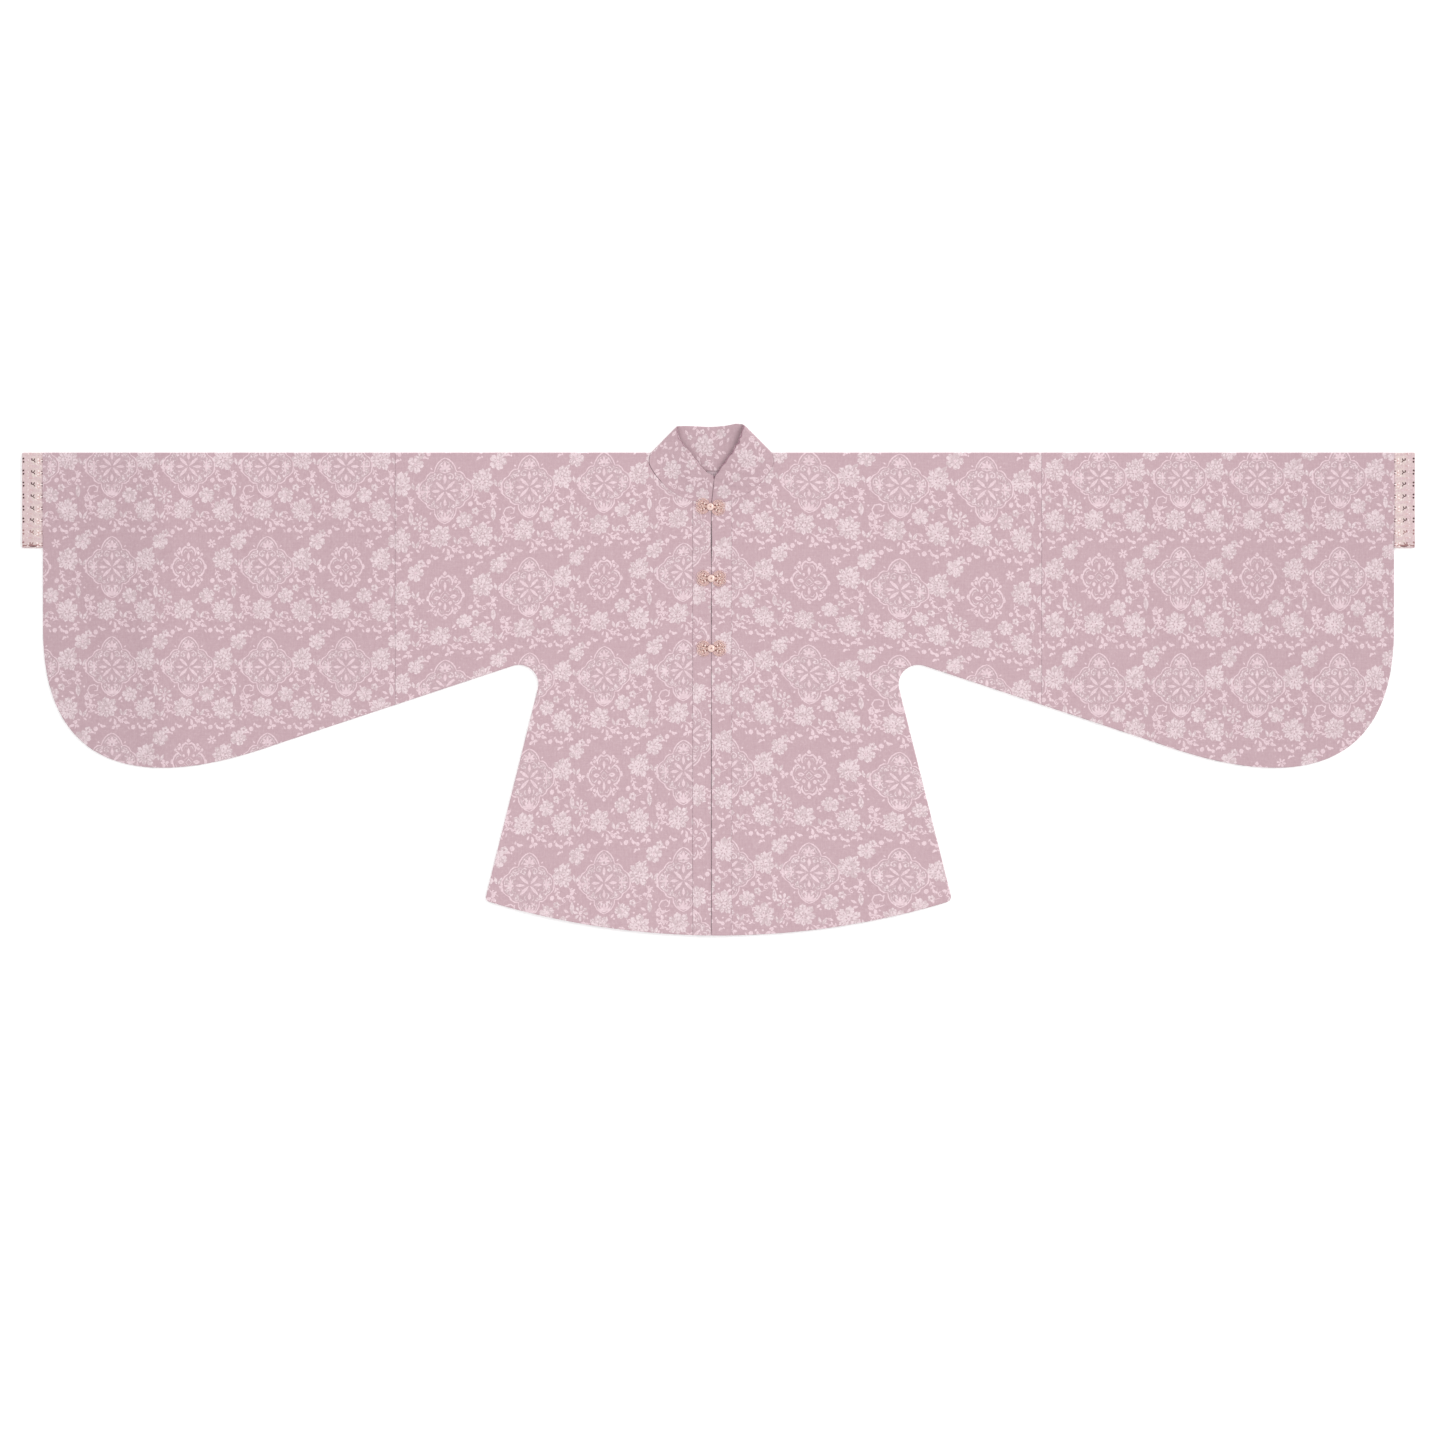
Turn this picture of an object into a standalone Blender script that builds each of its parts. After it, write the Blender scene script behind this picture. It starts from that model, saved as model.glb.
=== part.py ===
"""A short stand-collar jacket with lute-shaped sleeves, laid flat on its back.

Metres, +Z up. The underside of the back layer lies on z = 0. +X is the wearer's
left, +Y is towards the collar, and the origin is the bottom centre of the box.

Every cloth piece is cut flat first, in the plane (x, v), where x runs across the
garment and v runs along the cloth: v is 0 on the top fold, positive down the
front and negative down the back. drape() then lays that cut over the top fold.
Sizes below are in millimetres.
"""

import math

import bmesh
import bpy
from mathutils import Vector
from mathutils.geometry import delaunay_2d_cdt

for old in list(bpy.data.objects):
    bpy.data.objects.remove(old, do_unlink=True)

MM = 0.001
SEAM = 0.3  # clear gap between two pieces that are sewn together

# Overall
HALF_SPAN = 1000.0  # centre to the end of a cuff
FOLD_TO_HEM = 693.5  # top fold to the lowest point of the hem
COLLAR_RISE = 41.6  # top fold to the top of the collar, as it lies
Y_FOLD = (FOLD_TO_HEM - COLLAR_RISE) / 2  # keeps the origin in the middle

# Cloth
CLOTH = 1.5  # one layer, with its lining
BAND_CLOTH = 2.1  # doubled and interfaced
COLLAR_CLOTH = 2.0
FOLD_GAP = 1.0  # between the layers at the top fold
SEWN_GAP = 0.3  # between the layers at a sewn edge
CROWN_GAP = 2.1  # between the layers in the middle of a panel
CROWN_REACH = 95.0  # how far in from a sewn edge the crown is full
FOLD_REACH = 70.0  # how far below the top fold the crown is full

# Sleeve and body outline, as distances from the centre and below the top fold
CUFF_LENGTH = 29.6
CUFF_DEPTH = 137.1
CUFF_GAP = 1.1
SLEEVE_END = HALF_SPAN - CUFF_LENGTH - SEAM
EXTENSION_SEAM = 464.0
SLEEVE_STRAIGHT = 252.3  # depth where the sleeve end starts to curve in
SLEEVE_CURVE_START = 296.1  # length of the curve's first handle
SLEEVE_CURVE_END_X = 624.3  # where the curve joins the straight underarm edge
SLEEVE_CURVE_END = 60.3  # length of its second handle
ARMPIT_X = 247.2  # corner of underarm and side seam, before rounding
ARMPIT_DEPTH = 290.2
ARMPIT_RADIUS = 28.0
UNDERARM_SLOPE = 0.3318  # the sleeve deepens by this much for each mm outwards
SIDE_SLOPE = 0.25  # the body widens by this much for each mm down
HEM_RADIUS = 1150.0
HEM_CORNER_RADIUS = 7.0

# Opening, measured from the middle of the sleeve span
OPENING_X = -10.3
BAND_WIDTH_RIGHT = 26.6  # the wearer's right, at -X
BAND_WIDTH_LEFT = 29.4
BACK_SEAM_X = OPENING_X
BACK_NECK_DEPTH = 27.3

# Half the width of the slit at the opening: (depth, half width)
SLIT = [
    (60.0, 0.5),
    (90.0, 0.5),
    (125.0, 1.2),
    (165.0, 0.5),
    (195.0, 0.5),
    (232.0, 0.9),
    (268.0, 0.5),
    (300.0, 0.5),
    (480.0, 0.8),
    (700.0, 0.7),
]

# The collar's front halves, from the opening to the side fold. Each row is one
# ruled line from the neckline seam up to the rim:
# (seam x, seam rise, rim x, rim rise), from the opening's line and the top fold.
COLLAR_FRONT_RIGHT = [
    (0.0, -73.9, 4.6, -34.6),
    (-27.0, -69.2, -8.0, -27.0),
    (-49.5, -59.8, -16.8, -17.4),
    (-68.0, -46.0, -26.8, -4.4),
    (-81.6, -30.5, -36.8, 8.2),
    (-89.6, -14.5, -46.0, 21.4),
    (-86.9, 0.0, -48.9, 38.4),
]
COLLAR_FRONT_LEFT = [
    (0.0, -73.9, 4.6, -34.6),
    (27.0, -69.2, 11.8, -24.6),
    (49.5, -59.8, 20.4, -11.6),
    (68.0, -46.0, 29.0, -0.2),
    (81.6, -30.5, 35.6, 11.0),
    (89.6, -14.5, 41.6, 23.6),
    (86.9, 0.0, 46.4, 40.6),
]
# The back of the collar, from the right side fold to the left: the same columns.
COLLAR_BACK = [
    (-84.4, -2.4, -46.8, 36.9),
    (-74.0, -14.0, -39.5, 38.4),
    (-48.0, -23.6, -22.0, 37.8),
    (0.0, -BACK_NECK_DEPTH, -2.0, 37.0),
    (48.0, -23.6, 20.0, 38.6),
    (74.0, -14.0, 36.0, COLLAR_RISE),
    (84.4, -2.4, 44.0, 39.6),
]
COLLAR_GAP_SEAM = 1.0  # between its front and its back, at the neckline
COLLAR_GAP_RIM = 3.2  # and at the rim, where it stands a little open
COLLAR_STEPS = 3  # rows from seam to rim

# Clasps: depth of each pair's centre below the top fold
CLASP_DEPTHS = [78.2, 180.9, 281.4]
CLASP_X = OPENING_X
WING_PLATE = 1.2
RING_OUTER = 5.4
RING_INNER = 3.4
KNOB_SHANK = 2.6
KNOB_HEAD = 4.6
KNOB_LIFT = 1.5  # underside of the head above the wing's underside
KNOB_DOME = 2.0
NECK_WIDTH = 3.4
# One wing's outline, mirrored about its middle line: (angle, radius)
WING = [
    (0.0, 18.6),
    (8.0, 20.8),
    (18.0, 20.8),
    (28.0, 18.6),
    (38.0, 17.4),
    (47.0, 14.8),
    (56.0, 11.0),
    (66.0, 7.4),
]

# Facets
CELL = 48.0  # spacing of the points inside a panel
EDGE_STEP = 32.0  # spacing of the points along a curved edge

FOLD_OUTER = CLOTH + FOLD_GAP / 2
FOLD_INNER = FOLD_GAP / 2
FOLD_MIDDLE = (FOLD_OUTER + FOLD_INNER) / 2
FOLD_HALF = math.pi * FOLD_MIDDLE / 2  # half the cloth that the fold takes up
FOLD_ROWS = [FOLD_HALF * k / 2 for k in (-2, -1, 0, 1, 2)]


# ---------------------------------------------------------------- small tools
def mix(a, b, t):
    return a + (b - a) * t


def ease(t):
    t = min(max(t, 0.0), 1.0)
    return t * t * (3 - 2 * t)


def look_up(rows, key):
    """The second column of rows at this value of the first, with soft joins."""
    if key <= rows[0][0]:
        return rows[0][1]
    for (a, va), (b, vb) in zip(rows, rows[1:]):
        if key <= b:
            return mix(va, vb, ease((key - a) / (b - a)))
    return rows[-1][1]


def bezier(p0, p1, p2, p3, n):
    out = []
    for k in range(n + 1):
        t = k / n
        w = ((1 - t) ** 3, 3 * (1 - t) ** 2 * t, 3 * (1 - t) * t * t, t**3)
        out.append(
            tuple(sum(w[i] * p[j] for i, p in enumerate((p0, p1, p2, p3))) for j in (0, 1))
        )
    return out


def rounded(before, corner, after, radius, n):
    """Points of the arc that rounds this corner."""
    c = Vector(corner)
    a = (Vector(before) - c).normalized()
    b = (Vector(after) - c).normalized()
    half = a.angle(b) / 2
    middle = c + (a + b).normalized() * (radius / math.sin(half))
    start = c + a * (radius / math.tan(half)) - middle
    end = c + b * (radius / math.tan(half)) - middle
    turn = start.angle_signed(end)
    out = []
    for k in range(n + 1):
        t = turn * k / n
        s, co = math.sin(-t), math.cos(-t)
        p = Vector((start.x * co - start.y * s, start.x * s + start.y * co))
        out.append(tuple(middle + p))
    return out


def hem_depth(x):
    return FOLD_TO_HEM - (HEM_RADIUS - math.sqrt(HEM_RADIUS**2 - x * x))


def underarm_depth(x):
    return ARMPIT_DEPTH + UNDERARM_SLOPE * (x - ARMPIT_X)


def side_x(depth):
    return ARMPIT_X + SIDE_SLOPE * (depth - ARMPIT_DEPTH)


def hem_corner():
    x = side_x(FOLD_TO_HEM - 50)
    for _ in range(30):
        x = side_x(hem_depth(x))
    return x, hem_depth(x)


def sleeve_edge():
    """Sleeve end and curve, from the top fold round to the extension seam."""
    end = (SLEEVE_CURVE_END_X, underarm_depth(SLEEVE_CURVE_END_X))
    along = Vector((1.0, UNDERARM_SLOPE)).normalized() * SLEEVE_CURVE_END
    curve = bezier(
        (SLEEVE_END, SLEEVE_STRAIGHT),
        (SLEEVE_END, SLEEVE_STRAIGHT + SLEEVE_CURVE_START),
        (end[0] + along.x, end[1] + along.y),
        end,
        14,
    )
    down = [(SLEEVE_END, d) for d in (CUFF_DEPTH / 2, CUFF_DEPTH, 195.0)]
    middle = ((end[0] + EXTENSION_SEAM) / 2, 0)
    middle = (middle[0], underarm_depth(middle[0]))
    last = EXTENSION_SEAM + SEAM / 2
    return down + curve + [middle, (last, underarm_depth(last))]


def body_edge():
    """Underarm, armpit, side seam and hem corner, from the extension seam down."""
    first = EXTENSION_SEAM - SEAM / 2
    corner = (ARMPIT_X, ARMPIT_DEPTH)
    hem = hem_corner()
    out = [(x, underarm_depth(x)) for x in mix_list(first, ARMPIT_X + 52, 5)]
    out += rounded(out[0], corner, hem, ARMPIT_RADIUS, 7)
    top = ARMPIT_DEPTH + 36
    out += [(side_x(d), d) for d in mix_list(top, hem[1] - 14, 9)]
    out += rounded(
        (side_x(hem[1] - 50), hem[1] - 50),
        hem,
        (hem[0] - 50, hem_depth(hem[0] - 50)),
        HEM_CORNER_RADIUS,
        3,
    )
    return out


def mix_list(a, b, n):
    return [mix(a, b, k / n) for k in range(n + 1)]


SEWN = [p for p in sleeve_edge() if p[1] >= CUFF_DEPTH] + body_edge()


def to_segment(p, a, b):
    ax, ay, bx, by = a[0], a[1], b[0] - a[0], b[1] - a[1]
    t = ((p[0] - ax) * bx + (p[1] - ay) * by) / max(bx * bx + by * by, 1e-9)
    t = min(max(t, 0.0), 1.0)
    return math.hypot(p[0] - ax - bx * t, p[1] - ay - by * t)


def layer_gap(x, depth):
    """Height of the hollow between back and front, which is crowned softly."""
    near = min(to_segment((abs(x), depth), a, b) for a, b in zip(SEWN, SEWN[1:]))
    crown = mix(SEWN_GAP, CROWN_GAP, ease(near / CROWN_REACH))
    return mix(FOLD_GAP, crown, ease((depth - FOLD_OUTER) / FOLD_REACH))


def cut_v(depth, face):
    """Where a point at this depth lies along the cloth, face 1 front, -1 back."""
    return face * (max(depth - FOLD_OUTER, 0.0) + FOLD_HALF)


def drape(x, v, outer, thick):
    """Lays a point of the flat cut on the garment: metres, in the part's frame."""
    if abs(v) < FOLD_HALF - 1e-6:
        r = FOLD_OUTER if outer else FOLD_INNER
        t = v / FOLD_MIDDLE
        y = -FOLD_OUTER + r * math.cos(t)
        z = FOLD_OUTER + r * math.sin(t)
    else:
        depth = abs(v) - FOLD_HALF + FOLD_OUTER
        y = -depth
        if v > 0:
            z = CLOTH + layer_gap(x, depth) + (thick if outer else 0.0)
        else:
            z = 0.0 if outer else thick
    return Vector((x, Y_FOLD + y, z)) * MM


# ---------------------------------------------------------------- mesh making
def material(name, colour, roughness, metallic=0.0):
    m = bpy.data.materials.new(name)
    m.use_nodes = True
    shader = m.node_tree.nodes["Principled BSDF"]
    shader.inputs["Base Color"].default_value = (*colour, 1.0)
    shader.inputs["Roughness"].default_value = roughness
    shader.inputs["Metallic"].default_value = metallic
    m.diffuse_color = (*colour, 1.0)
    return m


BROCADE = ((0.66, 0.49, 0.53), 0.55)
TRIM = ((0.68, 0.51, 0.52), 0.6)
ROSE_GOLD = ((0.72, 0.47, 0.42), 0.3, 1.0)


def finish_mesh(name, bm, look, smooth_angle=None):
    bmesh.ops.recalc_face_normals(bm, faces=bm.faces)
    if bm.calc_volume(signed=True) < 0:
        bmesh.ops.reverse_faces(bm, faces=bm.faces)
    mesh = bpy.data.meshes.new(name)
    bm.to_mesh(mesh)
    bm.free()
    obj = bpy.data.objects.new(name, mesh)
    bpy.context.scene.collection.objects.link(obj)
    mesh.materials.append(material(name, *look))
    if smooth_angle:
        for p in mesh.polygons:
            p.use_smooth = True
        mesh.set_sharp_from_angle(angle=math.radians(smooth_angle))
    return obj


def inside(p, loop):
    hit = False
    for (x0, y0), (x1, y1) in zip(loop, loop[1:] + loop[:1]):
        if (y0 > p[1]) != (y1 > p[1]) and p[0] < x0 + (p[1] - y0) * (x1 - x0) / (y1 - y0):
            hit = not hit
    return hit


def cloth(name, loop, look, thick=CLOTH, rows=None, cell=CELL):
    """A sheet from its flat cut: a closed loop of (x, v), with the fold's rows.

    rows gives, for each row of the fold, the x where it starts and ends.
    """
    points = list(loop)
    edges = [(i, (i + 1) % len(loop)) for i in range(len(loop))]
    index = {(round(x, 4), round(v, 4)): i for i, (x, v) in enumerate(points)}
    for v, x0, x1 in rows or []:
        n = max(1, round(abs(x1 - x0) / 58.0))
        line = []
        for k in range(n + 1):
            key = (round(mix(x0, x1, k / n), 4), round(v, 4))
            if key not in index:
                index[key] = len(points)
                points.append(key)
            line.append(index[key])
        edges += list(zip(line, line[1:]))
    low_x, high_x = min(p[0] for p in loop), max(p[0] for p in loop)
    low_v, high_v = min(p[1] for p in loop), max(p[1] for p in loop)
    nx, nv = int((high_x - low_x) / cell) + 2, int((high_v - low_v) / cell) + 2
    ring = list(zip(loop, loop[1:] + loop[:1]))
    for j in range(nv):
        for i in range(nx):
            p = (low_x + (i + 0.5 * (j % 2)) * cell, low_v + (j + 0.35) * cell)
            if abs(p[1]) < FOLD_HALF + 0.3 * cell or not inside(p, loop):
                continue
            if min(to_segment(p, a, b) for a, b in ring) > 0.42 * cell:
                points.append(p)
    out = delaunay_2d_cdt([Vector(p) for p in points], edges, [], 1, 1e-5)
    flat, tris = out[0], out[2]
    bm = bmesh.new()
    top = [bm.verts.new(drape(p.x, p.y, True, thick)) for p in flat]
    low = [bm.verts.new(drape(p.x, p.y, False, thick)) for p in flat]
    used = {}
    for t in tris:
        bm.faces.new([top[i] for i in t])
        bm.faces.new([low[i] for i in reversed(t)])
        for a, b in zip(t, t[1:] + t[:1]):
            used[frozenset((a, b))] = used.get(frozenset((a, b)), []) + [(a, b)]
    for pair in used.values():
        if len(pair) == 1:
            a, b = pair[0]
            bm.faces.new([top[b], top[a], low[a]])
            bm.faces.new([top[b], low[a], low[b]])
    loose = [v for v in bm.verts if not v.link_faces]
    bmesh.ops.delete(bm, geom=loose, context="VERTS")
    return finish_mesh(name, bm, look)


def offset(line, by):
    """An open line moved sideways, to the left of its direction."""
    out = []
    for k, p in enumerate(line):
        a, b = line[max(k - 1, 0)], line[min(k + 1, len(line) - 1)]
        d = Vector((b[0] - a[0], b[1] - a[1])).normalized()
        out.append((p[0] - d.y * by, p[1] + d.x * by))
    return out


# ---------------------------------------------------------------- necklines
def front_neck(side):
    """The neckline seam of the front, from the opening up to the top fold."""
    rows = COLLAR_FRONT_RIGHT if side < 0 else COLLAR_FRONT_LEFT
    return [(OPENING_X + r[0], -r[1]) for r in rows]


def back_neck(side):
    """The neckline seam of the back, from the top fold to the back seam."""
    rows = COLLAR_BACK[:4] if side < 0 else COLLAR_BACK[:2:-1]
    return [(OPENING_X + r[0], -r[1]) for r in rows]


def neck_run(side, from_x, to_x):
    """The front neckline below its seam gap, between two distances from the opening."""
    line = [(abs(x - OPENING_X), d) for x, d in offset(front_neck(side), side * SEAM / 2)]
    top = max(range(len(line)), key=lambda k: line[k][0])
    ends = []
    for want in (from_x, to_x):
        for (x0, d0), (x1, d1) in zip(line[:top], line[1:]):
            if x0 <= want <= x1:
                ends.append((want, mix(d0, d1, (want - x0) / (x1 - x0))))
                break
        else:
            ends.append(line[0] if want < line[0][0] + 1 else None)
    last = ends[1] or line[-1]
    stop = to_x if ends[1] else 1e9
    middle = [p for k, p in enumerate(line[:-1]) if (p[0] > from_x + 0.5) and (p[0] < stop - 0.5)]
    return [(OPENING_X + side * x, d) for x, d in [ends[0], *middle, last]]


# ---------------------------------------------------------------- body halves
def body(name, side):
    """Front and back of one half, cut in one and folded over the shoulder."""
    band = BAND_WIDTH_RIGHT if side < 0 else BAND_WIDTH_LEFT
    seam_x = OPENING_X + side * (band + SEAM / 2)
    edge = [(side * x, d) for x, d in body_edge()]
    hem_end = edge[-1]
    neck_front = neck_run(side, band + SEAM / 2, 200.0)[:-1]
    neck_back = offset(back_neck(side), side * SEAM / 2)[1:]
    neck_back[-1] = (BACK_SEAM_X + side * SEAM / 2, neck_back[-1][1])
    point_x = OPENING_X + side * (abs(COLLAR_FRONT_LEFT[-1][0]) + SEAM / 2)
    outer_x = side * (EXTENSION_SEAM - SEAM / 2)

    def hem(to_x):
        xs = mix_list(hem_end[0], to_x, 8)[1:]
        return [(x, hem_depth(x)) for x in xs]

    down = [d for d in mix_list(FOLD_OUTER, edge[0][1], 8)[1:-1]]
    loop = [(outer_x, v) for v in FOLD_ROWS]
    loop += [(outer_x, cut_v(d, 1)) for d in down]
    loop += [(x, cut_v(d, 1)) for x, d in edge + hem(seam_x)]
    long = mix_list(hem_depth(seam_x), neck_front[0][1], 14)[1:-1]
    loop += [(seam_x, cut_v(d, 1)) for d in long]
    loop += [(x, cut_v(d, 1)) for x, d in neck_front]
    loop += [(point_x, v) for v in reversed(FOLD_ROWS)]
    loop += [(x, cut_v(d, -1)) for x, d in neck_back]
    back_x = neck_back[-1][0]
    long = mix_list(neck_back[-1][1], hem_depth(back_x), 14)[1:-1]
    loop += [(back_x, cut_v(d, -1)) for d in long]
    loop += [(x, cut_v(d, -1)) for x, d in reversed(edge + hem(back_x))]
    loop += [(outer_x, cut_v(d, -1)) for d in reversed(down)]
    rows = [(v, outer_x, point_x) for v in FOLD_ROWS]
    return cloth(name, loop, BROCADE, rows=rows)


def sleeve(name, side):
    """The sleeve extension: front and back in one, folded along the top."""
    edge = [(side * x, d) for x, d in sleeve_edge()]
    inner_x = side * (EXTENSION_SEAM + SEAM / 2)
    outer_x = side * SLEEVE_END
    up = mix_list(edge[-1][1], FOLD_OUTER, 8)[1:-1]
    loop = [(inner_x, v) for v in reversed(FOLD_ROWS)]
    loop += [(inner_x, cut_v(d, -1)) for d in reversed(up)]
    loop += [(x, cut_v(d, -1)) for x, d in reversed(edge)]
    loop += [(outer_x, v) for v in FOLD_ROWS]
    loop += [(x, cut_v(d, 1)) for x, d in edge]
    loop += [(inner_x, cut_v(d, 1)) for d in up]
    rows = [(v, inner_x, outer_x) for v in FOLD_ROWS]
    return cloth(name, loop, BROCADE, rows=rows)


def front_band(name, side):
    """The strip beside the opening, from the collar seam to the hem."""
    band = BAND_WIDTH_RIGHT if side < 0 else BAND_WIDTH_LEFT
    seam_x = OPENING_X + side * (band - SEAM / 2)
    top = neck_run(side, look_up(SLIT, 0.0), band - SEAM / 2)
    middle = (seam_x + OPENING_X) / 2

    def slit_x(d):
        return OPENING_X + side * look_up(SLIT, d)

    long = mix_list(top[-1][1], hem_depth(seam_x), 16)
    short = mix_list(hem_depth(OPENING_X), top[0][1], 24)
    loop = [(x, cut_v(d, 1)) for x, d in top[:-1]]
    loop += [(seam_x, cut_v(d, 1)) for d in long]
    loop += [(middle, cut_v(hem_depth(middle), 1))]
    loop += [(slit_x(d), cut_v(d, 1)) for d in short[:-1]]
    return cloth(name, loop, BROCADE, thick=BAND_CLOTH, cell=60.0)


# ---------------------------------------------------------------- cuffs
def cuff(name, side):
    """A flattened ring of trim, folded at top and bottom, open at both ends."""
    rise = 2 * CLOTH + CUFF_GAP
    bm = bmesh.new()

    def ring(shrink):
        r, flat = rise / 2 - shrink, CUFF_DEPTH / 2 - rise / 2
        out = []
        for centre, start in ((flat, -90), (-flat, 90)):
            for k in range(7):
                t = math.radians(start + 30 * k)
                out.append((centre + r * math.cos(t), rise / 2 + r * math.sin(t)))
            step = -1 if centre > 0 else 1
            z = rise / 2 + r if centre > 0 else rise / 2 - r
            out += [(centre + step * 2 * flat * k / 4, z) for k in (1, 2, 3)]
        return out

    x0, x1 = side * (HALF_SPAN - CUFF_LENGTH), side * HALF_SPAN
    loops = [
        [bm.verts.new(Vector((x, Y_FOLD - CUFF_DEPTH / 2 + y, z)) * MM) for y, z in ring(s)]
        for x, s in ((x0, 0.0), (x1, 0.0), (x1, CLOTH), (x0, CLOTH))
    ]
    n = len(loops[0])
    for a, b in zip(loops, loops[1:] + loops[:1]):
        for k in range(n):
            bm.faces.new([a[k], a[(k + 1) % n], b[(k + 1) % n], b[k]])
    return finish_mesh(name, bm, TRIM, 40)


# ---------------------------------------------------------------- collar
def collar(name):
    """One ruled band: front right, side fold, back, side fold, front left."""
    gap = SEAM / 2 + 0.05
    stations = []  # each: outer and inner points from the seam to the rim
    steps = [k / COLLAR_STEPS for k in range(COLLAR_STEPS + 1)]

    def hollow(t):
        return mix(COLLAR_GAP_SEAM, COLLAR_GAP_RIM, ease(t))

    def flat_line(seam, rim, front):
        outer, inner = [], []
        for t in steps:
            p = mix(Vector(seam), Vector(rim), t)
            z = COLLAR_CLOTH + (hollow(t) if front else 0.0)
            outer.append((p.x, p.y, z + COLLAR_CLOTH if front else 0.0))
            inner.append((p.x, p.y, z))
        return outer, inner

    def front_rows(rows, side):
        seam = [(r[0], r[1]) for r in rows]
        seam = offset(seam, side * gap)
        out = []
        for k, (s, r) in enumerate(zip(seam, rows)):
            rim = (r[2], r[3])
            if k == 0:
                s = (side * 0.35, -73.9 + gap)
                rim = (r[2] + side * 0.35, r[3])
            out.append((s, rim))
        return out[:-1], (rows[-1][0], rows[-1][1]), (rows[-1][2], rows[-1][3])

    right, right_foot, right_tip = front_rows(COLLAR_FRONT_RIGHT, -1)
    left, left_foot, left_tip = front_rows(COLLAR_FRONT_LEFT, 1)

    def fold(foot, tip, side, angles):
        foot, tip = Vector(foot), Vector(tip)
        along = (tip - foot).normalized()
        inwards = Vector((along.y, -along.x)) * (-1 if side > 0 else 1)
        foot = foot + along * gap
        for deg in angles:
            t = math.radians(deg)
            rows = ([], [])
            for s in steps:
                inner_r = hollow(s) / 2
                outer_r = inner_r + COLLAR_CLOTH
                for row, r in zip(rows, (outer_r, inner_r)):
                    p = mix(foot, tip, s) + inwards * (outer_r - r * math.cos(t))
                    row.append((p.x, p.y, outer_r + r * math.sin(t)))
            stations.append(rows)

    for s, r in right:
        stations.append(flat_line(s, r, True))
    fold(right_foot, right_tip, -1, (90, 50, 0, -50, -90))
    seam = offset([(r[0], r[1]) for r in COLLAR_BACK], gap)
    for s, r in list(zip(seam, COLLAR_BACK))[1:-1]:
        stations.append(flat_line(s, (r[2], r[3]), False))
    fold(left_foot, left_tip, 1, (-90, -50, 0, 50, 90))
    for s, r in reversed(left):
        stations.append(flat_line(s, r, True))

    bm = bmesh.new()
    place = [
        [
            [bm.verts.new(Vector((OPENING_X + x, Y_FOLD + y, z)) * MM) for x, y, z in line]
            for line in pair
        ]
        for pair in stations
    ]
    last = COLLAR_STEPS
    for a, b in zip(place, place[1:]):
        for k in range(last):
            bm.faces.new([a[0][k], b[0][k], b[0][k + 1], a[0][k + 1]])
            bm.faces.new([a[1][k + 1], b[1][k + 1], b[1][k], a[1][k]])
        bm.faces.new([a[0][0], a[1][0], b[1][0], b[0][0]])
        bm.faces.new([a[0][last], b[0][last], b[1][last], a[1][last]])
    for end in (place[0], place[-1]):
        for k in range(last):
            bm.faces.new([end[0][k], end[0][k + 1], end[1][k + 1], end[1][k]])
    bmesh.ops.triangulate(bm, faces=bm.faces)
    return finish_mesh(name, bm, BROCADE)


# ---------------------------------------------------------------- clasps
def prism(loop, z0, z1):
    """An upright prism on a closed loop."""
    bm = bmesh.new()
    edges = [(i, (i + 1) % len(loop)) for i in range(len(loop))]
    out = delaunay_2d_cdt([Vector(p) for p in loop], edges, [], 1, 1e-6)
    flat, tris = out[0], out[2]
    top = [bm.verts.new((p.x * MM, p.y * MM, z1 * MM)) for p in flat]
    low = [bm.verts.new((p.x * MM, p.y * MM, z0 * MM)) for p in flat]
    used = {}
    for t in tris:
        bm.faces.new([top[i] for i in t])
        bm.faces.new([low[i] for i in reversed(t)])
        for a, b in zip(t, list(t[1:]) + [t[0]]):
            used.setdefault(frozenset((a, b)), []).append((a, b))
    for pair in used.values():
        if len(pair) == 1:
            a, b = pair[0]
            bm.faces.new([top[b], top[a], low[a], low[b]])
    bmesh.ops.recalc_face_normals(bm, faces=bm.faces)
    return bm


def washer(inner, outer, z0, z1, n):
    """A flat ring of n facets."""
    bm = bmesh.new()
    rings = [
        [bm.verts.new((x * MM, y * MM, z * MM)) for x, y in circle(r, n)]
        for r, z in ((inner, z0), (outer, z0), (outer, z1), (inner, z1))
    ]
    for a, b in zip(rings, rings[1:] + rings[:1]):
        for k in range(n):
            j = (k + 1) % n
            bm.faces.new([a[k], a[j], b[j], b[k]])
    bmesh.ops.recalc_face_normals(bm, faces=bm.faces)
    return bm


def turned(profile, n):
    """A solid turned about Z from (radius, height) rows that start and end on it."""
    bm = bmesh.new()
    rings = []
    for r, z in profile:
        if r < 1e-6:
            rings.append([bm.verts.new((0, 0, z * MM))])
        else:
            rings.append(
                [
                    bm.verts.new(
                        (
                            r * MM * math.cos(2 * math.pi * k / n),
                            r * MM * math.sin(2 * math.pi * k / n),
                            z * MM,
                        )
                    )
                    for k in range(n)
                ]
            )
    for a, b in zip(rings, rings[1:]):
        for k in range(n):
            j = (k + 1) % n
            face = [a[k % len(a)], a[j % len(a)], b[j % len(b)], b[k % len(b)]]
            face = [v for i, v in enumerate(face) if v not in face[:i]]
            bm.faces.new(face)
    bmesh.ops.recalc_face_normals(bm, faces=bm.faces)
    return bm


def helper(name, bm):
    mesh = bpy.data.meshes.new(name)
    bm.to_mesh(mesh)
    bm.free()
    obj = bpy.data.objects.new(name, mesh)
    bpy.context.scene.collection.objects.link(obj)
    return obj


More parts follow.
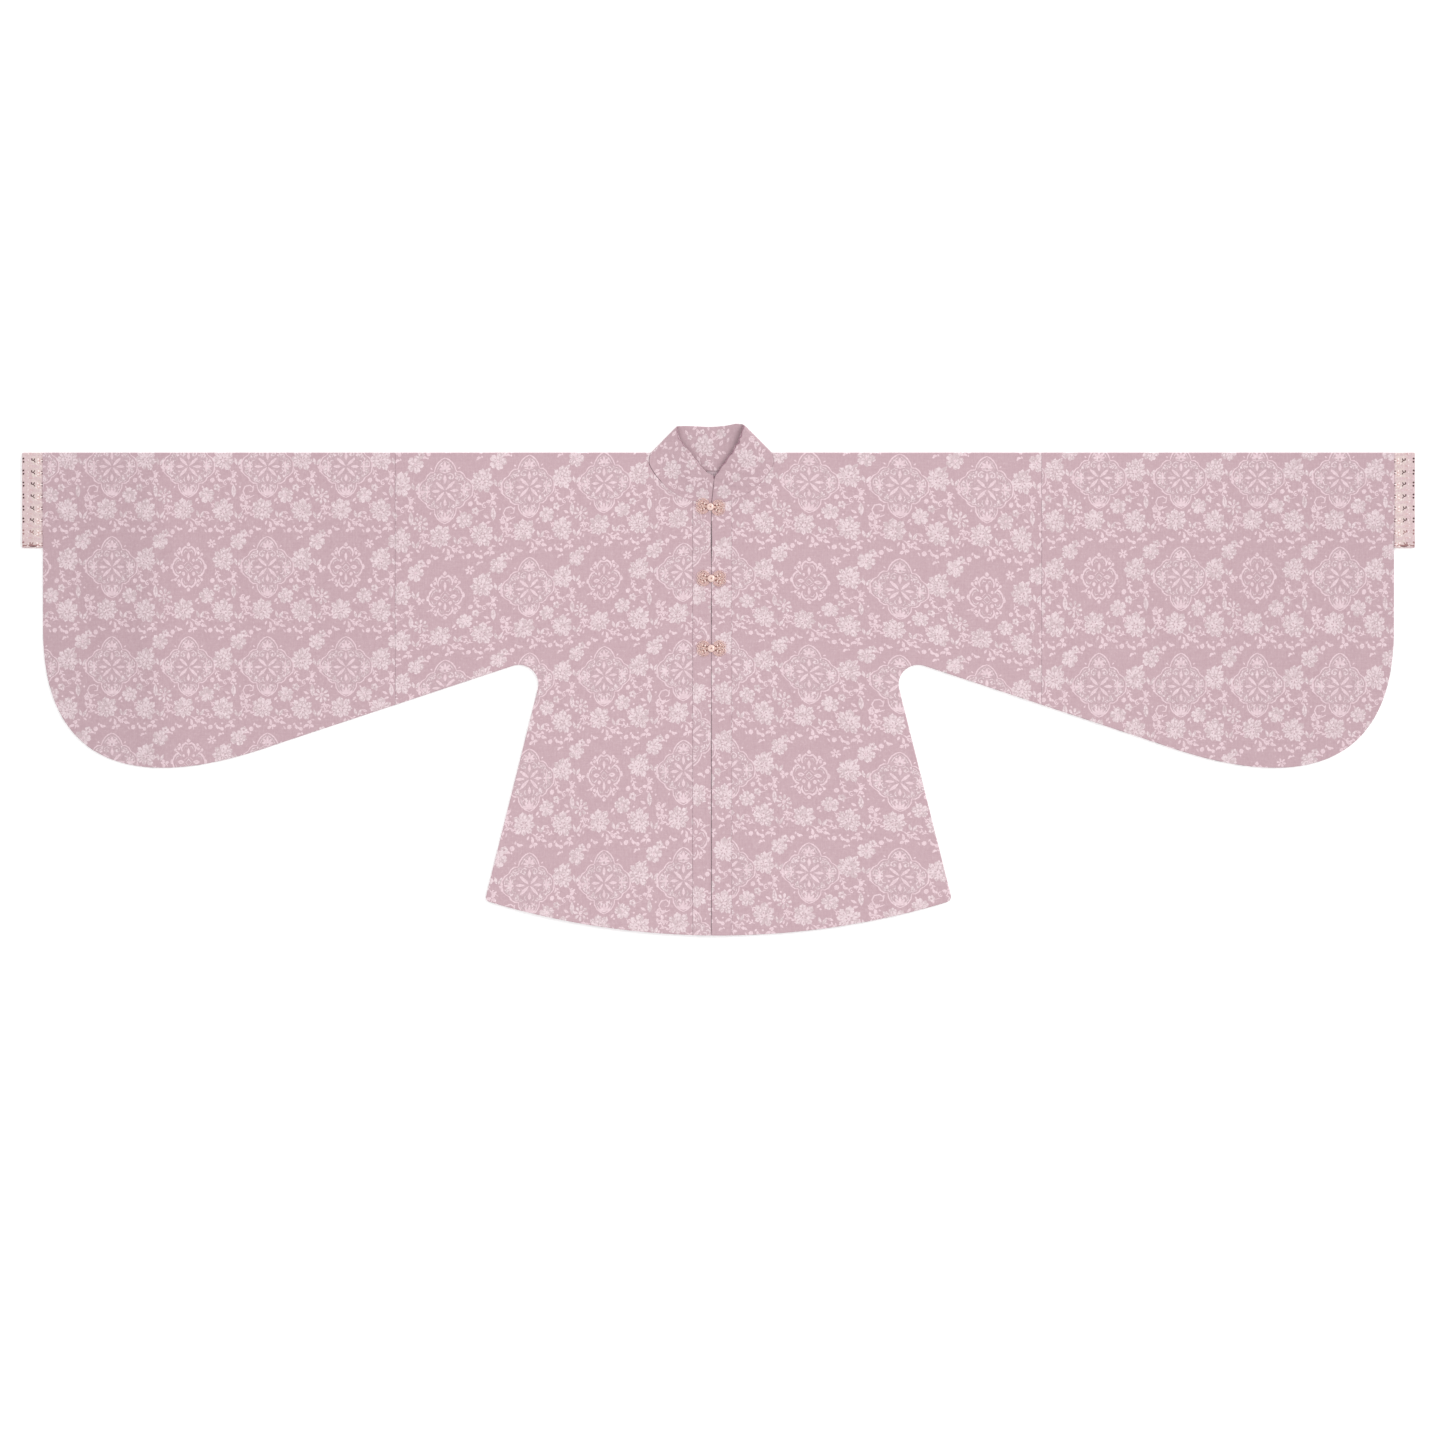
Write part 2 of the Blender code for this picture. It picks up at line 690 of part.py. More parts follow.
def joined(name, pieces, at, turn):
    """The union of these meshes, as one object with its own material."""
    base = helper(name, pieces[0])
    others = [helper(f"{name}_tool{k}", bm) for k, bm in enumerate(pieces[1:])]
    for k, other in enumerate(others):
        mod = base.modifiers.new(f"join{k}", "BOOLEAN")
        mod.operation, mod.solver, mod.object = "UNION", "EXACT", other
    bpy.context.view_layer.update()
    whole = base.evaluated_get(bpy.context.evaluated_depsgraph_get())
    bm = bmesh.new()
    bm.from_mesh(whole.to_mesh())
    whole.to_mesh_clear()
    for old in [base, *others]:
        bpy.data.objects.remove(old, do_unlink=True)
    bmesh.ops.remove_doubles(bm, verts=bm.verts, dist=1e-6)
    for v in bm.verts:
        x, y = v.co.x * turn, v.co.y * turn
        v.co = Vector((at[0] * MM + x, at[1] * MM + y, at[2] * MM + v.co.z))
    bmesh.ops.triangulate(bm, faces=bm.faces)
    return finish_mesh(name, bm, ROSE_GOLD, 35)


def circle(r, n, start=0.0):
    return [
        (r * math.cos(start + 2 * math.pi * k / n), r * math.sin(start + 2 * math.pi * k / n))
        for k in range(n)
    ]


def wing_loop():
    """One wing, pointing along +X from the clasp's centre."""
    rows = WING[::-1] + [(-a, r) for a, r in WING[1:]]
    tip = [
        (r * math.cos(math.radians(a)), r * math.sin(math.radians(a))) for a, r in rows[::-1]
    ]
    root = RING_OUTER + 0.4
    return tip + [(root, WING[-1][1] * 0.42), (root, -WING[-1][1] * 0.42)]


def clasp_ring(name, at):
    """The wing with the ring that the knob closes into."""
    neck = [
        (RING_OUTER - 0.7, -NECK_WIDTH / 2),
        (RING_OUTER + 2.6, -NECK_WIDTH / 2),
        (RING_OUTER + 2.6, NECK_WIDTH / 2),
        (RING_OUTER - 0.7, NECK_WIDTH / 2),
    ]
    pieces = [
        washer(RING_INNER, RING_OUTER, 0.0, WING_PLATE, 24),
        prism(neck, 0.3, WING_PLATE + 0.2),
        prism(wing_loop(), 0.0, WING_PLATE),
    ]
    return joined(name, pieces, at, -1)


def clasp_knob(name, at):
    """The wing with the knob, whose head reaches over the ring."""
    arm = [
        (0.8, -NECK_WIDTH / 2),
        (RING_OUTER + 2.2, -NECK_WIDTH / 2),
        (RING_OUTER + 2.2, NECK_WIDTH / 2),
        (0.8, NECK_WIDTH / 2),
    ]
    post = [
        (RING_OUTER + 0.5, -NECK_WIDTH / 2 + 0.2),
        (RING_OUTER + 2.0, -NECK_WIDTH / 2 + 0.2),
        (RING_OUTER + 2.0, NECK_WIDTH / 2 - 0.2),
        (RING_OUTER + 0.5, NECK_WIDTH / 2 - 0.2),
    ]
    head = [(0.0, 0.1), (KNOB_SHANK, 0.1), (KNOB_SHANK, KNOB_LIFT)]
    head += [
        (KNOB_HEAD * math.cos(math.radians(a)), KNOB_LIFT + 0.7 + KNOB_DOME * math.sin(math.radians(a)))
        for a in (0, 25, 50, 72)
    ]
    head.insert(3, (KNOB_HEAD, KNOB_LIFT))
    head.append((0.0, KNOB_LIFT + 0.7 + KNOB_DOME))
    pieces = [
        prism(wing_loop(), 0.0, WING_PLATE),
        prism(post, 0.1, KNOB_LIFT + 0.4),
        prism(arm, KNOB_LIFT + 0.05, KNOB_LIFT + 0.65),
        turned(head, 24),
    ]
    return joined(name, pieces, at, 1)


# ---------------------------------------------------------------- build
body("body_right", -1)
body("body_left", 1)
sleeve("sleeve_right", -1)
sleeve("sleeve_left", 1)
cuff("cuff_right", -1)
cuff("cuff_left", 1)
collar("collar")
front_band("front_band_right", -1)
front_band("front_band_left", 1)
for number, depth in enumerate(CLASP_DEPTHS, 1):
    under = max(
        CLOTH + layer_gap(CLASP_X + dx, depth + dy) + BAND_CLOTH
        for dx in (-23, 0, 23)
        for dy in (-12, 0, 12)
    )
    if number == 1:
        under = max(under, 2 * COLLAR_CLOTH + mix(COLLAR_GAP_SEAM, COLLAR_GAP_RIM, ease(0.2)))
    place = (CLASP_X, Y_FOLD - depth, under + SEAM)
    clasp_ring(f"clasp_{number}_ring", place)
    clasp_knob(f"clasp_{number}_knob", place)
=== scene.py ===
"""The looks of a short stand-collar jacket in flower jacquard, laid flat.

Metres in the part's frame, +Z up: +X is the wearer's left and +Y is towards the
collar. Sizes in the tables are millimetres, and the woven repeat is charted in
steps of STEP millimetres.

Every cloth piece is drawn flat in its cut, as (x, v): v runs along the cloth, 0 on
the top fold, positive down the front and negative down the back. A surface
function then lays the cut over the fold, and the woven figure is a partition of
that same mesh, so that it bends with the cloth.
"""

import math

import bmesh
import bpy
import numpy as np
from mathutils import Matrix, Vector
from mathutils.geometry import delaunay_2d_cdt


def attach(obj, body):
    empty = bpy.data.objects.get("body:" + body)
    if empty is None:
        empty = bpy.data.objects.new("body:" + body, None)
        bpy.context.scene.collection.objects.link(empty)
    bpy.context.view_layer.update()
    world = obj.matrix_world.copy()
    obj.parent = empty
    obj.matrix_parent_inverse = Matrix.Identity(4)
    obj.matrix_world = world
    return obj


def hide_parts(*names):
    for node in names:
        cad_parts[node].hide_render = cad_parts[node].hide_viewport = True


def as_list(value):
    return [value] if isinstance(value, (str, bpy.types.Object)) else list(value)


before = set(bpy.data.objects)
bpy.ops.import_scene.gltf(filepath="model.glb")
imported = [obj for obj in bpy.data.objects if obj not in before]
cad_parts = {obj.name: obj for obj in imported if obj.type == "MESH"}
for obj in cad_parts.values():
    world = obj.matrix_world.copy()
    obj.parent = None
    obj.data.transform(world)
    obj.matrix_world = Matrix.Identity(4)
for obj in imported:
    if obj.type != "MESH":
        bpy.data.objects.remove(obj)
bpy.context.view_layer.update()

MM = 0.001
STEP = 1.43575  # one step of the chart
SEAM = 0.16  # between two sewn pieces

# ------------------------------------------------------------- the cut's sizes
HALF_SPAN = 1000.0
FOLD_TO_HEM = 693.5
COLLAR_RISE = 41.6
Y_FOLD = (FOLD_TO_HEM - COLLAR_RISE) / 2
CLOTH = 1.5
WALL = 1.25  # what is shown of it
BAND_CLOTH = 2.1
COLLAR_CLOTH = 2.0
FOLD_GAP = 1.0
SEWN_GAP = 0.3
CROWN_GAP = 2.1
CROWN_REACH = 95.0
FOLD_REACH = 70.0
CUFF_LENGTH = 29.6
CUFF_DEPTH = 137.1
CUFF_GAP = 1.1
SLEEVE_END = HALF_SPAN - CUFF_LENGTH - SEAM
EXTENSION_SEAM = 464.0
SLEEVE_STRAIGHT = 252.3
SLEEVE_CURVE_START = 296.1
SLEEVE_CURVE_END_X = 624.3
SLEEVE_CURVE_END = 60.3
ARMPIT_X = 247.2
ARMPIT_DEPTH = 290.2
ARMPIT_RADIUS = 28.0
UNDERARM_SLOPE = 0.3318
SIDE_SLOPE = 0.25
HEM_RADIUS = 1150.0
HEM_CORNER_RADIUS = 7.0
OPENING_X = -10.3
BAND_WIDTH_RIGHT = 26.6
BAND_WIDTH_LEFT = 29.4
BACK_NECK_DEPTH = 27.3

# Half the width of the slit at the opening: (depth, half width)
SLIT = [
    (60.0, 0.3),
    (90.0, 0.3),
    (125.0, 0.8),
    (165.0, 0.3),
    (195.0, 0.25),
    (232.0, 0.5),
    (268.0, 0.25),
    (300.0, 0.2),
    (480.0, 0.4),
    (700.0, 0.35),
]

# The collar: (seam x, seam rise, rim x, rim rise), from the opening and the top fold
COLLAR_FRONT_RIGHT = [
    (0.0, -73.9, 4.6, -34.6),
    (-27.0, -69.2, -8.0, -27.0),
    (-49.5, -59.8, -16.8, -17.4),
    (-68.0, -46.0, -26.8, -4.4),
    (-81.6, -30.5, -36.8, 8.2),
    (-89.6, -14.5, -46.0, 21.4),
    (-86.9, 0.0, -48.9, 38.4),
]
COLLAR_FRONT_LEFT = [
    (0.0, -73.9, 4.6, -34.6),
    (27.0, -69.2, 11.8, -24.6),
    (49.5, -59.8, 20.4, -11.6),
    (68.0, -46.0, 29.0, -0.2),
    (81.6, -30.5, 35.6, 11.0),
    (89.6, -14.5, 41.6, 23.6),
    (86.9, 0.0, 46.4, 40.6),
]
COLLAR_BACK = [
    (-84.4, -2.4, -46.8, 36.9),
    (-74.0, -14.0, -39.5, 38.4),
    (-48.0, -23.6, -22.0, 37.8),
    (0.0, -BACK_NECK_DEPTH, -2.0, 37.0),
    (48.0, -23.6, 20.0, 38.6),
    (74.0, -14.0, 36.0, COLLAR_RISE),
    (84.4, -2.4, 44.0, 39.6),
]
COLLAR_GAP_SEAM = 1.0
COLLAR_GAP_RIM = 3.2

CLASP_DEPTHS = [78.2, 180.9, 281.4]
CLASP_X = OPENING_X
WING = [
    (0.0, 18.6),
    (8.0, 20.8),
    (18.0, 20.8),
    (28.0, 18.6),
    (38.0, 17.4),
    (47.0, 14.8),
    (56.0, 11.0),
    (66.0, 7.4),
]

FOLD_OUTER = CLOTH + FOLD_GAP / 2
FOLD_MIDDLE = (FOLD_OUTER + FOLD_GAP / 2) / 2
FOLD_HALF = math.pi * FOLD_MIDDLE / 2
FOLD_ROWS = [FOLD_HALF * k / 4 for k in range(-4, 5)]

# Where the piece's pattern falls. cols and rows place the middles of the
# medallions, in steps from the left end and the top of a 1440-step frame whose
# middle is 718.5, 679.5; whole even numbers are the ring medallions. droop is how
# far a row sinks for each step to the right, at each row.
FRAME_X, FRAME_FOLD = 718.5, 452.5
PHASES = {
    "sleeve_right": {
        "cols": [(-1, 112.0), (0, 188.5), (1, 267.5), (2, 346.0)],
        "rows": [(-1, 466.5), (0, 567.0), (1, 667.0), (2, 762.0)],
        "droop": [(0, 0.0)],
        "about": 230.0,
    },
    "body_right": {
        "cols": [(0, 445.0), (1, 529.5), (2, 604.0), (3, 683.5)],
        "rows": [(-1, 483.0), (0, 580.0), (1, 675.5), (2, 775.0), (3, 883.0)],
        "droop": [(-2, 0.0), (-1, -0.05), (0, -0.11), (1, -0.075), (2, -0.05), (3, -0.03)],
        "about": 604.0,
    },
    "body_left": {
        "cols": [(-1, 728.5), (0, 809.0), (1, 900.0), (2, 987.0)],
        "rows": [(-1, 482.0), (0, 581.5), (1, 672.5), (2, 775.0), (3, 872.5)],
        "droop": [(-2, 0.0), (-1, 0.04), (0, 0.10), (1, 0.117), (2, 0.08), (3, 0.045)],
        "about": 808.0,
    },
    "sleeve_left": {
        "cols": [(0, 1099.0), (1, 1181.0), (2, 1257.0), (3, 1340.0)],
        "rows": [(-1, 478.0), (0, 577.0), (1, 686.5), (2, 786.0)],
        "droop": [(0, 0.0)],
        "about": 1200.0,
    },
    "front_band_right": {
        "cols": [(0, 691.0)],
        "rows": [(0, 637.0), (1, 735.0), (2, 839.0)],
        "droop": [(0, 0.0)],
        "about": 691.0,
        "turned": True,
    },
    "front_band_left": {
        "cols": [(0, 689.0)],
        "rows": [(-1, 556.0), (0, 650.0), (1, 749.0), (2, 858.0)],
        "droop": [(0, 0.0)],
        "about": 689.0,
    },
}


# ---------------------------------------------------------------- small tools
def mix(a, b, t):
    return a + (b - a) * t


def ease(t):
    t = np.clip(t, 0.0, 1.0)
    return t * t * (3 - 2 * t)


def look_up(rows, key):
    if key <= rows[0][0]:
        return rows[0][1]
    for (a, va), (b, vb) in zip(rows, rows[1:]):
        if key <= b:
            return float(mix(va, vb, ease((key - a) / (b - a))))
    return rows[-1][1]


def straight(rows, keys, pitch):
    """Values between these rows at keys, going on at this pitch beyond the ends."""
    at, value = np.array([r[0] for r in rows], float), np.array([r[1] for r in rows], float)
    out = np.interp(keys, at, value)
    out = np.where(keys < at[0], value[0] + (keys - at[0]) * pitch, out)
    return np.where(keys > at[-1], value[-1] + (keys - at[-1]) * pitch, out)


def bezier(p0, p1, p2, p3, n):
    out = []
    for k in range(n + 1):
        t = k / n
        w = ((1 - t) ** 3, 3 * (1 - t) ** 2 * t, 3 * (1 - t) * t * t, t**3)
        out.append(
            tuple(sum(w[i] * p[j] for i, p in enumerate((p0, p1, p2, p3))) for j in (0, 1))
        )
    return out


def through(rows, n):
    """A smooth line through these rows of numbers, n steps for each."""
    p = np.array(rows, float)
    p = np.vstack([2 * p[0] - p[1], p, 2 * p[-1] - p[-2]])
    out = []
    for k in range(1, len(p) - 2):
        a, b, c, d = p[k - 1], p[k], p[k + 1], p[k + 2]
        for t in np.arange(n) / n:
            out.append(
                0.5
                * (
                    2 * b
                    + (c - a) * t
                    + (2 * a - 5 * b + 4 * c - d) * t * t
                    + (3 * b - a - 3 * c + d) * t**3
                )
            )
    out.append(p[-2])
    return np.array(out)


def rounded(before, corner, after, radius, n):
    c = Vector(corner)
    a = (Vector(before) - c).normalized()
    b = (Vector(after) - c).normalized()
    half = a.angle(b) / 2
    middle = c + (a + b).normalized() * (radius / math.sin(half))
    start = c + a * (radius / math.tan(half)) - middle
    end = c + b * (radius / math.tan(half)) - middle
    turn_by = start.angle_signed(end)
    out = []
    for k in range(n + 1):
        t = turn_by * k / n
        s, co = math.sin(-t), math.cos(-t)
        p = Vector((start.x * co - start.y * s, start.x * s + start.y * co))
        out.append(tuple(middle + p))
    return out


def mix_list(a, b, n):
    return [mix(a, b, k / n) for k in range(n + 1)]


def spaced(a, b, step=9.0):
    """Numbers from a to b about this far apart, both ends included."""
    return mix_list(a, b, max(1, round(abs(b - a) / step)))


def offset(line, by):
    """An open line moved sideways, to the left of its direction."""
    out = []
    for k, p in enumerate(line):
        a, b = line[max(k - 1, 0)], line[min(k + 1, len(line) - 1)]
        dx, dy = b[0] - a[0], b[1] - a[1]
        d = math.hypot(dx, dy)
        out.append((p[0] - dy / d * by, p[1] + dx / d * by))
    return out


def near_line(points, line):
    """Distance from each point to an open line, the way to it, and how far along it."""
    a, b = line[:-1], line[1:]
    step = b - a
    length2 = np.maximum((step**2).sum(1), 1e-12)
    runs = np.concatenate([[0.0], np.cumsum(np.sqrt(length2))])
    best = np.full(len(points), 1e18)
    way = np.zeros((len(points), 2))
    along = np.zeros(len(points))
    chunk = max(1, int(4e6 / max(len(step), 1)))
    for lo in range(0, len(points), chunk):
        p = points[lo : lo + chunk]
        to = p[:, None, :] - a[None]
        t = np.clip((to * step[None]).sum(2) / length2[None], 0.0, 1.0)
        gone = to - t[..., None] * step[None]
        d2 = (gone**2).sum(2)
        k = d2.argmin(1)
        rows = np.arange(len(p))
        best[lo : lo + chunk] = d2[rows, k]
        way[lo : lo + chunk] = gone[rows, k]
        along[lo : lo + chunk] = runs[k] + t[rows, k] * np.sqrt(length2[k])
    return np.sqrt(best), way, along


def contained(points, loop):
    """True for each point inside a closed loop."""
    hit = np.zeros(len(points), bool)
    x, y = points[:, 0], points[:, 1]
    for (x0, y0), (x1, y1) in zip(loop, np.roll(loop, -1, axis=0)):
        if y0 != y1:
            cross = (y0 > y) != (y1 > y)
            hit ^= cross & (x < x0 + (y - y0) * (x1 - x0) / (y1 - y0))
    return hit


def anticlockwise(loop):
    loop = np.asarray(loop, float)
    x, y = loop[:, 0], loop[:, 1]
    area = (x * np.roll(y, -1) - np.roll(x, -1) * y).sum() / 2
    return (loop if area > 0 else loop[::-1]), abs(area)
# ------------------------------------------------------------ the woven repeat
# Charted in steps of 1.436 mm. x runs to the right and y down, from the
# centre of a medallion. Later shapes lie on earlier ones.
GROUND, FLOWER, LEAF, TINT, FAINT, LINE = 0, 1, 2, 3, 8, 9
CELL_W, CELL_H = 79.0, 100.0


def turn(points, deg, at=(0.0, 0.0), size=1.0, flip=False):
    c, s = math.cos(math.radians(deg)), math.sin(math.radians(deg))
    f = -1.0 if flip else 1.0
    return [
        (at[0] + size * (f * x * c - y * s), at[1] + size * (f * x * s + y * c)) for x, y in points
    ]


def petal(length, width, blunt=0.5, n=3):
    """A petal from the origin along +x: blunt moves its widest place outwards."""
    side = []
    for k in range(1, n):
        t = k / n
        side.append((length * t, width / 2 * math.sin(math.pi * t ** (0.6 + blunt))))
    return [(0.0, 0.0), *side, (length, 0.0), *[(x, -y) for x, y in reversed(side)]]


def dot(r, n=6, squash=1.0):
    return [
        (r * math.cos(2 * math.pi * k / n), squash * r * math.sin(2 * math.pi * k / n))
        for k in range(n)
    ]


def line(points, width):
    """A thin strip along these points, tapering a little at both ends."""
    left, right = [], []
    for k, (x, y) in enumerate(points):
        x0, y0 = points[max(k - 1, 0)]
        x1, y1 = points[min(k + 1, len(points) - 1)]
        d = math.hypot(x1 - x0, y1 - y0) or 1.0
        w = width / 2 * (0.55 if k in (0, len(points) - 1) else 1.0)
        nx, ny = -(y1 - y0) / d * w, (x1 - x0) / d * w
        left.append((x + nx, y + ny))
        right.append((x - nx, y - ny))
    return left + right[::-1]


def arc(rx, ry, a0, a1, n, at=(0.0, 0.0)):
    return [
        (
            at[0] + rx * math.cos(math.radians(a0 + (a1 - a0) * k / n)),
            at[1] + ry * math.sin(math.radians(a0 + (a1 - a0) * k / n)),
        )
        for k in range(n + 1)
    ]


def shift(shapes, at, deg=0.0, size=1.0, flip=False):
    return [(label, turn(p, deg, at, size, flip)) for label, p in shapes]


def round_edge(rows, size=1.0):
    """A closed edge from rows of angle and radius."""
    return [
        (size * r * math.cos(math.radians(a)), size * r * math.sin(math.radians(a)))
        for a, r in rows
    ]


# A full blossom's petals: angle, reach and half width in degrees. The top one is tall.
PEONY = [(-91, 11.9, 27), (-41, 11.5, 23), (7, 10.2, 24), (56, 10.4, 24), (101, 9.4, 20), (141, 10.2, 19), (184, 10.1, 23), (227, 11.6, 21)]


def big_blossom(spin=0.0, seed=1, size=1.0):
    edge = []
    for k, (a, r, half) in enumerate(PEONY):
        r *= 1.0 + 0.05 * math.sin(seed * 2.7 + k * 1.9)
        lean = 3.0 * math.sin(seed + k * 2.3)
        edge += [
            (a - half * 0.93, r * 0.70),
            (a - half * 0.62, r * 0.90),
            (a - half * 0.28, r * 0.91),
            (a + lean, r * 1.04),
            (a + half * 0.34, r * 0.90),
            (a + half * 0.68, r * 0.88),
        ]
    out = [(FLOWER, turn(round_edge(edge, size), spin))]
    for k, (a, r, half) in enumerate(PEONY):
        q = a - half * 0.98 + spin
        out.append((LINE, turn([(4.2, 0.0), (r * 0.6, -0.22), (r * 0.84, -0.5), (r * 0.82, 0.4), (r * 0.6, 0.2)], q, (0, 0), size)))
        out.append((LINE, turn([(5.2, -0.1), (7.0, -0.42), (8.0, 0.1), (6.8, 0.36)], a + spin, (0, 0), size)))
    for k in range(6):
        out.append((LINE, turn([(1.7, -0.55), (3.3, -0.5), (3.4, 0.4), (1.8, 0.4)], spin + 14 + 60 * k, (0, 0), size)))
    out.append((LEAF, dot(1.0, 5)))
    return out


def mid_blossom(petals=5, r=8.0, spin=0.0):
    out = []
    shape = [(1.0, -0.5), (3.4, -2.7), (6.2, -3.1), (7.4, -1.7), (6.9, -0.1), (7.8, 1.1), (6.0, 3.0), (3.4, 2.6), (1.0, 0.5)]
    for k in range(petals):
        a = spin + 360 * k / petals
        out.append((FLOWER, turn(shape, a, (0, 0), r / 7.8)))
    for k in range(petals):
        a = spin + 360 * k / petals
        out.append((LINE, turn([(2.4, -0.3), (5.2, 0.0), (2.4, 0.3)], a, (0, 0), r / 7.8)))
        out.append((LINE, turn([(2.8, -0.15), (8.4, -0.55), (8.4, 0.5)], a + 180 / petals, (0, 0), r / 7.8)))
    out.append((LEAF, dot(1.3, 5)))
    return out


def daisy(rays=8, r=8.2, inner=2.2, width=3.1):
    shape = [(0.0, -0.3), ((r - inner) * 0.5, -width * 0.42), ((r - inner) * 0.86, -width * 0.4), (r - inner, 0.1), ((r - inner) * 0.84, width * 0.45), ((r - inner) * 0.45, width * 0.4)]
    out = []
    for k in range(rays):
        q = 2 * math.pi * k / rays + 0.1
        out.append((FLOWER, turn(shape, math.degrees(q), (inner * math.cos(q), inner * math.sin(q)))))
    out.append((FLOWER, dot(1.5, 5)))
    return out


def small_star(r=5.0, rays=6):
    out = []
    for k in range(rays):
        out.append((LEAF, turn([(0.8, -0.5), (r * 0.72, -1.15), (r, 0.0), (r * 0.72, 1.1), (0.8, 0.5)], 12 + 360 * k / rays)))
    return out


def leaf(length, width, label=LEAF, vein=True):
    out = [(label, petal(length, width, 0.32, 4))]
    if vein:
        out.append((LINE, [(length * 0.2, -0.1), (length * 0.6, -0.3), (length * 0.85, 0), (length * 0.6, 0.25)]))
    return out


def trefoil(size=1.0, label=LEAF):
    """Three small petals on a short stalk, like a bird."""
    out = [(label, turn([(0.2, 0.0), (1.6, -1.5), (3.9, -1.3), (4.7, 0.3), (3.0, 1.4), (1.0, 0.9)], a, (0, 0), size)) for a in (-82, 18, 152)]
    return out + [(label, turn(line([(0, 0), (0.9, 2.0), (0.6, 4.0)], 1.0), 0, (0, 0), size)), (LINE, turn(dot(0.5, 4), 0, (0, 0), size))]


def small_buds(label=LEAF):
    """Two or three buds close together, on no stalk."""
    return [
        (label, turn([(0.0, -1.0), (1.8, -2.9), (4.0, -2.3), (4.3, 0.2), (2.6, 1.7), (0.6, 1.3)], 170, (-2.0, -0.6))),
        (label, turn(petal(5.2, 2.7, 0.6, 3), 62, (0.6, -3.4))),
        (label, turn(petal(4.2, 2.3, 0.6, 3), 20, (1.8, -1.2))),
        (label, turn(petal(3.2, 1.9, 0.5, 3), -64, (-1.0, -2.0))),
    ]


def bud_pair(flip=False, label=LEAF):
    """A round bud with its eye, and a half-open one beside it."""
    out = [
        (label, turn([(3.3, -0.6), (2.2, -2.6), (-0.4, -3.3), (-2.9, -2.1), (-3.5, 0.5), (-1.9, 2.7), (0.6, 3.1), (2.7, 1.9)], 0, (-3.0, 0.0))),
        (LINE, turn([(2.2, -0.6), (0.5, -2.1), (-1.9, -0.9), (-1.5, 1.4), (1.0, 1.9)], 0, (-3.0, 0.0))),
        (label, turn(dot(1.0, 5), 0, (-2.8, -0.1))),
        (label, turn(petal(6.2, 2.2, 0.6, 3), 66, (1.6, -3.0))),
        (label, turn(petal(5.4, 2.0, 0.6, 3), 42, (3.4, -1.6))),
        (label, turn(petal(3.6, 1.7, 0.5, 3), -20, (2.4, -2.4))),
    ]
    return [(label, turn(p, 0, flip=flip)) for label, p in out]


def curl(size=1.0, label=LEAF):
    """A small scroll: a hook that closes on a dot."""
    pts = [(4.2, 3.0), (2.0, 3.3), (0.3, 1.9), (0.4, -0.3), (2.1, -1.3), (3.4, -0.1)]
    return [(label, turn(line(pts, 1.25), 0, (0, 0), size)), (label, turn(dot(0.8, 5), 0, (2.1 * size, 0.9 * size)))]


def spray(size=1.0, label=LEAF):
    """A short stalk with pairs of small leaves."""
    out = [(label, turn(line([(0, 0), (3.0, 0.8), (6.4, 0.6), (9.4, 1.8)], 0.9), 0, (0, 0), size))]
    for x, y, a, n in ((2.2, 0.4, -48, 3.6), (3.0, 1.0, 44, 3.4), (5.8, 0.6, -40, 3.4), (6.4, 0.9, 52, 3.2), (9.2, 1.8, 8, 3.4)):
        out.append((label, turn(petal(n, 1.7, 0.5, 3), a, (x * size, y * size), size)))
    return out


def palmette(petals=5, r=6.6, spread=130, width=2.6, label=FLOWER):
    """A half flower that opens upwards, -y, from the origin."""
    out = []
    for k in range(petals):
        a = -90 + spread * (k / (petals - 1) - 0.5)
        grow = 1.0 - 0.22 * abs(k / (petals - 1) - 0.5) * 2
        out.append((label, turn(petal(r * grow, width, 0.7, 4), a)))
    return out


def mirrored(shapes):
    return shapes + [(label, [(-x, y) for x, y in reversed(p)]) for label, p in shapes]


OGEE_HALF = [
    (0.0, -31.4), (3.2, -30.0), (6.4, -27.4), (9.0, -23.8), (10.8, -19.2), (14.6, -19.4),
    (17.8, -17.0), (19.6, -12.6), (22.8, -9.4), (24.6, -4.6), (24.4, 0.6), (24.2, 5.4),
    (21.8, 9.6), (19.0, 12.2), (17.6, 16.2), (14.2, 18.6), (10.6, 18.4), (9.8, 23.2),
    (7.2, 27.2), (3.6, 30.0), (0.0, 31.8),
]


def pinched(shapes):
    """Draws the medallion's shoulders in, so that it is pointed rather than round."""
    out = []
    for label, p in shapes:
        q = []
        for x, y in p:
            r, a = math.hypot(x, y), math.atan2(y, x)
            f = 1.0 - 0.09 * math.sin(2 * a) ** 2 * min(max((r - 15.0) / 6.0, 0.0), 1.0)
            q.append((x * f * 1.07, y * f * 0.97))
        out.append((label, q))
    return out


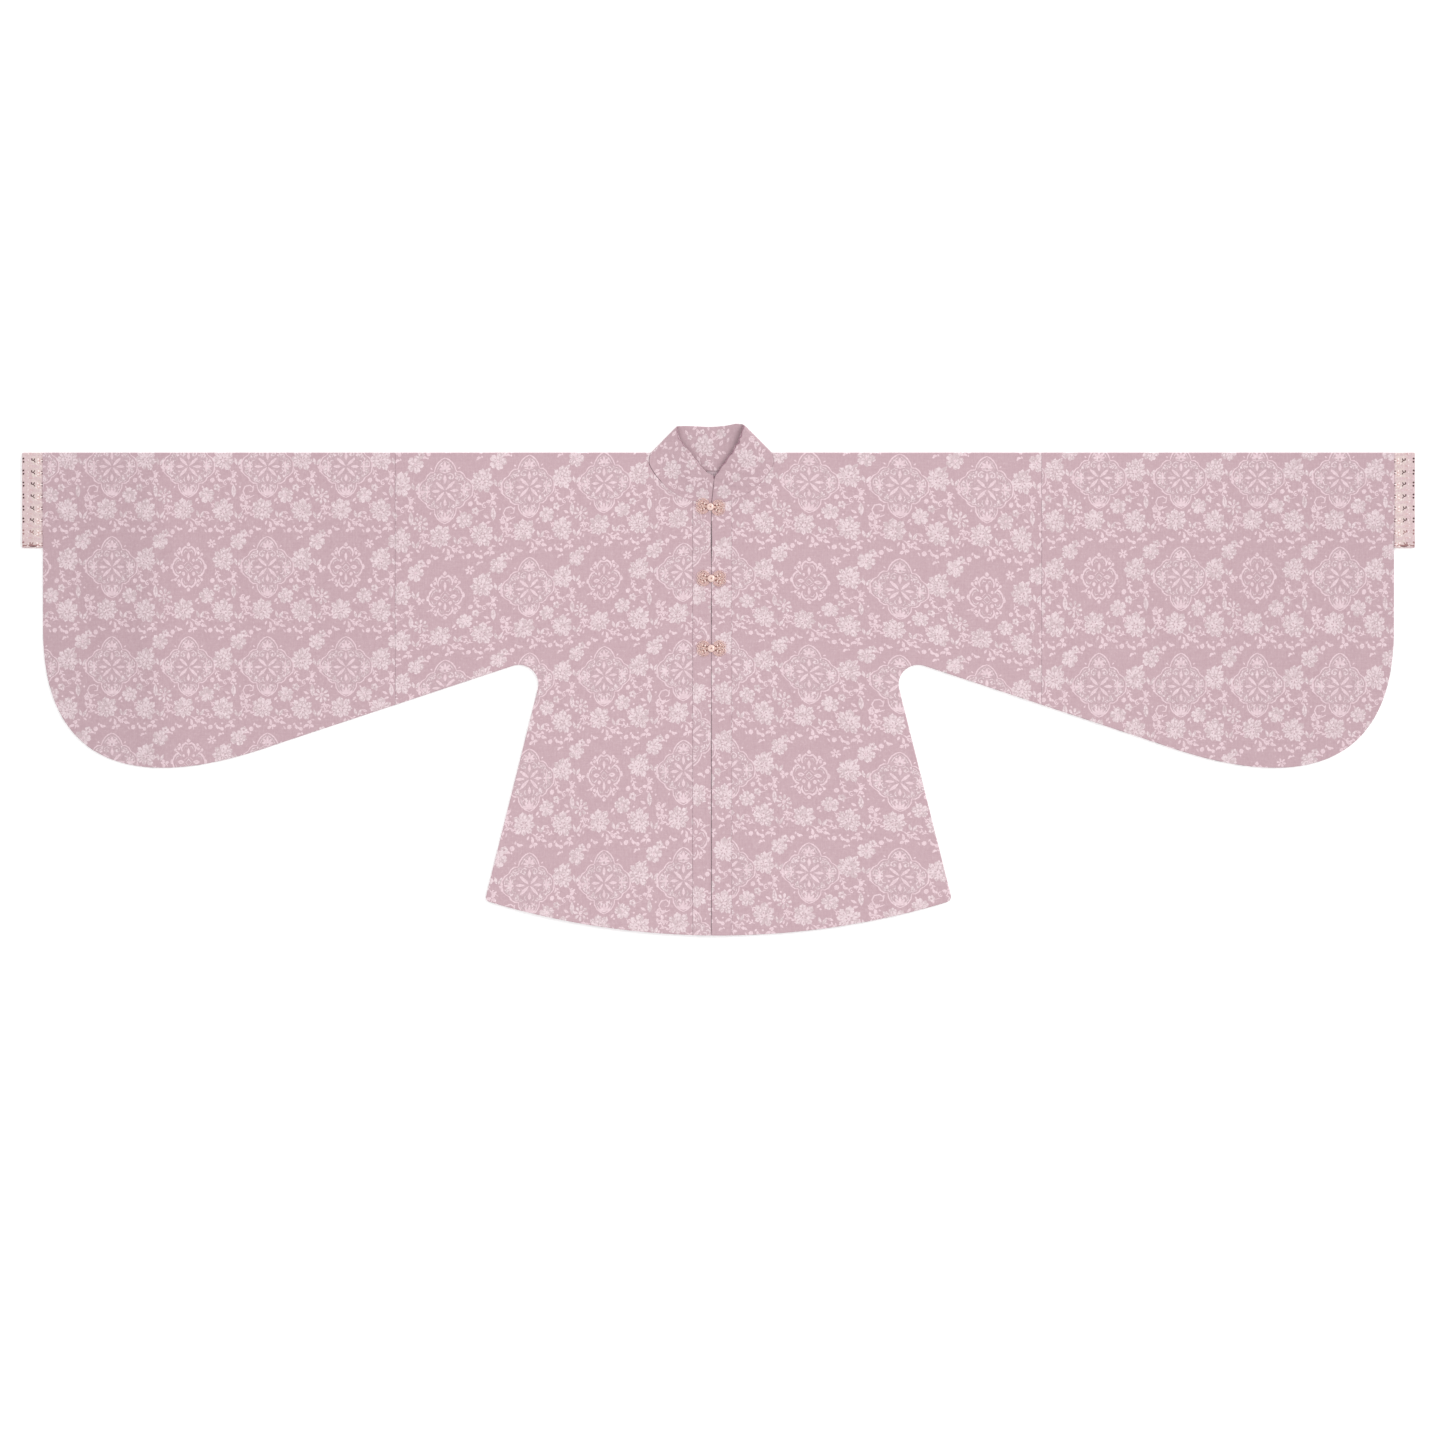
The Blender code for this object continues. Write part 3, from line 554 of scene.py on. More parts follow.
def ogee_medallion():
    """The pointed medallion: a scalloped line, a star of eight rays, and half flowers
    at its head, foot and sides, with hooks and dots between them."""
    whole = OGEE_HALF + [(-x, y) for x, y in OGEE_HALF[-2:0:-1]]
    out = [(TINT, [(x * 0.96, y * 0.96) for x, y in whole])]
    for part in (OGEE_HALF[0:5], OGEE_HALF[4:8], OGEE_HALF[7:13], OGEE_HALF[12:17], OGEE_HALF[16:21]):
        out += mirrored([(LEAF, line(part, 1.3))])
    for part in (
        [(0.9, -28.2), (4.6, -25.6), (7.4, -21.0)],
        [(11.6, -17.0), (15.4, -15.8), (17.4, -12.0)],
        [(20.4, -8.0), (22.0, -4.4), (22.0, 0.2)],
        [(21.8, 4.0), (20.0, 8.0), (17.0, 11.0)],
        [(15.6, 14.6), (12.6, 16.4), (9.8, 15.6)],
        [(7.8, 20.2), (7.0, 24.2), (3.8, 27.6)],
    ):
        out += mirrored([(FLOWER, line(part, 0.9))])
    # the head and the foot: half flowers whose petals stand apart
    out += shift(palmette(5, 7.4, 168, 2.5, LEAF), (0, -20.6))
    out.append((LEAF, line([(-4.4, -18.8), (0, -17.4), (4.4, -18.8)], 1.1)))
    out += shift(palmette(5, 9.6, 118, 2.5, LEAF), (0, 30.0))
    out += mirrored([(LEAF, turn(petal(4.8, 2.2, 0.5, 3), -30, (1.2, 21.4))), (LEAF, line([(1.4, 18.6), (4.6, 19.8), (6.2, 22.6)], 1.0))])
    # the star
    for a, r0, r1, w in ((50, 0.8, 13.8, 3.1), (0, 4.2, 12.4, 3.2), (-47, 0.8, 12.6, 3.1)):
        at = (r0 * math.cos(math.radians(a)), r0 * math.sin(math.radians(a)))
        out += mirrored([(LEAF, turn(petal(r1 - r0, w, 0.45, 4), a, at))])
    out.append((LEAF, turn(petal(9.0, 2.9, 0.3, 4), -90, (0, -6.6))))
    out.append((LEAF, turn(petal(8.2, 3.1, 0.8, 4), 90, (0, 7.0))))
    # what fills the spaces between the rays
    out += mirrored(
        [
            (FLOWER, line([(2.2, -15.4), (4.8, -16.8), (7.2, -15.0), (7.4, -12.2), (5.6, -11.2)], 1.2)),
            (FLOWER, line([(9.2, -14.8), (12.2, -14.0), (13.4, -11.4), (12.0, -9.2)], 1.2)),
            (LEAF, turn(dot(1.2, 5), 0, (10.0, -11.6))),
            (FLOWER, turn(dot(1.0, 5), 0, (4.6, -13.2))),
            (FLOWER, line([(11.8, -6.6), (14.4, -6.0), (15.2, -3.4), (13.8, -1.6)], 1.2)),
            (FLOWER, turn(petal(5.2, 2.2, 0.6, 3), -48, (14.4, -9.2))),
            (FLOWER, line([(13.4, 2.0), (15.2, 4.0), (14.2, 6.8), (11.6, 7.0)], 1.2)),
            (FLOWER, turn(petal(5.2, 2.2, 0.6, 3), 40, (14.2, 8.4))),
            (FLOWER, turn(petal(4.4, 1.9, 0.6, 3), 86, (12.6, 11.2))),
            (LEAF, turn(dot(1.1, 5), 0, (9.0, 5.0))),
            (FLOWER, line([(3.6, 10.6), (4.4, 13.4), (2.8, 16.2)], 1.1)),
            (FLOWER, line([(9.4, 12.8), (10.4, 15.2), (7.6, 17.0), (5.4, 15.4)], 1.2)),
            (FLOWER, turn(dot(1.0, 5), 0, (7.6, 14.6))),
            (FLOWER, turn(petal(4.0, 1.9, 0.6, 3), -70, (10.4, -9.8))),
            (FLOWER, turn(petal(3.6, 1.7, 0.6, 3), -100, (2.0, -17.4))),
            (FLOWER, turn(petal(3.8, 1.8, 0.6, 3), 60, (9.8, 8.6))),
            (FLOWER, turn(petal(3.4, 1.6, 0.6, 3), 110, (5.4, 18.0))),
            (FLOWER, turn(petal(3.4, 1.5, 0.6, 3), 0, (13.0, -13.6))),
            (FLOWER, line([(16.4, -11.2), (18.4, -8.6), (17.4, -6.4)], 1.3)),
            (FLOWER, line([(18.2, 6.4), (17.8, 9.2), (15.6, 11.6)], 1.3)),
            (FLOWER, turn(petal(5.0, 2.3, 0.6, 3), 58, (9.2, 10.0))),
            (FLOWER, turn(petal(4.6, 2.1, 0.6, 3), -30, (18.0, -4.6))),
            (FLOWER, turn(petal(4.6, 2.1, 0.6, 3), 34, (18.0, 4.4))),
            (FLOWER, turn(petal(4.2, 2.1, 0.6, 3), -80, (9.4, -14.6))),
            (FLOWER, turn(petal(4.0, 2.1, 0.6, 3), -130, (5.6, -10.2))),
            (FLOWER, turn(petal(4.2, 2.0, 0.6, 3), 100, (3.0, 19.6))),
            (LEAF, turn(dot(1.3, 5), 0, (7.2, -7.6))),
        ]
    )
    # a half flower at each side
    fan = [(LEAF if a in (0, -76, 76) else FLOWER, turn(petal(6.6, 2.4, 0.65, 3), a, (15.8, 0.0))) for a in (-76, -38, 0, 38, 76)]
    fan.append((LEAF, turn(dot(1.3, 5), 0, (15.0, 0))))
    out += mirrored(fan)
    # little bells outside the shoulders
    out += mirrored([(LEAF, turn(petal(3.6, 1.9, 0.6, 3), 62, (13.6, 21.0))), (LEAF, turn(petal(3.2, 1.7, 0.6, 3), -40, (12.2, -22.0)))])
    return pinched(out)


def ring_medallion():
    """The oval medallion: four arches, a bead at each tip, three dots at each corner."""
    out = []
    for fy in (-1, 1):
        part = [
            (LEAF, line([(0.2, 17.4 * fy), (3.4, 18.6 * fy), (6.4, 16.4 * fy), (7.9, 13.2 * fy), (7.0, 10.2 * fy)], 1.9)),
            (LEAF, line([(17.6, 1.2 * fy), (16.4, 4.8 * fy), (13.6, 7.8 * fy), (10.2, 8.4 * fy)], 1.9)),
            (FLOWER, line([(1.2, 14.6 * fy), (3.8, 15.2 * fy), (5.2, 12.4 * fy)], 0.9)),
            (FLOWER, line([(14.6, 2.0 * fy), (13.2, 5.2 * fy), (10.4, 6.0 * fy)], 0.9)),
            (LEAF, turn(dot(1.7, 6), 0, (10.9, 12.9 * fy))),
            (LEAF, turn(dot(1.6, 6), 0, (9.9, 16.9 * fy))),
            (LEAF, turn(dot(1.6, 6), 0, (14.6, 11.8 * fy))),
            (LEAF, line([(7.8, 12.4 * fy), (9.0, 14.6 * fy), (9.4, 16.4 * fy)], 1.1)),
            (LEAF, line([(11.0, 9.0 * fy), (13.0, 10.0 * fy), (14.4, 11.4 * fy)], 1.1)),
            (LEAF, line([(11.0, 16.2 * fy), (13.4, 14.4 * fy)], 1.1)),
            (LEAF, turn(dot(1.95 if fy > 0 else 1.5, 7), 0, (5.5, 6.2 * fy))),
            (LEAF, line([(1.4, 4.6 * fy), (4.8, 1.8 * fy)], 0.9)),
        ]
        out += mirrored(part)
        out.append((LEAF, turn(petal(8.4, 3.3, 0.75, 4), 90 * fy, (0.0, 5.2 * fy))))
        out.append((LEAF, turn([(0, -2.2), (2.1, -0.2), (1.3, 1.7), (-1.3, 1.7), (-2.1, -0.2)], 0, (0.0, 20.9 * fy))))
    out += mirrored(
        [
            (LEAF, turn(petal(7.8, 4.0, 0.5, 4), 0, (4.6, 0.0))),
            (LEAF, turn([(0, -2.9), (1.8, -0.6), (1.5, 2.0), (-0.6, 2.7), (-1.6, 0.4)], 0, (18.5, -0.4))),
            (LINE, turn(petal(3.2, 0.8, 0.5, 3), 0, (6.8, 0.0))),
            (FLOWER, turn(petal(3.8, 1.6, 0.5, 3), -42, (7.8, -5.6))),
            (FLOWER, turn(petal(3.6, 1.5, 0.5, 3), 42, (8.0, 3.6))),
        ]
    )
    out.append((FLOWER, line([(-3.4, 0.6), (0, -2.6), (3.4, 0.6)], 1.0)))
    out.append((FLOWER, line([(-2.8, 1.0), (0, 3.2), (2.8, 1.0)], 0.9)))
    return out


def cell(kind, daisies):
    """All that belongs to one medallion's cell."""
    out = []
    # thin stems first, so that flowers lie on them, then sprays of small leaves
    for path in (
        [(41.6, 3.0), (44.2, 9.0), (40.8, 15.4)],
        [(1.6, 51.0), (6.0, 54.4), (12.6, 55.4)],
        [(26.4, 17.6), (32.2, 21.0), (36.6, 19.4)],
    ):
        out.append((FAINT, line(path, 0.85)))
    for x, y, a, n in (
        (44.8, 7.4, -30, 4.4), (41.4, 16.6, 20, 4.2), (36.4, -35.4, -70, 4.2), (12.4, -41.0, -50, 4.2),
        (16.0, -38.0, 60, 4.4), (43.4, 55.0, 10, 4.4), (8.8, 55.2, 90, 4.2), (60.2, 14.0, -20, 4.4),
        (31.2, 21.8, 110, 4.0), (24.4, 40.0, 10, 3.8), (-21.0, 50.2, 110, 4.4), (-19.0, 31.6, -70, 4.0),
        (56.6, 42.6, 60, 4.4),
    ):
        out.append((FAINT, turn(petal(n, 1.9, 0.5, 3), a, (x, y))))
    for at, a, size, flip in (
        ((27.0, 2.0), 60, 1.0, False),
        ((42.0, 4.0), 28, 0.8, False),
        ((22.0, 36.0), 40, 0.9, False),
        ((-9.0, 51.0), 40, 0.9, True),
        ((4.0, 52.0), 24, 1.1, False),
        ((26.0, 53.0), 26, 1.0, True),
        ((58.0, 36.0), 104, 0.9, False),
        ((-14.0, 40.0), 158, 0.85, False),
    ):
        out += shift(spray(size), at, a, flip=flip)
    if kind == "ogee":
        out += ogee_medallion()
    else:
        out += [(label, [(x * 0.92, y * 1.08) for x, y in p]) for label, p in ring_medallion()]
        out += shift(small_star(), (23.2, -23.4))
    out += shift(leaf(9.6, 4.2, FLOWER), (42.8, -20.0), 132)
    out += shift(mid_blossom(5, 8.6, -70), (49.6, -25.4))
    out += shift(dot_flower(), (55.2, -33.8), size=1.15)
    out += shift(mid_blossom(5, 8.3, -100), (18.4, 28.6))
    out += shift(dot_flower(), (28.4, 20.6), size=1.1)
    out += shift(leaf(5.4, 2.6, LEAF, False), (10.0, 31.0), 130)
    out += shift(big_blossom(2, 1, 1.06), (34.8, -6.4))
    out += shift(big_blossom(-8, 2, 1.06), (-5.0, 43.4))
    out += shift(big_blossom(4, 3, 1.08), (34.8, 45.0))
    if daisies:
        out += shift(daisy(8, 8.0), (54.4, 29.4))
    else:
        if kind == "ogee":  # a large scroll before the next medallion
            out += shift([(LEAF, line([(5.4, 4.6), (1.2, 6.6), (-3.8, 5.0), (-5.8, 0.4), (-3.6, -4.2), (1.2, -5.4), (4.6, -2.8), (3.8, 0.8), (0.6, 1.2)], 1.3))], (60.4, 24.0))
        out += shift(trefoil(1.2), (57.0, 33.0), 160)
        out += shift(leaf(7.4, 3.2), (50.6, 30.0), 30)
        out += shift(leaf(5.6, 2.6, LEAF, False), (52.6, 36.0), 80)
    out += shift(leaf(13.6, 5.0, FLOWER), (45.4, 31.0), -92)
    out += shift(leaf(6.4, 2.8, LEAF, False), (41.6, 28.6), -150)
    out += shift(leaf(5.6, 2.6, LEAF, False), (43.0, 31.4), 160)
    # beside the blossoms: a pair of leaves each
    for at in ((49.6, -1.0), (49.8, 52.4), (11.6, 51.4)):
        out += shift(leaf(8.4, 3.2, FLOWER, False), at, -62)
        out += shift(leaf(7.8, 3.0, FLOWER, False), (at[0] - 1.2, at[1] - 0.6), -106)
        out += shift(leaf(4.6, 2.3, LEAF, False), (at[0] + 0.6, at[1] + 0.8), 40)
    out += shift(leaf(6.6, 2.6), (21.4, 46.8), 200)
    out += shift(leaf(7.0, 2.6), (-17.4, 45.6), 166)
    out += shift(leaf(5.6, 2.4, LEAF, False), (-18.4, 40.4), 196)
    # sprigs and buds
    out += shift(small_buds(), (26.4, -36.4), 10, 1.1)
    out += shift(small_buds(), (32.0, -31.6), 120, 0.9)
    out += shift(small_buds(), (-12.0, -36.4), -14, 1.1)
    out += shift(small_buds(), (-18.6, -33.0), 150, 0.85)
    out += shift(small_buds(), (28.4, 13.8), 8, 1.1)
    out += shift(trefoil(1.1), (3.6, -38.4), -14)
    out += shift(trefoil(1.1), (42.0, -39.4), 10)
    out += shift(trefoil(1.15), (43.6, 12.0), 24)
    out += shift(trefoil(1.0), (54.6, 1.4), -36)
    out += shift(curl(1.0), (35.2, 17.4), 160, flip=True)
    out += shift(curl(0.9), (-25.6, 27.6), 30)
    out += shift(leaf(5.6, 2.4, LEAF, False), (13.6, 57.4), 24)
    out += shift(leaf(5.0, 2.3, LEAF, False), (-2.4, 58.0), -66)
    out += shift(leaf(5.0, 2.2, LEAF, False), (4.4, 58.6), -120)
    out += shift(leaf(5.2, 2.2, LEAF, False), (39.6, 58.4), -28)
    out += shift(leaf(4.8, 2.2, LEAF, False), (53.4, 52.8), -70)
    out += [(LEAF, turn(dot(1.15, 5), 0, p)) for p in ((29.6, 30.6), (-17.6, 34.6), (33.6, 59.4), (47.6, 17.6), (-27.6, 20.4), (10.0, 36.0), (62.6, 48.0))]
    return out


def dot_flower():
    out = [(FLOWER, turn(dot(1.45, 5), 0, (2.0 * math.cos(a), 2.0 * math.sin(a)))) for a in [2 * math.pi * k / 5 for k in range(5)]]
    return out + [(LINE, dot(0.7, 4))]


def repeat_shapes():
    """One repeat of two by two cells; its only ring medallion is at the origin."""
    out = []
    for i, j, kind in ((0, 0, "ring"), (1, 0, "ogee"), (0, 1, "ogee"), (1, 1, "ogee")):
        at = (i * CELL_W, j * CELL_H)
        out += [(label, [(x + at[0], y + at[1]) for x, y in p]) for label, p in cell(kind, i == 1)]
    return out


# ------------------------------------------------------- figure outlines
class Outlines:
    """Lines between areas of different yarn: points, edges, and the yarn on each side."""

    def __init__(self, points, edges, left, right):
        self.points = np.asarray(points, float).reshape(-1, 2)
        self.edges = np.asarray(edges, int).reshape(-1, 2)
        self.left, self.right = np.asarray(left, int), np.asarray(right, int)


def outlines_of(shapes, width=None, height=None):
    """Keeps of these painted shapes only the lines that show. With a width and a
    height, the shapes repeat at that pitch and one repeat is returned."""
    points, edges, faces, labels = [], [], [], []
    reach = (-1, 0, 1) if width else (0,)
    for label, shape in shapes:
        loop, area = anticlockwise(shape)
        if area < 0.02:
            continue
        for i in reach:
            for j in reach:
                q = loop + (((i * width, j * height)) if width else (0.0, 0.0))
                if width and (
                    q[:, 0].max() < -1
                    or q[:, 0].min() > width + 1
                    or q[:, 1].max() < -1
                    or q[:, 1].min() > height + 1
                ):
                    continue
                faces.append(list(range(len(points), len(points) + len(q))))
                points += [tuple(p) for p in q]
                labels.append(label)
    if width:
        n = len(points)
        points += [(0, 0), (width, 0), (width, height), (0, height)]
        edges = [(n, n + 1), (n + 1, n + 2), (n + 2, n + 3), (n + 3, n)]
    out = delaunay_2d_cdt([Vector(p) for p in points], edges, faces, 0, 1e-4, True)
    flat = np.array([tuple(p) for p in out[0]])
    sides = {}
    for tri, inside in zip(out[2], out[5]):
        label = labels[max(inside)] if inside else GROUND
        label = GROUND if label == LINE else label
        if width:
            cx, cy = flat[tri].mean(0)
            if not (0 < cx < width and 0 < cy < height):
                continue
        for a, b in zip(tri, tri[1:] + tri[:1]):
            sides[a, b] = label
    kept, left, right = [], [], []
    for (a, b), label in sides.items():
        if a < b and (b, a) in sides and sides[b, a] != label:
            kept.append((a, b))
            left.append(label)
            right.append(sides[b, a])
    used = sorted({i for e in kept for i in e})
    back = {i: k for k, i in enumerate(used)}
    return Outlines(flat[used], [(back[a], back[b]) for a, b in kept], left, right)


def tiled(unit, width, height, tiles, place):
    """Repeats one repeat's outlines over these tiles; place maps chart points to the cut."""
    points, edges, left, right = [], [], [], []
    n = 0
    for i, j in tiles:
        points.append(place(unit.points + (i * width, j * height)))
        edges.append(unit.edges + n)
        left.append(unit.left)
        right.append(unit.right)
        n += len(unit.points)
    return Outlines(np.vstack(points), np.vstack(edges), np.hstack(left), np.hstack(right))


def clipped(lines, loop, margin=9.0):
    """Leaves out the lines that are well outside a loop."""
    low, high = loop.min(0) - margin, loop.max(0) + margin
    p = lines.points
    ok = (p > low).all(1) & (p < high).all(1)
    idx = np.flatnonzero(ok)
    within = contained(p[idx], loop)
    rest = idx[~within]
    ring = np.vstack([loop, loop[:1]])
    far = near_line(p[rest], ring)[0] > margin if len(rest) else np.zeros(0, bool)
    ok[rest[far]] = False
    keep = ok[lines.edges[:, 0]] & ok[lines.edges[:, 1]]
    edges = lines.edges[keep]
    used, edges = np.unique(edges, return_inverse=True)
    # the same point of two neighbouring tiles is one point
    _, first, same = np.unique(
        np.round(p[used], 3), axis=0, return_index=True, return_inverse=True
    )
    edges = same.reshape(-1)[edges.reshape(-1, 2)]
    whole = edges[:, 0] != edges[:, 1]
    return Outlines(p[used][first], edges[whole], lines.left[keep][whole], lines.right[keep][whole])


# ------------------------------------------------------- drawing one surface
class Flat:
    """A triangulated flat cut: its points, triangles, their yarns and its border."""


def inset(loop, by):
    """A closed loop moved inwards, mitred."""
    a, b, c = np.roll(loop, 1, axis=0), loop, np.roll(loop, -1, axis=0)
    d0 = (b - a) / np.linalg.norm(b - a, axis=1, keepdims=True)
    d1 = (c - b) / np.linalg.norm(c - b, axis=1, keepdims=True)
    n0 = np.stack([-d0[:, 1], d0[:, 0]], 1)
    n1 = np.stack([-d1[:, 1], d1[:, 0]], 1)
    n = n0 + n1
    n /= np.maximum((n * n).sum(1, keepdims=True), 0.5) / 2
    return b + n * by


def drawn(loop, figure=None, cell=8.0, insets=(0.35, 1.2, 2.6), rows=()):
    """Triangulates a cut with its figure. rows are extra straight lines, as the fold's."""
    loop = anticlockwise(loop)[0]
    points, edges, left, right = [], [], [], []
    if figure is not None:
        points = [tuple(p) for p in figure.points]
        edges = [tuple(e) for e in figure.edges]
        left, right = figure.left, figure.right
    count = len(edges)
    for by in insets:
        line = inset(loop, by)
        n = len(points)
        points += [tuple(p) for p in line]
        edges += [(n + k, n + (k + 1) % len(line)) for k in range(len(line))]
    for a, b in rows:
        n = len(points)
        steps = max(1, round(math.dist(a, b) / 12.0))
        points += [tuple(mix(np.array(a), np.array(b), k / steps)) for k in range(steps + 1)]
        edges += [(n + k, n + k + 1) for k in range(steps)]
    low, high = loop.min(0), loop.max(0)
    nx, ny = int((high[0] - low[0]) / cell) + 2, int((high[1] - low[1]) / (cell * 0.87)) + 2
    gx, gy = np.meshgrid(np.arange(nx), np.arange(ny))
    grid = np.stack([low[0] + (gx + 0.5 * (gy % 2)) * cell, low[1] + gy * cell * 0.87], 2)
    grid = grid.reshape(-1, 2)
    grid = grid[contained(grid, loop)]
    ring = np.vstack([loop, loop[:1]])
    grid = grid[near_line(grid, ring)[0] > max(insets[-1] if insets else 0.0, 0.35 * cell)]
    points += [tuple(p) for p in grid]
    n = len(points)
    points += [tuple(p) for p in loop]
    face = list(range(n, len(points)))
    out = delaunay_2d_cdt([Vector(p) for p in points], edges, [face], 0, 1e-4, True)
    flat = np.array([tuple(p) for p in out[0]])
    tris = np.array([t for t, inside in zip(out[2], out[5]) if inside], int)
    total = len(flat)

    def key(a, b):
        return np.minimum(a, b).astype(np.int64) * total + np.maximum(a, b)

    # yarns: from the lines' sides, then outwards to the rest of each area
    made = Flat()
    a, b = tris.ravel(), np.roll(tris, -1, axis=1).ravel()
    keys = key(a, b)
    label = np.full(len(tris), -1)
    barrier = np.zeros(0, np.int64)
    if count:
        src = np.array([e for e in edges[:count]], int)
        at = np.array(points)
        low_label, high_label, where = [], [], []
        for (i, j), ids in zip(out[1], out[4]):
            for k in ids:
                if k < count:
                    forward = (at[src[k, 1]] - at[src[k, 0]]) @ (flat[j] - flat[i]) > 0
                    if i > j:
                        forward = not forward
                    where.append((min(i, j), max(i, j)))
                    low_label.append(left[k] if forward else right[k])
                    high_label.append(right[k] if forward else left[k])
                    break
        where = np.array(where, int)
        barrier = key(where[:, 0], where[:, 1])
        order = np.argsort(barrier)
        barrier = barrier[order]
        low_label, high_label = np.array(low_label)[order], np.array(high_label)[order]
        pos = np.clip(np.searchsorted(barrier, keys), 0, len(barrier) - 1)
        found = barrier[pos] == keys
        tri_of = np.repeat(np.arange(len(tris)), 3)
        value = np.where(a < b, low_label[pos], high_label[pos])
        label[tri_of[found]] = value[found]
        order = np.argsort(keys, kind="stable")
        sk, st = keys[order], tri_of[order]
        pair = np.flatnonzero(sk[1:] == sk[:-1])
        one, two = st[pair], st[pair + 1]
        open_way = ~np.isin(sk[pair], barrier)
        one, two = one[open_way], two[open_way]
        for _ in range(400):
            grow = (label[one] < 0) & (label[two] >= 0)
            back = (label[two] < 0) & (label[one] >= 0)
            if not grow.any() and not back.any():
                break
            label[one[grow]] = label[two[grow]]
            label[two[back]] = label[one[back]]
    label[label < 0] = GROUND

    # drop unused points, and order the border
    used, tris = np.unique(tris, return_inverse=True)
    tris = tris.reshape(-1, 3)
    flat = flat[used]
    total = len(flat)
    a, b = tris.ravel(), np.roll(tris, -1, axis=1).ravel()
    keys = key(a, b)
    _, first, times = np.unique(keys, return_index=True, return_counts=True)
    rim = first[times == 1]
    after = dict(zip(a[rim].tolist(), b[rim].tolist()))
    start = min(after, key=lambda i: math.dist(flat[i], loop[0]))
    border, at = [start], after[start]
    while at != start:
        border.append(at)
        at = after[at]
    made.points, made.tris, made.label = flat, tris, label
    made.border = np.array(border)
    runs = np.linalg.norm(np.diff(flat[np.append(made.border, start)], axis=0), axis=1)
    made.along = np.concatenate([[0.0], np.cumsum(runs)])
    made.loop, made.ring = loop, ring
    return made


def zipped(one, two):
    """Triangles of a wall between two closed borders, each (indices, distances along it)."""
    (ia, sa), (ib, sb) = one, two
    sa, sb = np.asarray(sa) / sa[-1], np.asarray(sb) / sb[-1]
    n, m, i, j, out = len(ia), len(ib), 0, 0, []
    while i < n or j < m:
        if j >= m or (i < n and sa[i + 1] <= sb[j + 1]):
            out.append((ia[i % n], ib[j % m], ia[(i + 1) % n]))
            i += 1
        else:
            out.append((ia[i % n], ib[j % m], ib[(j + 1) % m]))
            j += 1
    return out


def shell(name, loop, outer, inner, figure=None, inner_figure=None, looks=None, cell=8.0, rows=(), roll=1.1, inner_roll=0.0, inner_cell=22.0, uv=None):
    """A thin closed cloth on a cut. outer and inner map cut points to places and
    normals, both pointing out of the cloth."""
    top = drawn(loop, figure, cell=cell, rows=rows)
    if inner_figure is not None:
        low = drawn(loop, inner_figure, cell=cell, rows=rows)
    else:
        low = drawn(loop, None, cell=inner_cell, insets=(1.2,) if inner_roll else (), rows=rows)
    places, normals = [], []
    for flat, surface, r in ((top, outer, roll), (low, inner, inner_roll)):
        place, normal = surface(flat.points)
        if r:
            place, normal = rolled(flat, surface, place, normal, r)
        places.append(place)
        normals.append(normal)
    n = len(top.points)
    wall = np.array(zipped((top.border, top.along), (low.border + n, low.along)))
    tris = np.vstack([top.tris, low.tris[:, ::-1] + n, wall])
    inner_label = low.label if inner_figure is not None else np.full(len(low.tris), LINING)
    label = np.concatenate([top.label, inner_label, np.full(len(wall), GROUND)])
    points, normal = np.vstack(places), np.vstack(normals)
    points[:, 2] = np.maximum(points[:, 2], 0.0)
    t = top.tris
    across = np.cross(points[t[:, 1]] - points[t[:, 0]], points[t[:, 2]] - points[t[:, 0]])
    if np.einsum("ij,ij->", across, normal[t[:, 0]]) < 0:
        tris = tris[:, ::-1]
    obj = to_object(name, points, tris, label, normal, looks or CLOTH_LOOKS)
    if uv:
        flat_uv = np.vstack([top.points, low.points])
        second = np.concatenate([np.zeros(len(top.tris)), np.ones(len(low.tris)), np.zeros(len(wall))])
        lay_out(obj, flat_uv, tris, second, uv, n)
    return obj, anticlockwise(loop)[1] * MM * MM


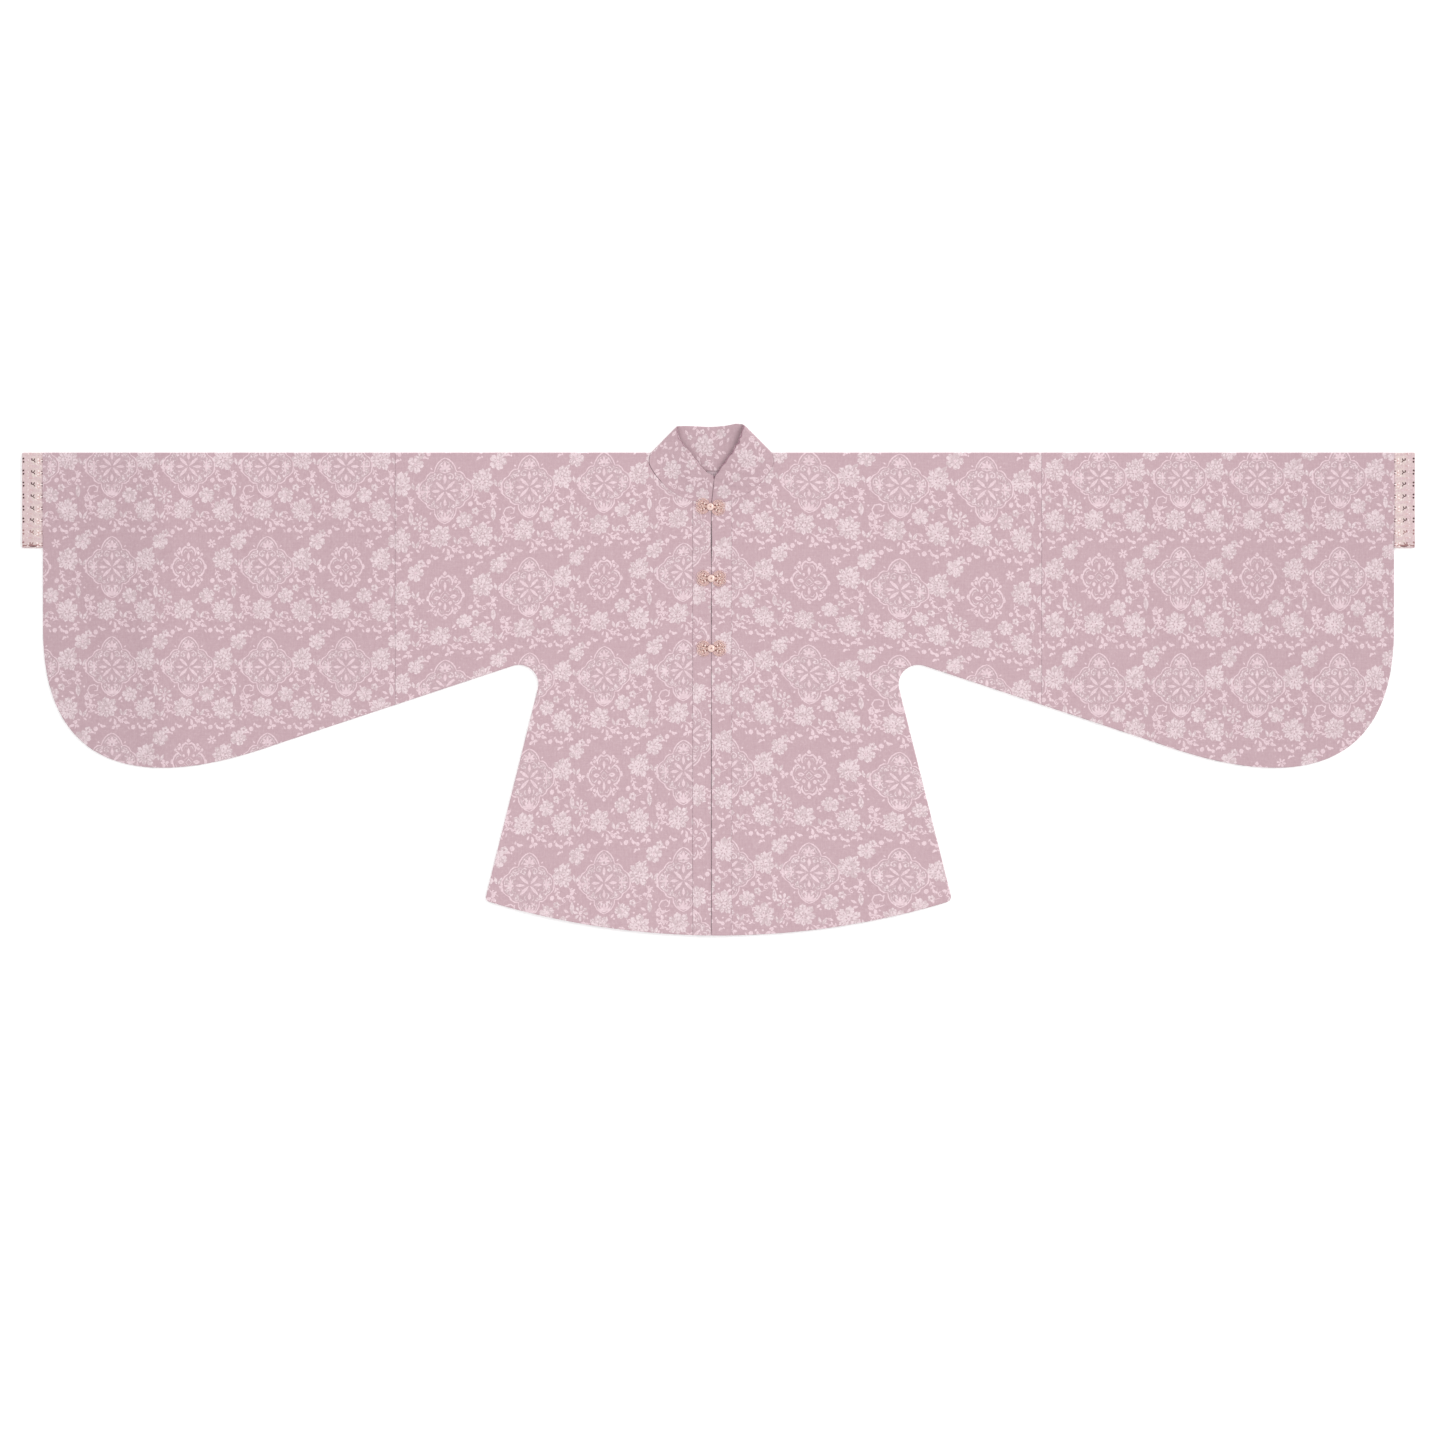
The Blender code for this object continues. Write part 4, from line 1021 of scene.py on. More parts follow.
def rolled(flat, surface, place, normal, roll):
    """Turns a surface down along its border, as a pressed edge does. roll is the
    radius, or a function of the cut points and their distance from the border."""
    ring = np.vstack([flat.loop, flat.loop[:1]])
    size = 4.0
    cells = set()
    for p, q in zip(ring, ring[1:]):
        for s in np.linspace(0, 1, max(2, int(math.dist(p, q) / 2.0) + 1)):
            c = np.floor(mix(p, q, s) / size).astype(int)
            cells.add((int(c[0]), int(c[1])))
    wide = {(i + di, j + dj) for i, j in cells for di in (-1, 0, 1) for dj in (-1, 0, 1)}
    code = np.floor(flat.points / size).astype(np.int64)
    code = code[:, 0] * 100003 + code[:, 1]
    wanted = np.array([i * 100003 + j for i, j in wide])
    near = np.flatnonzero(np.isin(code, wanted))
    d, way, _ = near_line(flat.points[near], ring)
    r = roll(flat.points[near]) if callable(roll) else np.full(len(near), float(roll))
    close = d < r
    near, d, way, r = near[close], d[close], way[close], r[close]
    inwards = way / np.maximum(np.linalg.norm(way, axis=1, keepdims=True), 1e-9)
    on = d < 1e-5
    if on.any():  # on the border itself the way in is square to it
        border = flat.points[flat.border]
        t = np.roll(border, -1, axis=0) - np.roll(border, 1, axis=0)
        t /= np.linalg.norm(t, axis=1, keepdims=True)
        lookup = np.full((len(flat.points), 2), 0.0)
        lookup[flat.border] = np.stack([-t[:, 1], t[:, 0]], 1)
        inwards[on] = lookup[near[on]]
    left = (r - d) / r
    drop = r * (1 - np.sqrt(np.clip(1 - left**2, 0, 1)))
    slope = np.clip(left / np.sqrt(np.clip(1 - left**2, 0.04, 1)), 0, np.where(r < 0.5, 0.5, 3.5))
    e = 0.2
    base = flat.points[near]
    px, _ = surface(base + (e, 0))
    pv, _ = surface(base + (0, e))
    p0 = place[near]
    tx, tv = (px - p0), (pv - p0)
    tx /= np.linalg.norm(tx, axis=1, keepdims=True)
    tv /= np.linalg.norm(tv, axis=1, keepdims=True)
    out = -(tx * inwards[:, :1] + tv * inwards[:, 1:])
    n0 = normal[near]
    place, normal = place.copy(), normal.copy()
    place[near] = p0 - n0 * drop[:, None] * 1.0
    turned_normal = n0 + out * slope[:, None]
    normal[near] = turned_normal / np.linalg.norm(turned_normal, axis=1, keepdims=True)
    return place, normal


def to_object(name, points, tris, label, normal, looks):
    """A mesh in metres with its own normals and one material slot for each yarn."""
    mesh = bpy.data.meshes.new(name)
    points = np.asarray(points) * MM
    mesh.vertices.add(len(points))
    mesh.vertices.foreach_set("co", points.astype(np.float32).ravel())
    mesh.loops.add(3 * len(tris))
    mesh.loops.foreach_set("vertex_index", np.asarray(tris, np.int32).ravel())
    mesh.polygons.add(len(tris))
    mesh.polygons.foreach_set("loop_start", np.arange(0, 3 * len(tris), 3, dtype=np.int32))
    kinds = sorted(set(np.asarray(label).tolist()))
    for kind in kinds:
        mesh.materials.append(looks[kind])
    slot_of = np.zeros(max(kinds) + 1, np.int32)
    for k, kind in enumerate(kinds):
        slot_of[kind] = k
    mesh.polygons.foreach_set("material_index", slot_of[np.asarray(label, int)])
    mesh.polygons.foreach_set("use_smooth", np.ones(len(tris), bool))
    mesh.update(calc_edges=True)
    mesh.validate(clean_customdata=False)
    if normal is not None and len(mesh.vertices) == len(normal):
        mesh.normals_split_custom_set_from_vertices(np.asarray(normal, np.float32).tolist())
    obj = bpy.data.objects.new(name, mesh)
    bpy.context.scene.collection.objects.link(obj)
    return obj


def lay_out(obj, flat, tris, second, uv, n):
    """The bake map: front, back and inner side next to each other."""
    mesh = obj.data
    if len(mesh.polygons) != len(tris):
        return
    layer = mesh.uv_layers.new(name="OFBake")
    corner = flat[tris]
    middle = corner.mean(1)
    low, high = flat.min(0), flat.max(0)
    span = high - low
    out = np.zeros((len(tris), 3, 2))
    if uv == "folded":  # front and back of a folded cut, then the lining
        front = middle[:, 1] >= 0
        half = max(high[1], -low[1])
        x = (corner[..., 0] - low[0]) / span[0]
        y = np.where(front[:, None], corner[..., 1], -corner[..., 1]) / (half + 4) * 0.97
        y = np.clip(y + 0.008, 0.001, 0.999)
        lane = np.where(second > 0, 2.0, np.where(front, 0.0, 1.0))
        width = np.where(second > 0, 0.055, 0.425)
        start = np.where(lane == 0, 0.005, np.where(lane == 1, 0.445, 0.885))
        start = start + np.where((second > 0) & ~front, 0.058, 0.0)
        out[..., 0] = start[:, None] + x * width[:, None]
        out[..., 1] = y
    else:  # two lanes
        x = (corner[..., 0] - low[0]) / span[0]
        y = (corner[..., 1] - low[1]) / span[1]
        if span[0] > span[1]:
            out[..., 0] = 0.01 + x * 0.98
            out[..., 1] = np.where(second[:, None] > 0, 0.51, 0.01) + y * 0.48
        else:
            out[..., 0] = np.where(second[:, None] > 0, 0.51, 0.01) + x * 0.48
            out[..., 1] = 0.01 + y * 0.98
    layer.data.foreach_set("uv", out.astype(np.float32).ravel())


# ---------------------------------------------------------------- materials
def srgb(r, g, b):
    """A colour given as 0 to 255, as linear light."""
    return tuple(
        c / 12.92 if c <= 0.04045 else ((c + 0.055) / 1.055) ** 2.4
        for c in (r / 255, g / 255, b / 255)
    )


def new_material(name):
    m = bpy.data.materials.new(name)
    m.use_nodes = True
    tree = m.node_tree
    tree.nodes.clear()
    out = tree.nodes.new("ShaderNodeOutputMaterial")
    shader = tree.nodes.new("ShaderNodeBsdfPrincipled")
    tree.links.new(shader.outputs["BSDF"], out.inputs["Surface"])
    return m, tree, shader


def node(tree, kind, inputs=None, **facts):
    n = tree.nodes.new(kind)
    for k, v in facts.items():
        setattr(n, k, v)
    for k, v in (inputs or {}).items():
        if isinstance(v, bpy.types.NodeSocket):
            tree.links.new(v, n.inputs[k])
        else:
            n.inputs[k].default_value = v
    return n


def math_node(tree, operation, a, b=0.0, c=0.0):
    return node(tree, "ShaderNodeMath", {0: a, 1: b, 2: c}, operation=operation).outputs[0]


def tone(tree, factor, a, b):
    n = node(tree, "ShaderNodeMix", data_type="RGBA", blend_type="MIX")
    tree.links.new(factor, n.inputs[0])
    for socket, value in ((n.inputs[6], a), (n.inputs[7], b)):
        if isinstance(value, bpy.types.NodeSocket):
            tree.links.new(value, socket)
        else:
            socket.default_value = (*value, 1.0)
    return n.outputs[2]


def noise(tree, vector, scale, detail=2.0, roughness=0.5):
    n = node(tree, "ShaderNodeTexNoise", {"Vector": vector, "Scale": scale, "Detail": detail, "Roughness": roughness})
    return n.outputs["Fac"]


def stretched(tree, vector, x, y, z=1.0, turn_z=0.0):
    n = node(tree, "ShaderNodeMapping", {"Vector": vector, "Scale": (x, y, z), "Rotation": (0, 0, turn_z)})
    return n.outputs["Vector"]


def ramp(tree, value, low, high):
    n = node(tree, "ShaderNodeMapRange", {"Value": value, "From Min": low, "From Max": high})
    return n.outputs["Result"]


def jacquard(name, colour, deeper, paler, roughness, sheen, floats, fleck=0.5, bump=0.35, thread=0.00042, veins=0.0, vein=None):
    """Woven yarn: floats is 0 where the warp shows, as a satin, and 1 where the weft does.
    veins is how much its floats are broken by fine lines of another tone."""
    m, tree, shader = new_material(name)
    place = node(tree, "ShaderNodeTexCoord").outputs["Object"]
    # slow unevenness of dye and nap, then slubs along both yarns
    cloudy = noise(tree, place, 7.0, 3.0, 0.55)
    slub_x = noise(tree, stretched(tree, place, 60, 900, 60), 1.0, 2.0)
    slub_y = noise(tree, stretched(tree, place, 900, 60, 60), 1.0, 2.0)
    speck = noise(tree, place, 620.0, 2.0, 0.6)
    mottle = noise(tree, stretched(tree, place, 330, 250, 250), 1.0, 2.0, 0.65)
    streak = math_node(tree, "ADD", slub_x, slub_y)
    first = tone(tree, ramp(tree, cloudy, 0.3, 0.7), colour, mix(np.array(colour), np.array(deeper), 0.35))
    second = tone(tree, ramp(tree, streak, 0.8, 1.25), first, deeper)
    third = tone(tree, ramp(tree, speck, 0.52, 0.52 + 0.4 / max(fleck, 0.01)), second, paler)
    third = tone(tree, ramp(tree, mottle, 0.42, 0.2), third, mix(np.array(colour), np.array(deeper), 1.5))
    third = tone(tree, ramp(tree, mottle, 0.56, 0.86), third, paler)
    if veins:
        edge = node(tree, "ShaderNodeTexVoronoi", {"Vector": place, "Scale": 190.0}, feature="DISTANCE_TO_EDGE").outputs["Distance"]
        thin = ramp(tree, edge, 0.20, 0.07)
        patch = ramp(tree, noise(tree, place, 120.0, 2.0), 0.3, 0.55)
        third = tone(tree, math_node(tree, "MULTIPLY", math_node(tree, "MULTIPLY", thin, patch), veins), third, vein)
    # painted shade: the cloth darkens towards both sleeve ends, most at the wearer's right one
    across = node(tree, "ShaderNodeSeparateXYZ", {"Vector": place}).outputs["X"]
    across = math_node(tree, "MULTIPLY_ADD", math_node(tree, "SUBTRACT", cloudy, 0.5), 0.10, across)
    painted_shade = math_node(tree, "MULTIPLY", ramp(tree, across, -0.77, -0.83), 0.55)
    painted_shade = math_node(tree, "MULTIPLY_ADD", ramp(tree, across, -0.30, -0.55), 0.4, painted_shade)
    painted_shade = math_node(tree, "MULTIPLY_ADD", ramp(tree, across, 0.45, 0.95), 0.42, painted_shade)
    # and painted shadow inside the back of the collar beside the wearer's left side fold, with softer painted shade
    # round the whole collar
    near = node(tree, "ShaderNodeVectorMath", {0: place, 1: (0.0215, 0.353, 0.002)}, operation="DISTANCE").outputs["Value"]
    painted_shade = math_node(tree, "ADD", painted_shade, ramp(tree, near, 0.018, 0.004))
    near = node(tree, "ShaderNodeVectorMath", {0: place, 1: (-0.004, 0.325, 0.005)}, operation="DISTANCE").outputs["Value"]
    painted_shade = math_node(tree, "MULTIPLY_ADD", ramp(tree, near, 0.105, 0.06), 0.6, painted_shade)
    darker = node(tree, "ShaderNodeMix", data_type="RGBA", blend_type="MULTIPLY")
    tree.links.new(painted_shade, darker.inputs[0])
    tree.links.new(third, darker.inputs[6])
    darker.inputs[7].default_value = (0.90, 0.90, 0.905, 1.0)
    tree.links.new(darker.outputs[2], shader.inputs["Base Color"])
    # the threads themselves
    warp = node(tree, "ShaderNodeTexWave", {"Vector": place, "Scale": 2 * math.pi / (20 * thread), "Distortion": 2.6, "Detail": 2.0, "Detail Scale": 1.4}, wave_type="BANDS", bands_direction="X").outputs["Fac"]
    weft = node(tree, "ShaderNodeTexWave", {"Vector": place, "Scale": 2 * math.pi / (20 * thread * 1.25), "Distortion": 2.6, "Detail": 2.0, "Detail Scale": 1.4}, wave_type="BANDS", bands_direction="Y").outputs["Fac"]
    cloth = math_node(tree, "ADD", math_node(tree, "MULTIPLY", warp, 0.7 * (1.0 - 0.7 * floats)), math_node(tree, "MULTIPLY", weft, 0.7 * (0.3 + 0.7 * floats)))
    high = math_node(tree, "ADD", cloth, math_node(tree, "MULTIPLY", streak, 1.4))
    high = math_node(tree, "ADD", high, math_node(tree, "MULTIPLY", mottle, 1.2))
    bumped = node(tree, "ShaderNodeBump", {"Height": high, "Strength": bump, "Distance": 0.00012})
    tree.links.new(bumped.outputs["Normal"], shader.inputs["Normal"])
    rough = node(tree, "ShaderNodeMapRange", {"Value": streak, "From Min": 0.7, "From Max": 1.3, "To Min": roughness - 0.05, "To Max": roughness + 0.07})
    tree.links.new(rough.outputs["Result"], shader.inputs["Roughness"])
    shader.inputs["Specular IOR Level"].default_value = 0.3
    shader.inputs["Sheen Weight"].default_value = sheen
    shader.inputs["Sheen Roughness"].default_value = 0.4
    shader.inputs["Sheen Tint"].default_value = (1.0, 0.93, 0.95, 1.0)
    return m


def metal(name, colour, deeper, roughness, metallic=1.0, coat=0.0):
    m, tree, shader = new_material(name)
    place = node(tree, "ShaderNodeTexCoord").outputs["Object"]
    worn = noise(tree, place, 900.0, 3.0)
    tree.links.new(tone(tree, ramp(tree, worn, 0.35, 0.7), colour, deeper), shader.inputs["Base Color"])
    rough = node(tree, "ShaderNodeMapRange", {"Value": noise(tree, place, 2600.0, 2.0), "To Min": roughness - 0.08, "To Max": roughness + 0.12})
    tree.links.new(rough.outputs["Result"], shader.inputs["Roughness"])
    bumped = node(tree, "ShaderNodeBump", {"Height": worn, "Strength": 0.25, "Distance": 0.0001})
    tree.links.new(bumped.outputs["Normal"], shader.inputs["Normal"])
    shader.inputs["Metallic"].default_value = metallic
    shader.inputs["Coat Weight"].default_value = coat
    return m


LINING, BROWN, PALE, GOLD, SHADE = 4, 5, 6, 7, 10
CLOTH_LOOKS = {
    GROUND: jacquard("ground_satin", srgb(199, 170, 177), srgb(191, 160, 168), srgb(211, 186, 192), 0.5, 0.06, 0.0, 0.5, 0.22),
    FLOWER: jacquard("figure_weft", srgb(235, 216, 220), srgb(222, 201, 206), srgb(245, 230, 234), 0.62, 0.06, 1.0, 0.6, 0.3, veins=0.8, vein=srgb(198, 176, 180)),
    LEAF: jacquard("figure_rose", srgb(235, 211, 217), srgb(224, 198, 205), srgb(244, 226, 230), 0.58, 0.06, 0.7, 0.6, 0.3, veins=0.35, vein=srgb(202, 175, 181)),
    TINT: jacquard("figure_field", srgb(204, 177, 184), srgb(195, 166, 173), srgb(219, 197, 202), 0.54, 0.12, 0.4, 0.8, 0.25, veins=0.7, vein=srgb(188, 160, 167)),
    FAINT: jacquard("figure_faint", srgb(233, 209, 215), srgb(221, 194, 201), srgb(241, 222, 227), 0.58, 0.10, 0.5, 0.6, 0.25, veins=0.5, vein=srgb(202, 174, 181)),
    # SHADE is painted shadow: dark strokes along the collar's front rims and dots at its corners
    SHADE: jacquard("rim_painted_shadow", srgb(166, 128, 141), srgb(150, 112, 126), srgb(188, 152, 164), 0.6, 0.1, 0.0, 0.6, 0.3),
    LINING: jacquard("lining", srgb(214, 190, 197), srgb(205, 180, 188), srgb(222, 200, 207), 0.5, 0.08, 0.2, 0.2, 0.2, 0.0003),
}
TRIM_LOOKS = {
    GROUND: jacquard("trim_ground", srgb(224, 198, 202), srgb(209, 178, 182), srgb(240, 221, 220), 0.6, 0.12, 0.5, 1.4, 0.7, 0.0007, veins=0.35, vein=srgb(216, 200, 192)),
    FLOWER: jacquard("trim_beige", srgb(226, 207, 203), srgb(212, 190, 186), srgb(242, 229, 222), 0.6, 0.12, 0.6, 1.4, 0.7, 0.0007, veins=0.5, vein=srgb(230, 204, 206)),
    # the two sprig yarns also paint the shade of the fold at the cuff's foot
    BROWN: jacquard("trim_dark_sprig_and_fold_shade", srgb(88, 54, 56), srgb(72, 42, 44), srgb(120, 86, 84), 0.55, 0.05, 1.0, 0.5, 0.4),
    LEAF: jacquard("trim_faded_sprig_and_fold_shade", srgb(168, 126, 124), srgb(150, 110, 110), srgb(194, 160, 154), 0.55, 0.05, 1.0, 0.5, 0.4),
    PALE: jacquard("trim_blossom", srgb(252, 240, 238), srgb(246, 228, 226), srgb(255, 250, 248), 0.5, 0.12, 1.0, 0.5, 0.4),
    GOLD: jacquard("trim_gold", srgb(220, 174, 168), srgb(204, 154, 150), srgb(234, 200, 192), 0.4, 0.05, 1.0, 0.5, 0.4),
    LINING: CLOTH_LOOKS[LINING],
}
ROSE_GOLD = metal("rose_gold", srgb(250, 221, 212), srgb(232, 186, 174), 0.34, 0.28)
PALE_GOLD = metal("pale_gold", srgb(250, 230, 222), srgb(242, 212, 204), 0.34, 0.2, 0.2)
DARK_GOLD = metal("dark_gold", srgb(214, 182, 180), srgb(198, 160, 158), 0.55, 0.0)
# the darkest gold is painted shadow: dark beads where the filigree's gaps lie in shade
GAP_SHADOW_GOLD = metal("gold_gap_shadow", srgb(150, 98, 86), srgb(122, 76, 68), 0.45, 0.1)


# ---------------------------------------------------------------- outlines of the cut
def hem_depth(x):
    return FOLD_TO_HEM - (HEM_RADIUS - math.sqrt(HEM_RADIUS**2 - x * x))


def underarm_depth(x):
    return ARMPIT_DEPTH + UNDERARM_SLOPE * (x - ARMPIT_X)


def side_x(depth):
    return ARMPIT_X + SIDE_SLOPE * (depth - ARMPIT_DEPTH)


def hem_corner():
    x = side_x(FOLD_TO_HEM - 50)
    for _ in range(30):
        x = side_x(hem_depth(x))
    return x, hem_depth(x)


def sleeve_edge():
    """Sleeve end and curve, from the top fold round to the extension seam."""
    end = (SLEEVE_CURVE_END_X, underarm_depth(SLEEVE_CURVE_END_X))
    along = Vector((1.0, UNDERARM_SLOPE)).normalized() * SLEEVE_CURVE_END
    curve = bezier(
        (SLEEVE_END, SLEEVE_STRAIGHT),
        (SLEEVE_END, SLEEVE_STRAIGHT + SLEEVE_CURVE_START),
        (end[0] + along.x, end[1] + along.y),
        end,
        72,
    )
    down = [(SLEEVE_END, d) for d in spaced(FOLD_OUTER, SLEEVE_STRAIGHT)[1:-1]]
    last = EXTENSION_SEAM + SEAM / 2
    rest = [(x, underarm_depth(x)) for x in spaced(end[0], last)[1:]]
    return down + curve + rest


def body_edge():
    """Underarm, armpit, side seam and hem corner, from the extension seam down."""
    first = EXTENSION_SEAM - SEAM / 2
    corner = (ARMPIT_X, ARMPIT_DEPTH)
    hem = hem_corner()
    out = [(x, underarm_depth(x)) for x in spaced(first, ARMPIT_X + 52)]
    out += rounded(out[0], corner, hem, ARMPIT_RADIUS, 20)
    out += [(side_x(d), d) for d in spaced(ARMPIT_DEPTH + 56, hem[1] - 14)]
    out += rounded(
        (side_x(hem[1] - 50), hem[1] - 50),
        hem,
        (hem[0] - 50, hem_depth(hem[0] - 50)),
        HEM_CORNER_RADIUS,
        8,
    )
    return out


def coarse_sewn():
    """The sewn edges as the solids have them, for the hollow between the layers."""
    end = (SLEEVE_CURVE_END_X, underarm_depth(SLEEVE_CURVE_END_X))
    along = Vector((1.0, UNDERARM_SLOPE)).normalized() * SLEEVE_CURVE_END
    out = [(SLEEVE_END, CUFF_DEPTH), (SLEEVE_END, 195.0)]
    out += bezier(
        (SLEEVE_END, SLEEVE_STRAIGHT),
        (SLEEVE_END, SLEEVE_STRAIGHT + SLEEVE_CURVE_START),
        (end[0] + along.x, end[1] + along.y),
        end,
        14,
    )
    corner, hem = (ARMPIT_X, ARMPIT_DEPTH), hem_corner()
    start = (EXTENSION_SEAM, underarm_depth(EXTENSION_SEAM))
    out += [start, (ARMPIT_X + 52, underarm_depth(ARMPIT_X + 52))]
    out += rounded(start, corner, hem, ARMPIT_RADIUS, 7)
    return np.array([*out, (side_x(hem[1] - 14), hem[1] - 14)])


SEWN = coarse_sewn()


def layer_gap(x, depth):
    """Height of the hollow between back and front, which is crowned softly."""
    near = near_line(np.stack([np.abs(x), depth], 1), SEWN)[0]
    crown = mix(SEWN_GAP, CROWN_GAP, ease(near / CROWN_REACH))
    return mix(FOLD_GAP, crown, ease((depth - FOLD_OUTER) / FOLD_REACH))


# Soft creases of the front: (x, depth) to (x, depth), half width, height. A
# negative height is a trough. The cloth is pressed, so they are shallow.
CREASES = [
    ((-806, 8), (-800, 130), 16, 1.1),
    ((-800, 130), (-812, 430), 20, 1.5),
    ((-846, 40), (-838, 380), 26, -1.3),
    ((-912, 60), (-905, 300), 22, -1.2),
    ((-955, 150), (-930, 330), 16, 0.8),
    ((-745, 60), (-762, 330), 30, -0.6),
    ((-640, 20), (-655, 210), 26, 0.4),
    ((-566, 110), (-585, 330), 30, -0.5),
    ((-330, 40), (-300, 220), 26, 0.5),
    ((-262, 300), (-180, 400), 16, 0.7),
    ((-258, 330), (-196, 470), 22, -0.6),
    ((-292, 300), (-330, 180), 18, -0.5),
    ((-130, 420), (-160, 640), 34, 0.5),
    ((-70, 480), (-62, 680), 22, -0.5),
    ((45, 500), (58, 680), 24, 0.5),
    ((120, 380), (150, 620), 34, -0.5),
    ((262, 305), (186, 410), 16, 0.6),
    ((255, 345), (205, 500), 22, -0.6),
    ((290, 300), (345, 170), 20, -0.5),
    ((330, 60), (318, 200), 26, 0.4),
    ((520, 60), (540, 300), 30, 0.5),
    ((610, 90), (596, 330), 28, -0.5),
    ((700, 160), (690, 400), 34, 0.5),
    ((838, 60), (856, 370), 30, 0.6),
    ((900, 120), (890, 330), 24, -0.7),
    ((948, 200), (915, 360), 14, 0.6),
    ((-930, 372), (-846, 425), 12, 0.6),
    ((952, 352), (880, 410), 12, -0.6),
    ((-99, 70), (-120, 150), 14, -0.5),
    ((86, 64), (118, 128), 12, -0.6),
]
# and of the back, which lies on the table: only troughs, pressed up from below
BACK_CREASES = [
    ((-830, 60), (-818, 400), 24, -0.7),
    ((-700, 120), (-720, 340), 30, -0.5),
    ((-540, 60), (-560, 300), 26, -0.5),
    ((-300, 80), (-260, 250), 24, -0.6),
    ((-250, 320), (-190, 480), 22, -0.6),
    ((-110, 420), (-140, 660), 30, -0.5),
    ((20, 90), (10, 300), 26, -0.5),
    ((130, 380), (160, 640), 30, -0.6),
    ((256, 330), (200, 470), 20, -0.6),
    ((330, 70), (350, 230), 26, -0.5),
    ((560, 90), (545, 330), 28, -0.5),
    ((730, 80), (742, 380), 32, -0.6),
    ((880, 100), (868, 380), 26, -0.7),
]


def creased(x, depth, rows):
    """The height that these creases add at each point."""
    out = np.zeros(len(x))
    p = np.stack([x, depth], 1)
    for a, b, width, height in rows:
        a, b = np.array(a, float), np.array(b, float)
        d = b - a
        length = math.hypot(*d)
        t = ((p - a) @ d) / length**2
        side = ((p - a) @ np.array([-d[1], d[0]])) / length
        bend = 0.06 * length * np.sin(t * math.pi * 1.3)
        fade = ease(np.clip((t + 0.12) / 0.35, 0, 1)) * ease(np.clip((1.12 - t) / 0.35, 0, 1))
        out += height * fade * np.exp(-(((side - bend) / width) ** 2))
    return out


def slow_waves(x, depth):
    """The cloth is never quite level."""
    return (
        0.16 * np.sin(x / 61.0 + 1.3 + np.sin(depth / 97.0))
        + 0.13 * np.sin(depth / 47.0 + 0.7 + 1.3 * np.sin(x / 131.0))
        + 0.09 * np.sin((x + 0.6 * depth) / 29.0 + 2.1 * np.sin(x / 83.0))
    )


def folded_base(x, v, height, thickness):
    """Points at this height over the outer face of the cloth, round the top fold."""
    t = np.clip(v / FOLD_MIDDLE, -math.pi / 2, math.pi / 2)
    over = np.maximum(np.abs(v) - FOLD_HALF, 0.0)
    r = FOLD_OUTER - thickness + height
    y = -FOLD_OUTER + r * np.cos(t) - over
    z = FOLD_OUTER + r * np.sin(t)
    return np.stack([x, Y_FOLD + y, z], 1)


def cloth_height(x, v, extra):
    depth = np.maximum(np.abs(v) - FOLD_HALF, 0.0) + FOLD_OUTER
    on = ease((np.abs(v) - FOLD_HALF) / 25.0)
    front = v > 0
    out = np.zeros(len(x))
    f = np.flatnonzero(front)
    if len(f):
        gap = layer_gap(x[f], depth[f]) - FOLD_GAP
        out[f] = gap + on[f] * (creased(x[f], depth[f], CREASES) + slow_waves(x[f], depth[f]) + extra)
    b = np.flatnonzero(~front)
    if len(b):
        out[b] = on[b] * np.minimum(creased(x[b], depth[b], BACK_CREASES), 0.0)
    return out


def panel_surface(outer, extra=0.0, thickness=WALL):
    """The surface function of a folded panel's outer or inner face."""

    def surface(points):
        x, v = points[:, 0], points[:, 1]
        thick = 0.0 if outer else thickness
        e = 0.4
        h = cloth_height(x, v, extra)
        place = folded_base(x, v, h, thick)
        slope_x = (cloth_height(x + e, v, extra) - h) / e
        slope_v = (cloth_height(x, v + e, extra) - h) / e
        t = np.clip(v / FOLD_MIDDLE, -math.pi / 2, math.pi / 2)
        zero = np.zeros(len(x))
        n0 = np.stack([zero, np.cos(t), np.sin(t)], 1)
        tv = np.stack([zero, -np.sin(t), np.cos(t)], 1)
        normal = n0 - slope_v[:, None] * tv
        normal[:, 0] -= slope_x
        normal /= np.linalg.norm(normal, axis=1, keepdims=True)
        return place, normal if outer else -normal

    return surface


def cut_v(depth, face):
    return face * (max(depth - FOLD_OUTER, 0.0) + FOLD_HALF)


# ---------------------------------------------------------------- the woven figure
UNIT_W, UNIT_H = 2 * CELL_W, 2 * CELL_H
UNIT = outlines_of(repeat_shapes(), UNIT_W, UNIT_H)


def figure_for(name, loop):
    """The woven figure as it falls on this piece, clipped to its cut."""
    phase = PHASES[name]
    loop = anticlockwise(loop)[0]
    cols, rows, droop = phase["cols"], phase["rows"], phase["droop"]

    def place(chart):
        p = -chart if phase.get("turned") else chart
        col, row = p[:, 0] / CELL_W, p[:, 1] / CELL_H
        x = straight(cols, col, 79.3)
        y = straight(rows, row, 100.3)
        sink = np.interp(row, [d[0] for d in droop], [d[1] for d in droop])
        y = y + sink * (x - phase["about"])
        return np.stack([(x - FRAME_X) * STEP, (y - FRAME_FOLD) * STEP], 1)

    low, high = loop.min(0), loop.max(0)
    tiles = []
    for i in range(-14, 15):
        for j in range(-14, 15):
            corners = place(
                np.array([(i, j), (i + 1, j), (i, j + 1), (i + 1, j + 1)], float)
                * (UNIT_W, UNIT_H)
            )
            if (corners.max(0) > low - 20).all() and (corners.min(0) < high + 20).all():
                tiles.append((i, j))
    return clipped(tiled(UNIT, UNIT_W, UNIT_H, tiles, place), loop)


# ---------------------------------------------------------------- necklines
def neck_line(rows, side, by):
    """The neckline seam of these collar rows, moved away from the collar."""
    line = through([(OPENING_X + r[0], -r[1]) for r in rows], 8)
    return offset([tuple(p) for p in line], by)


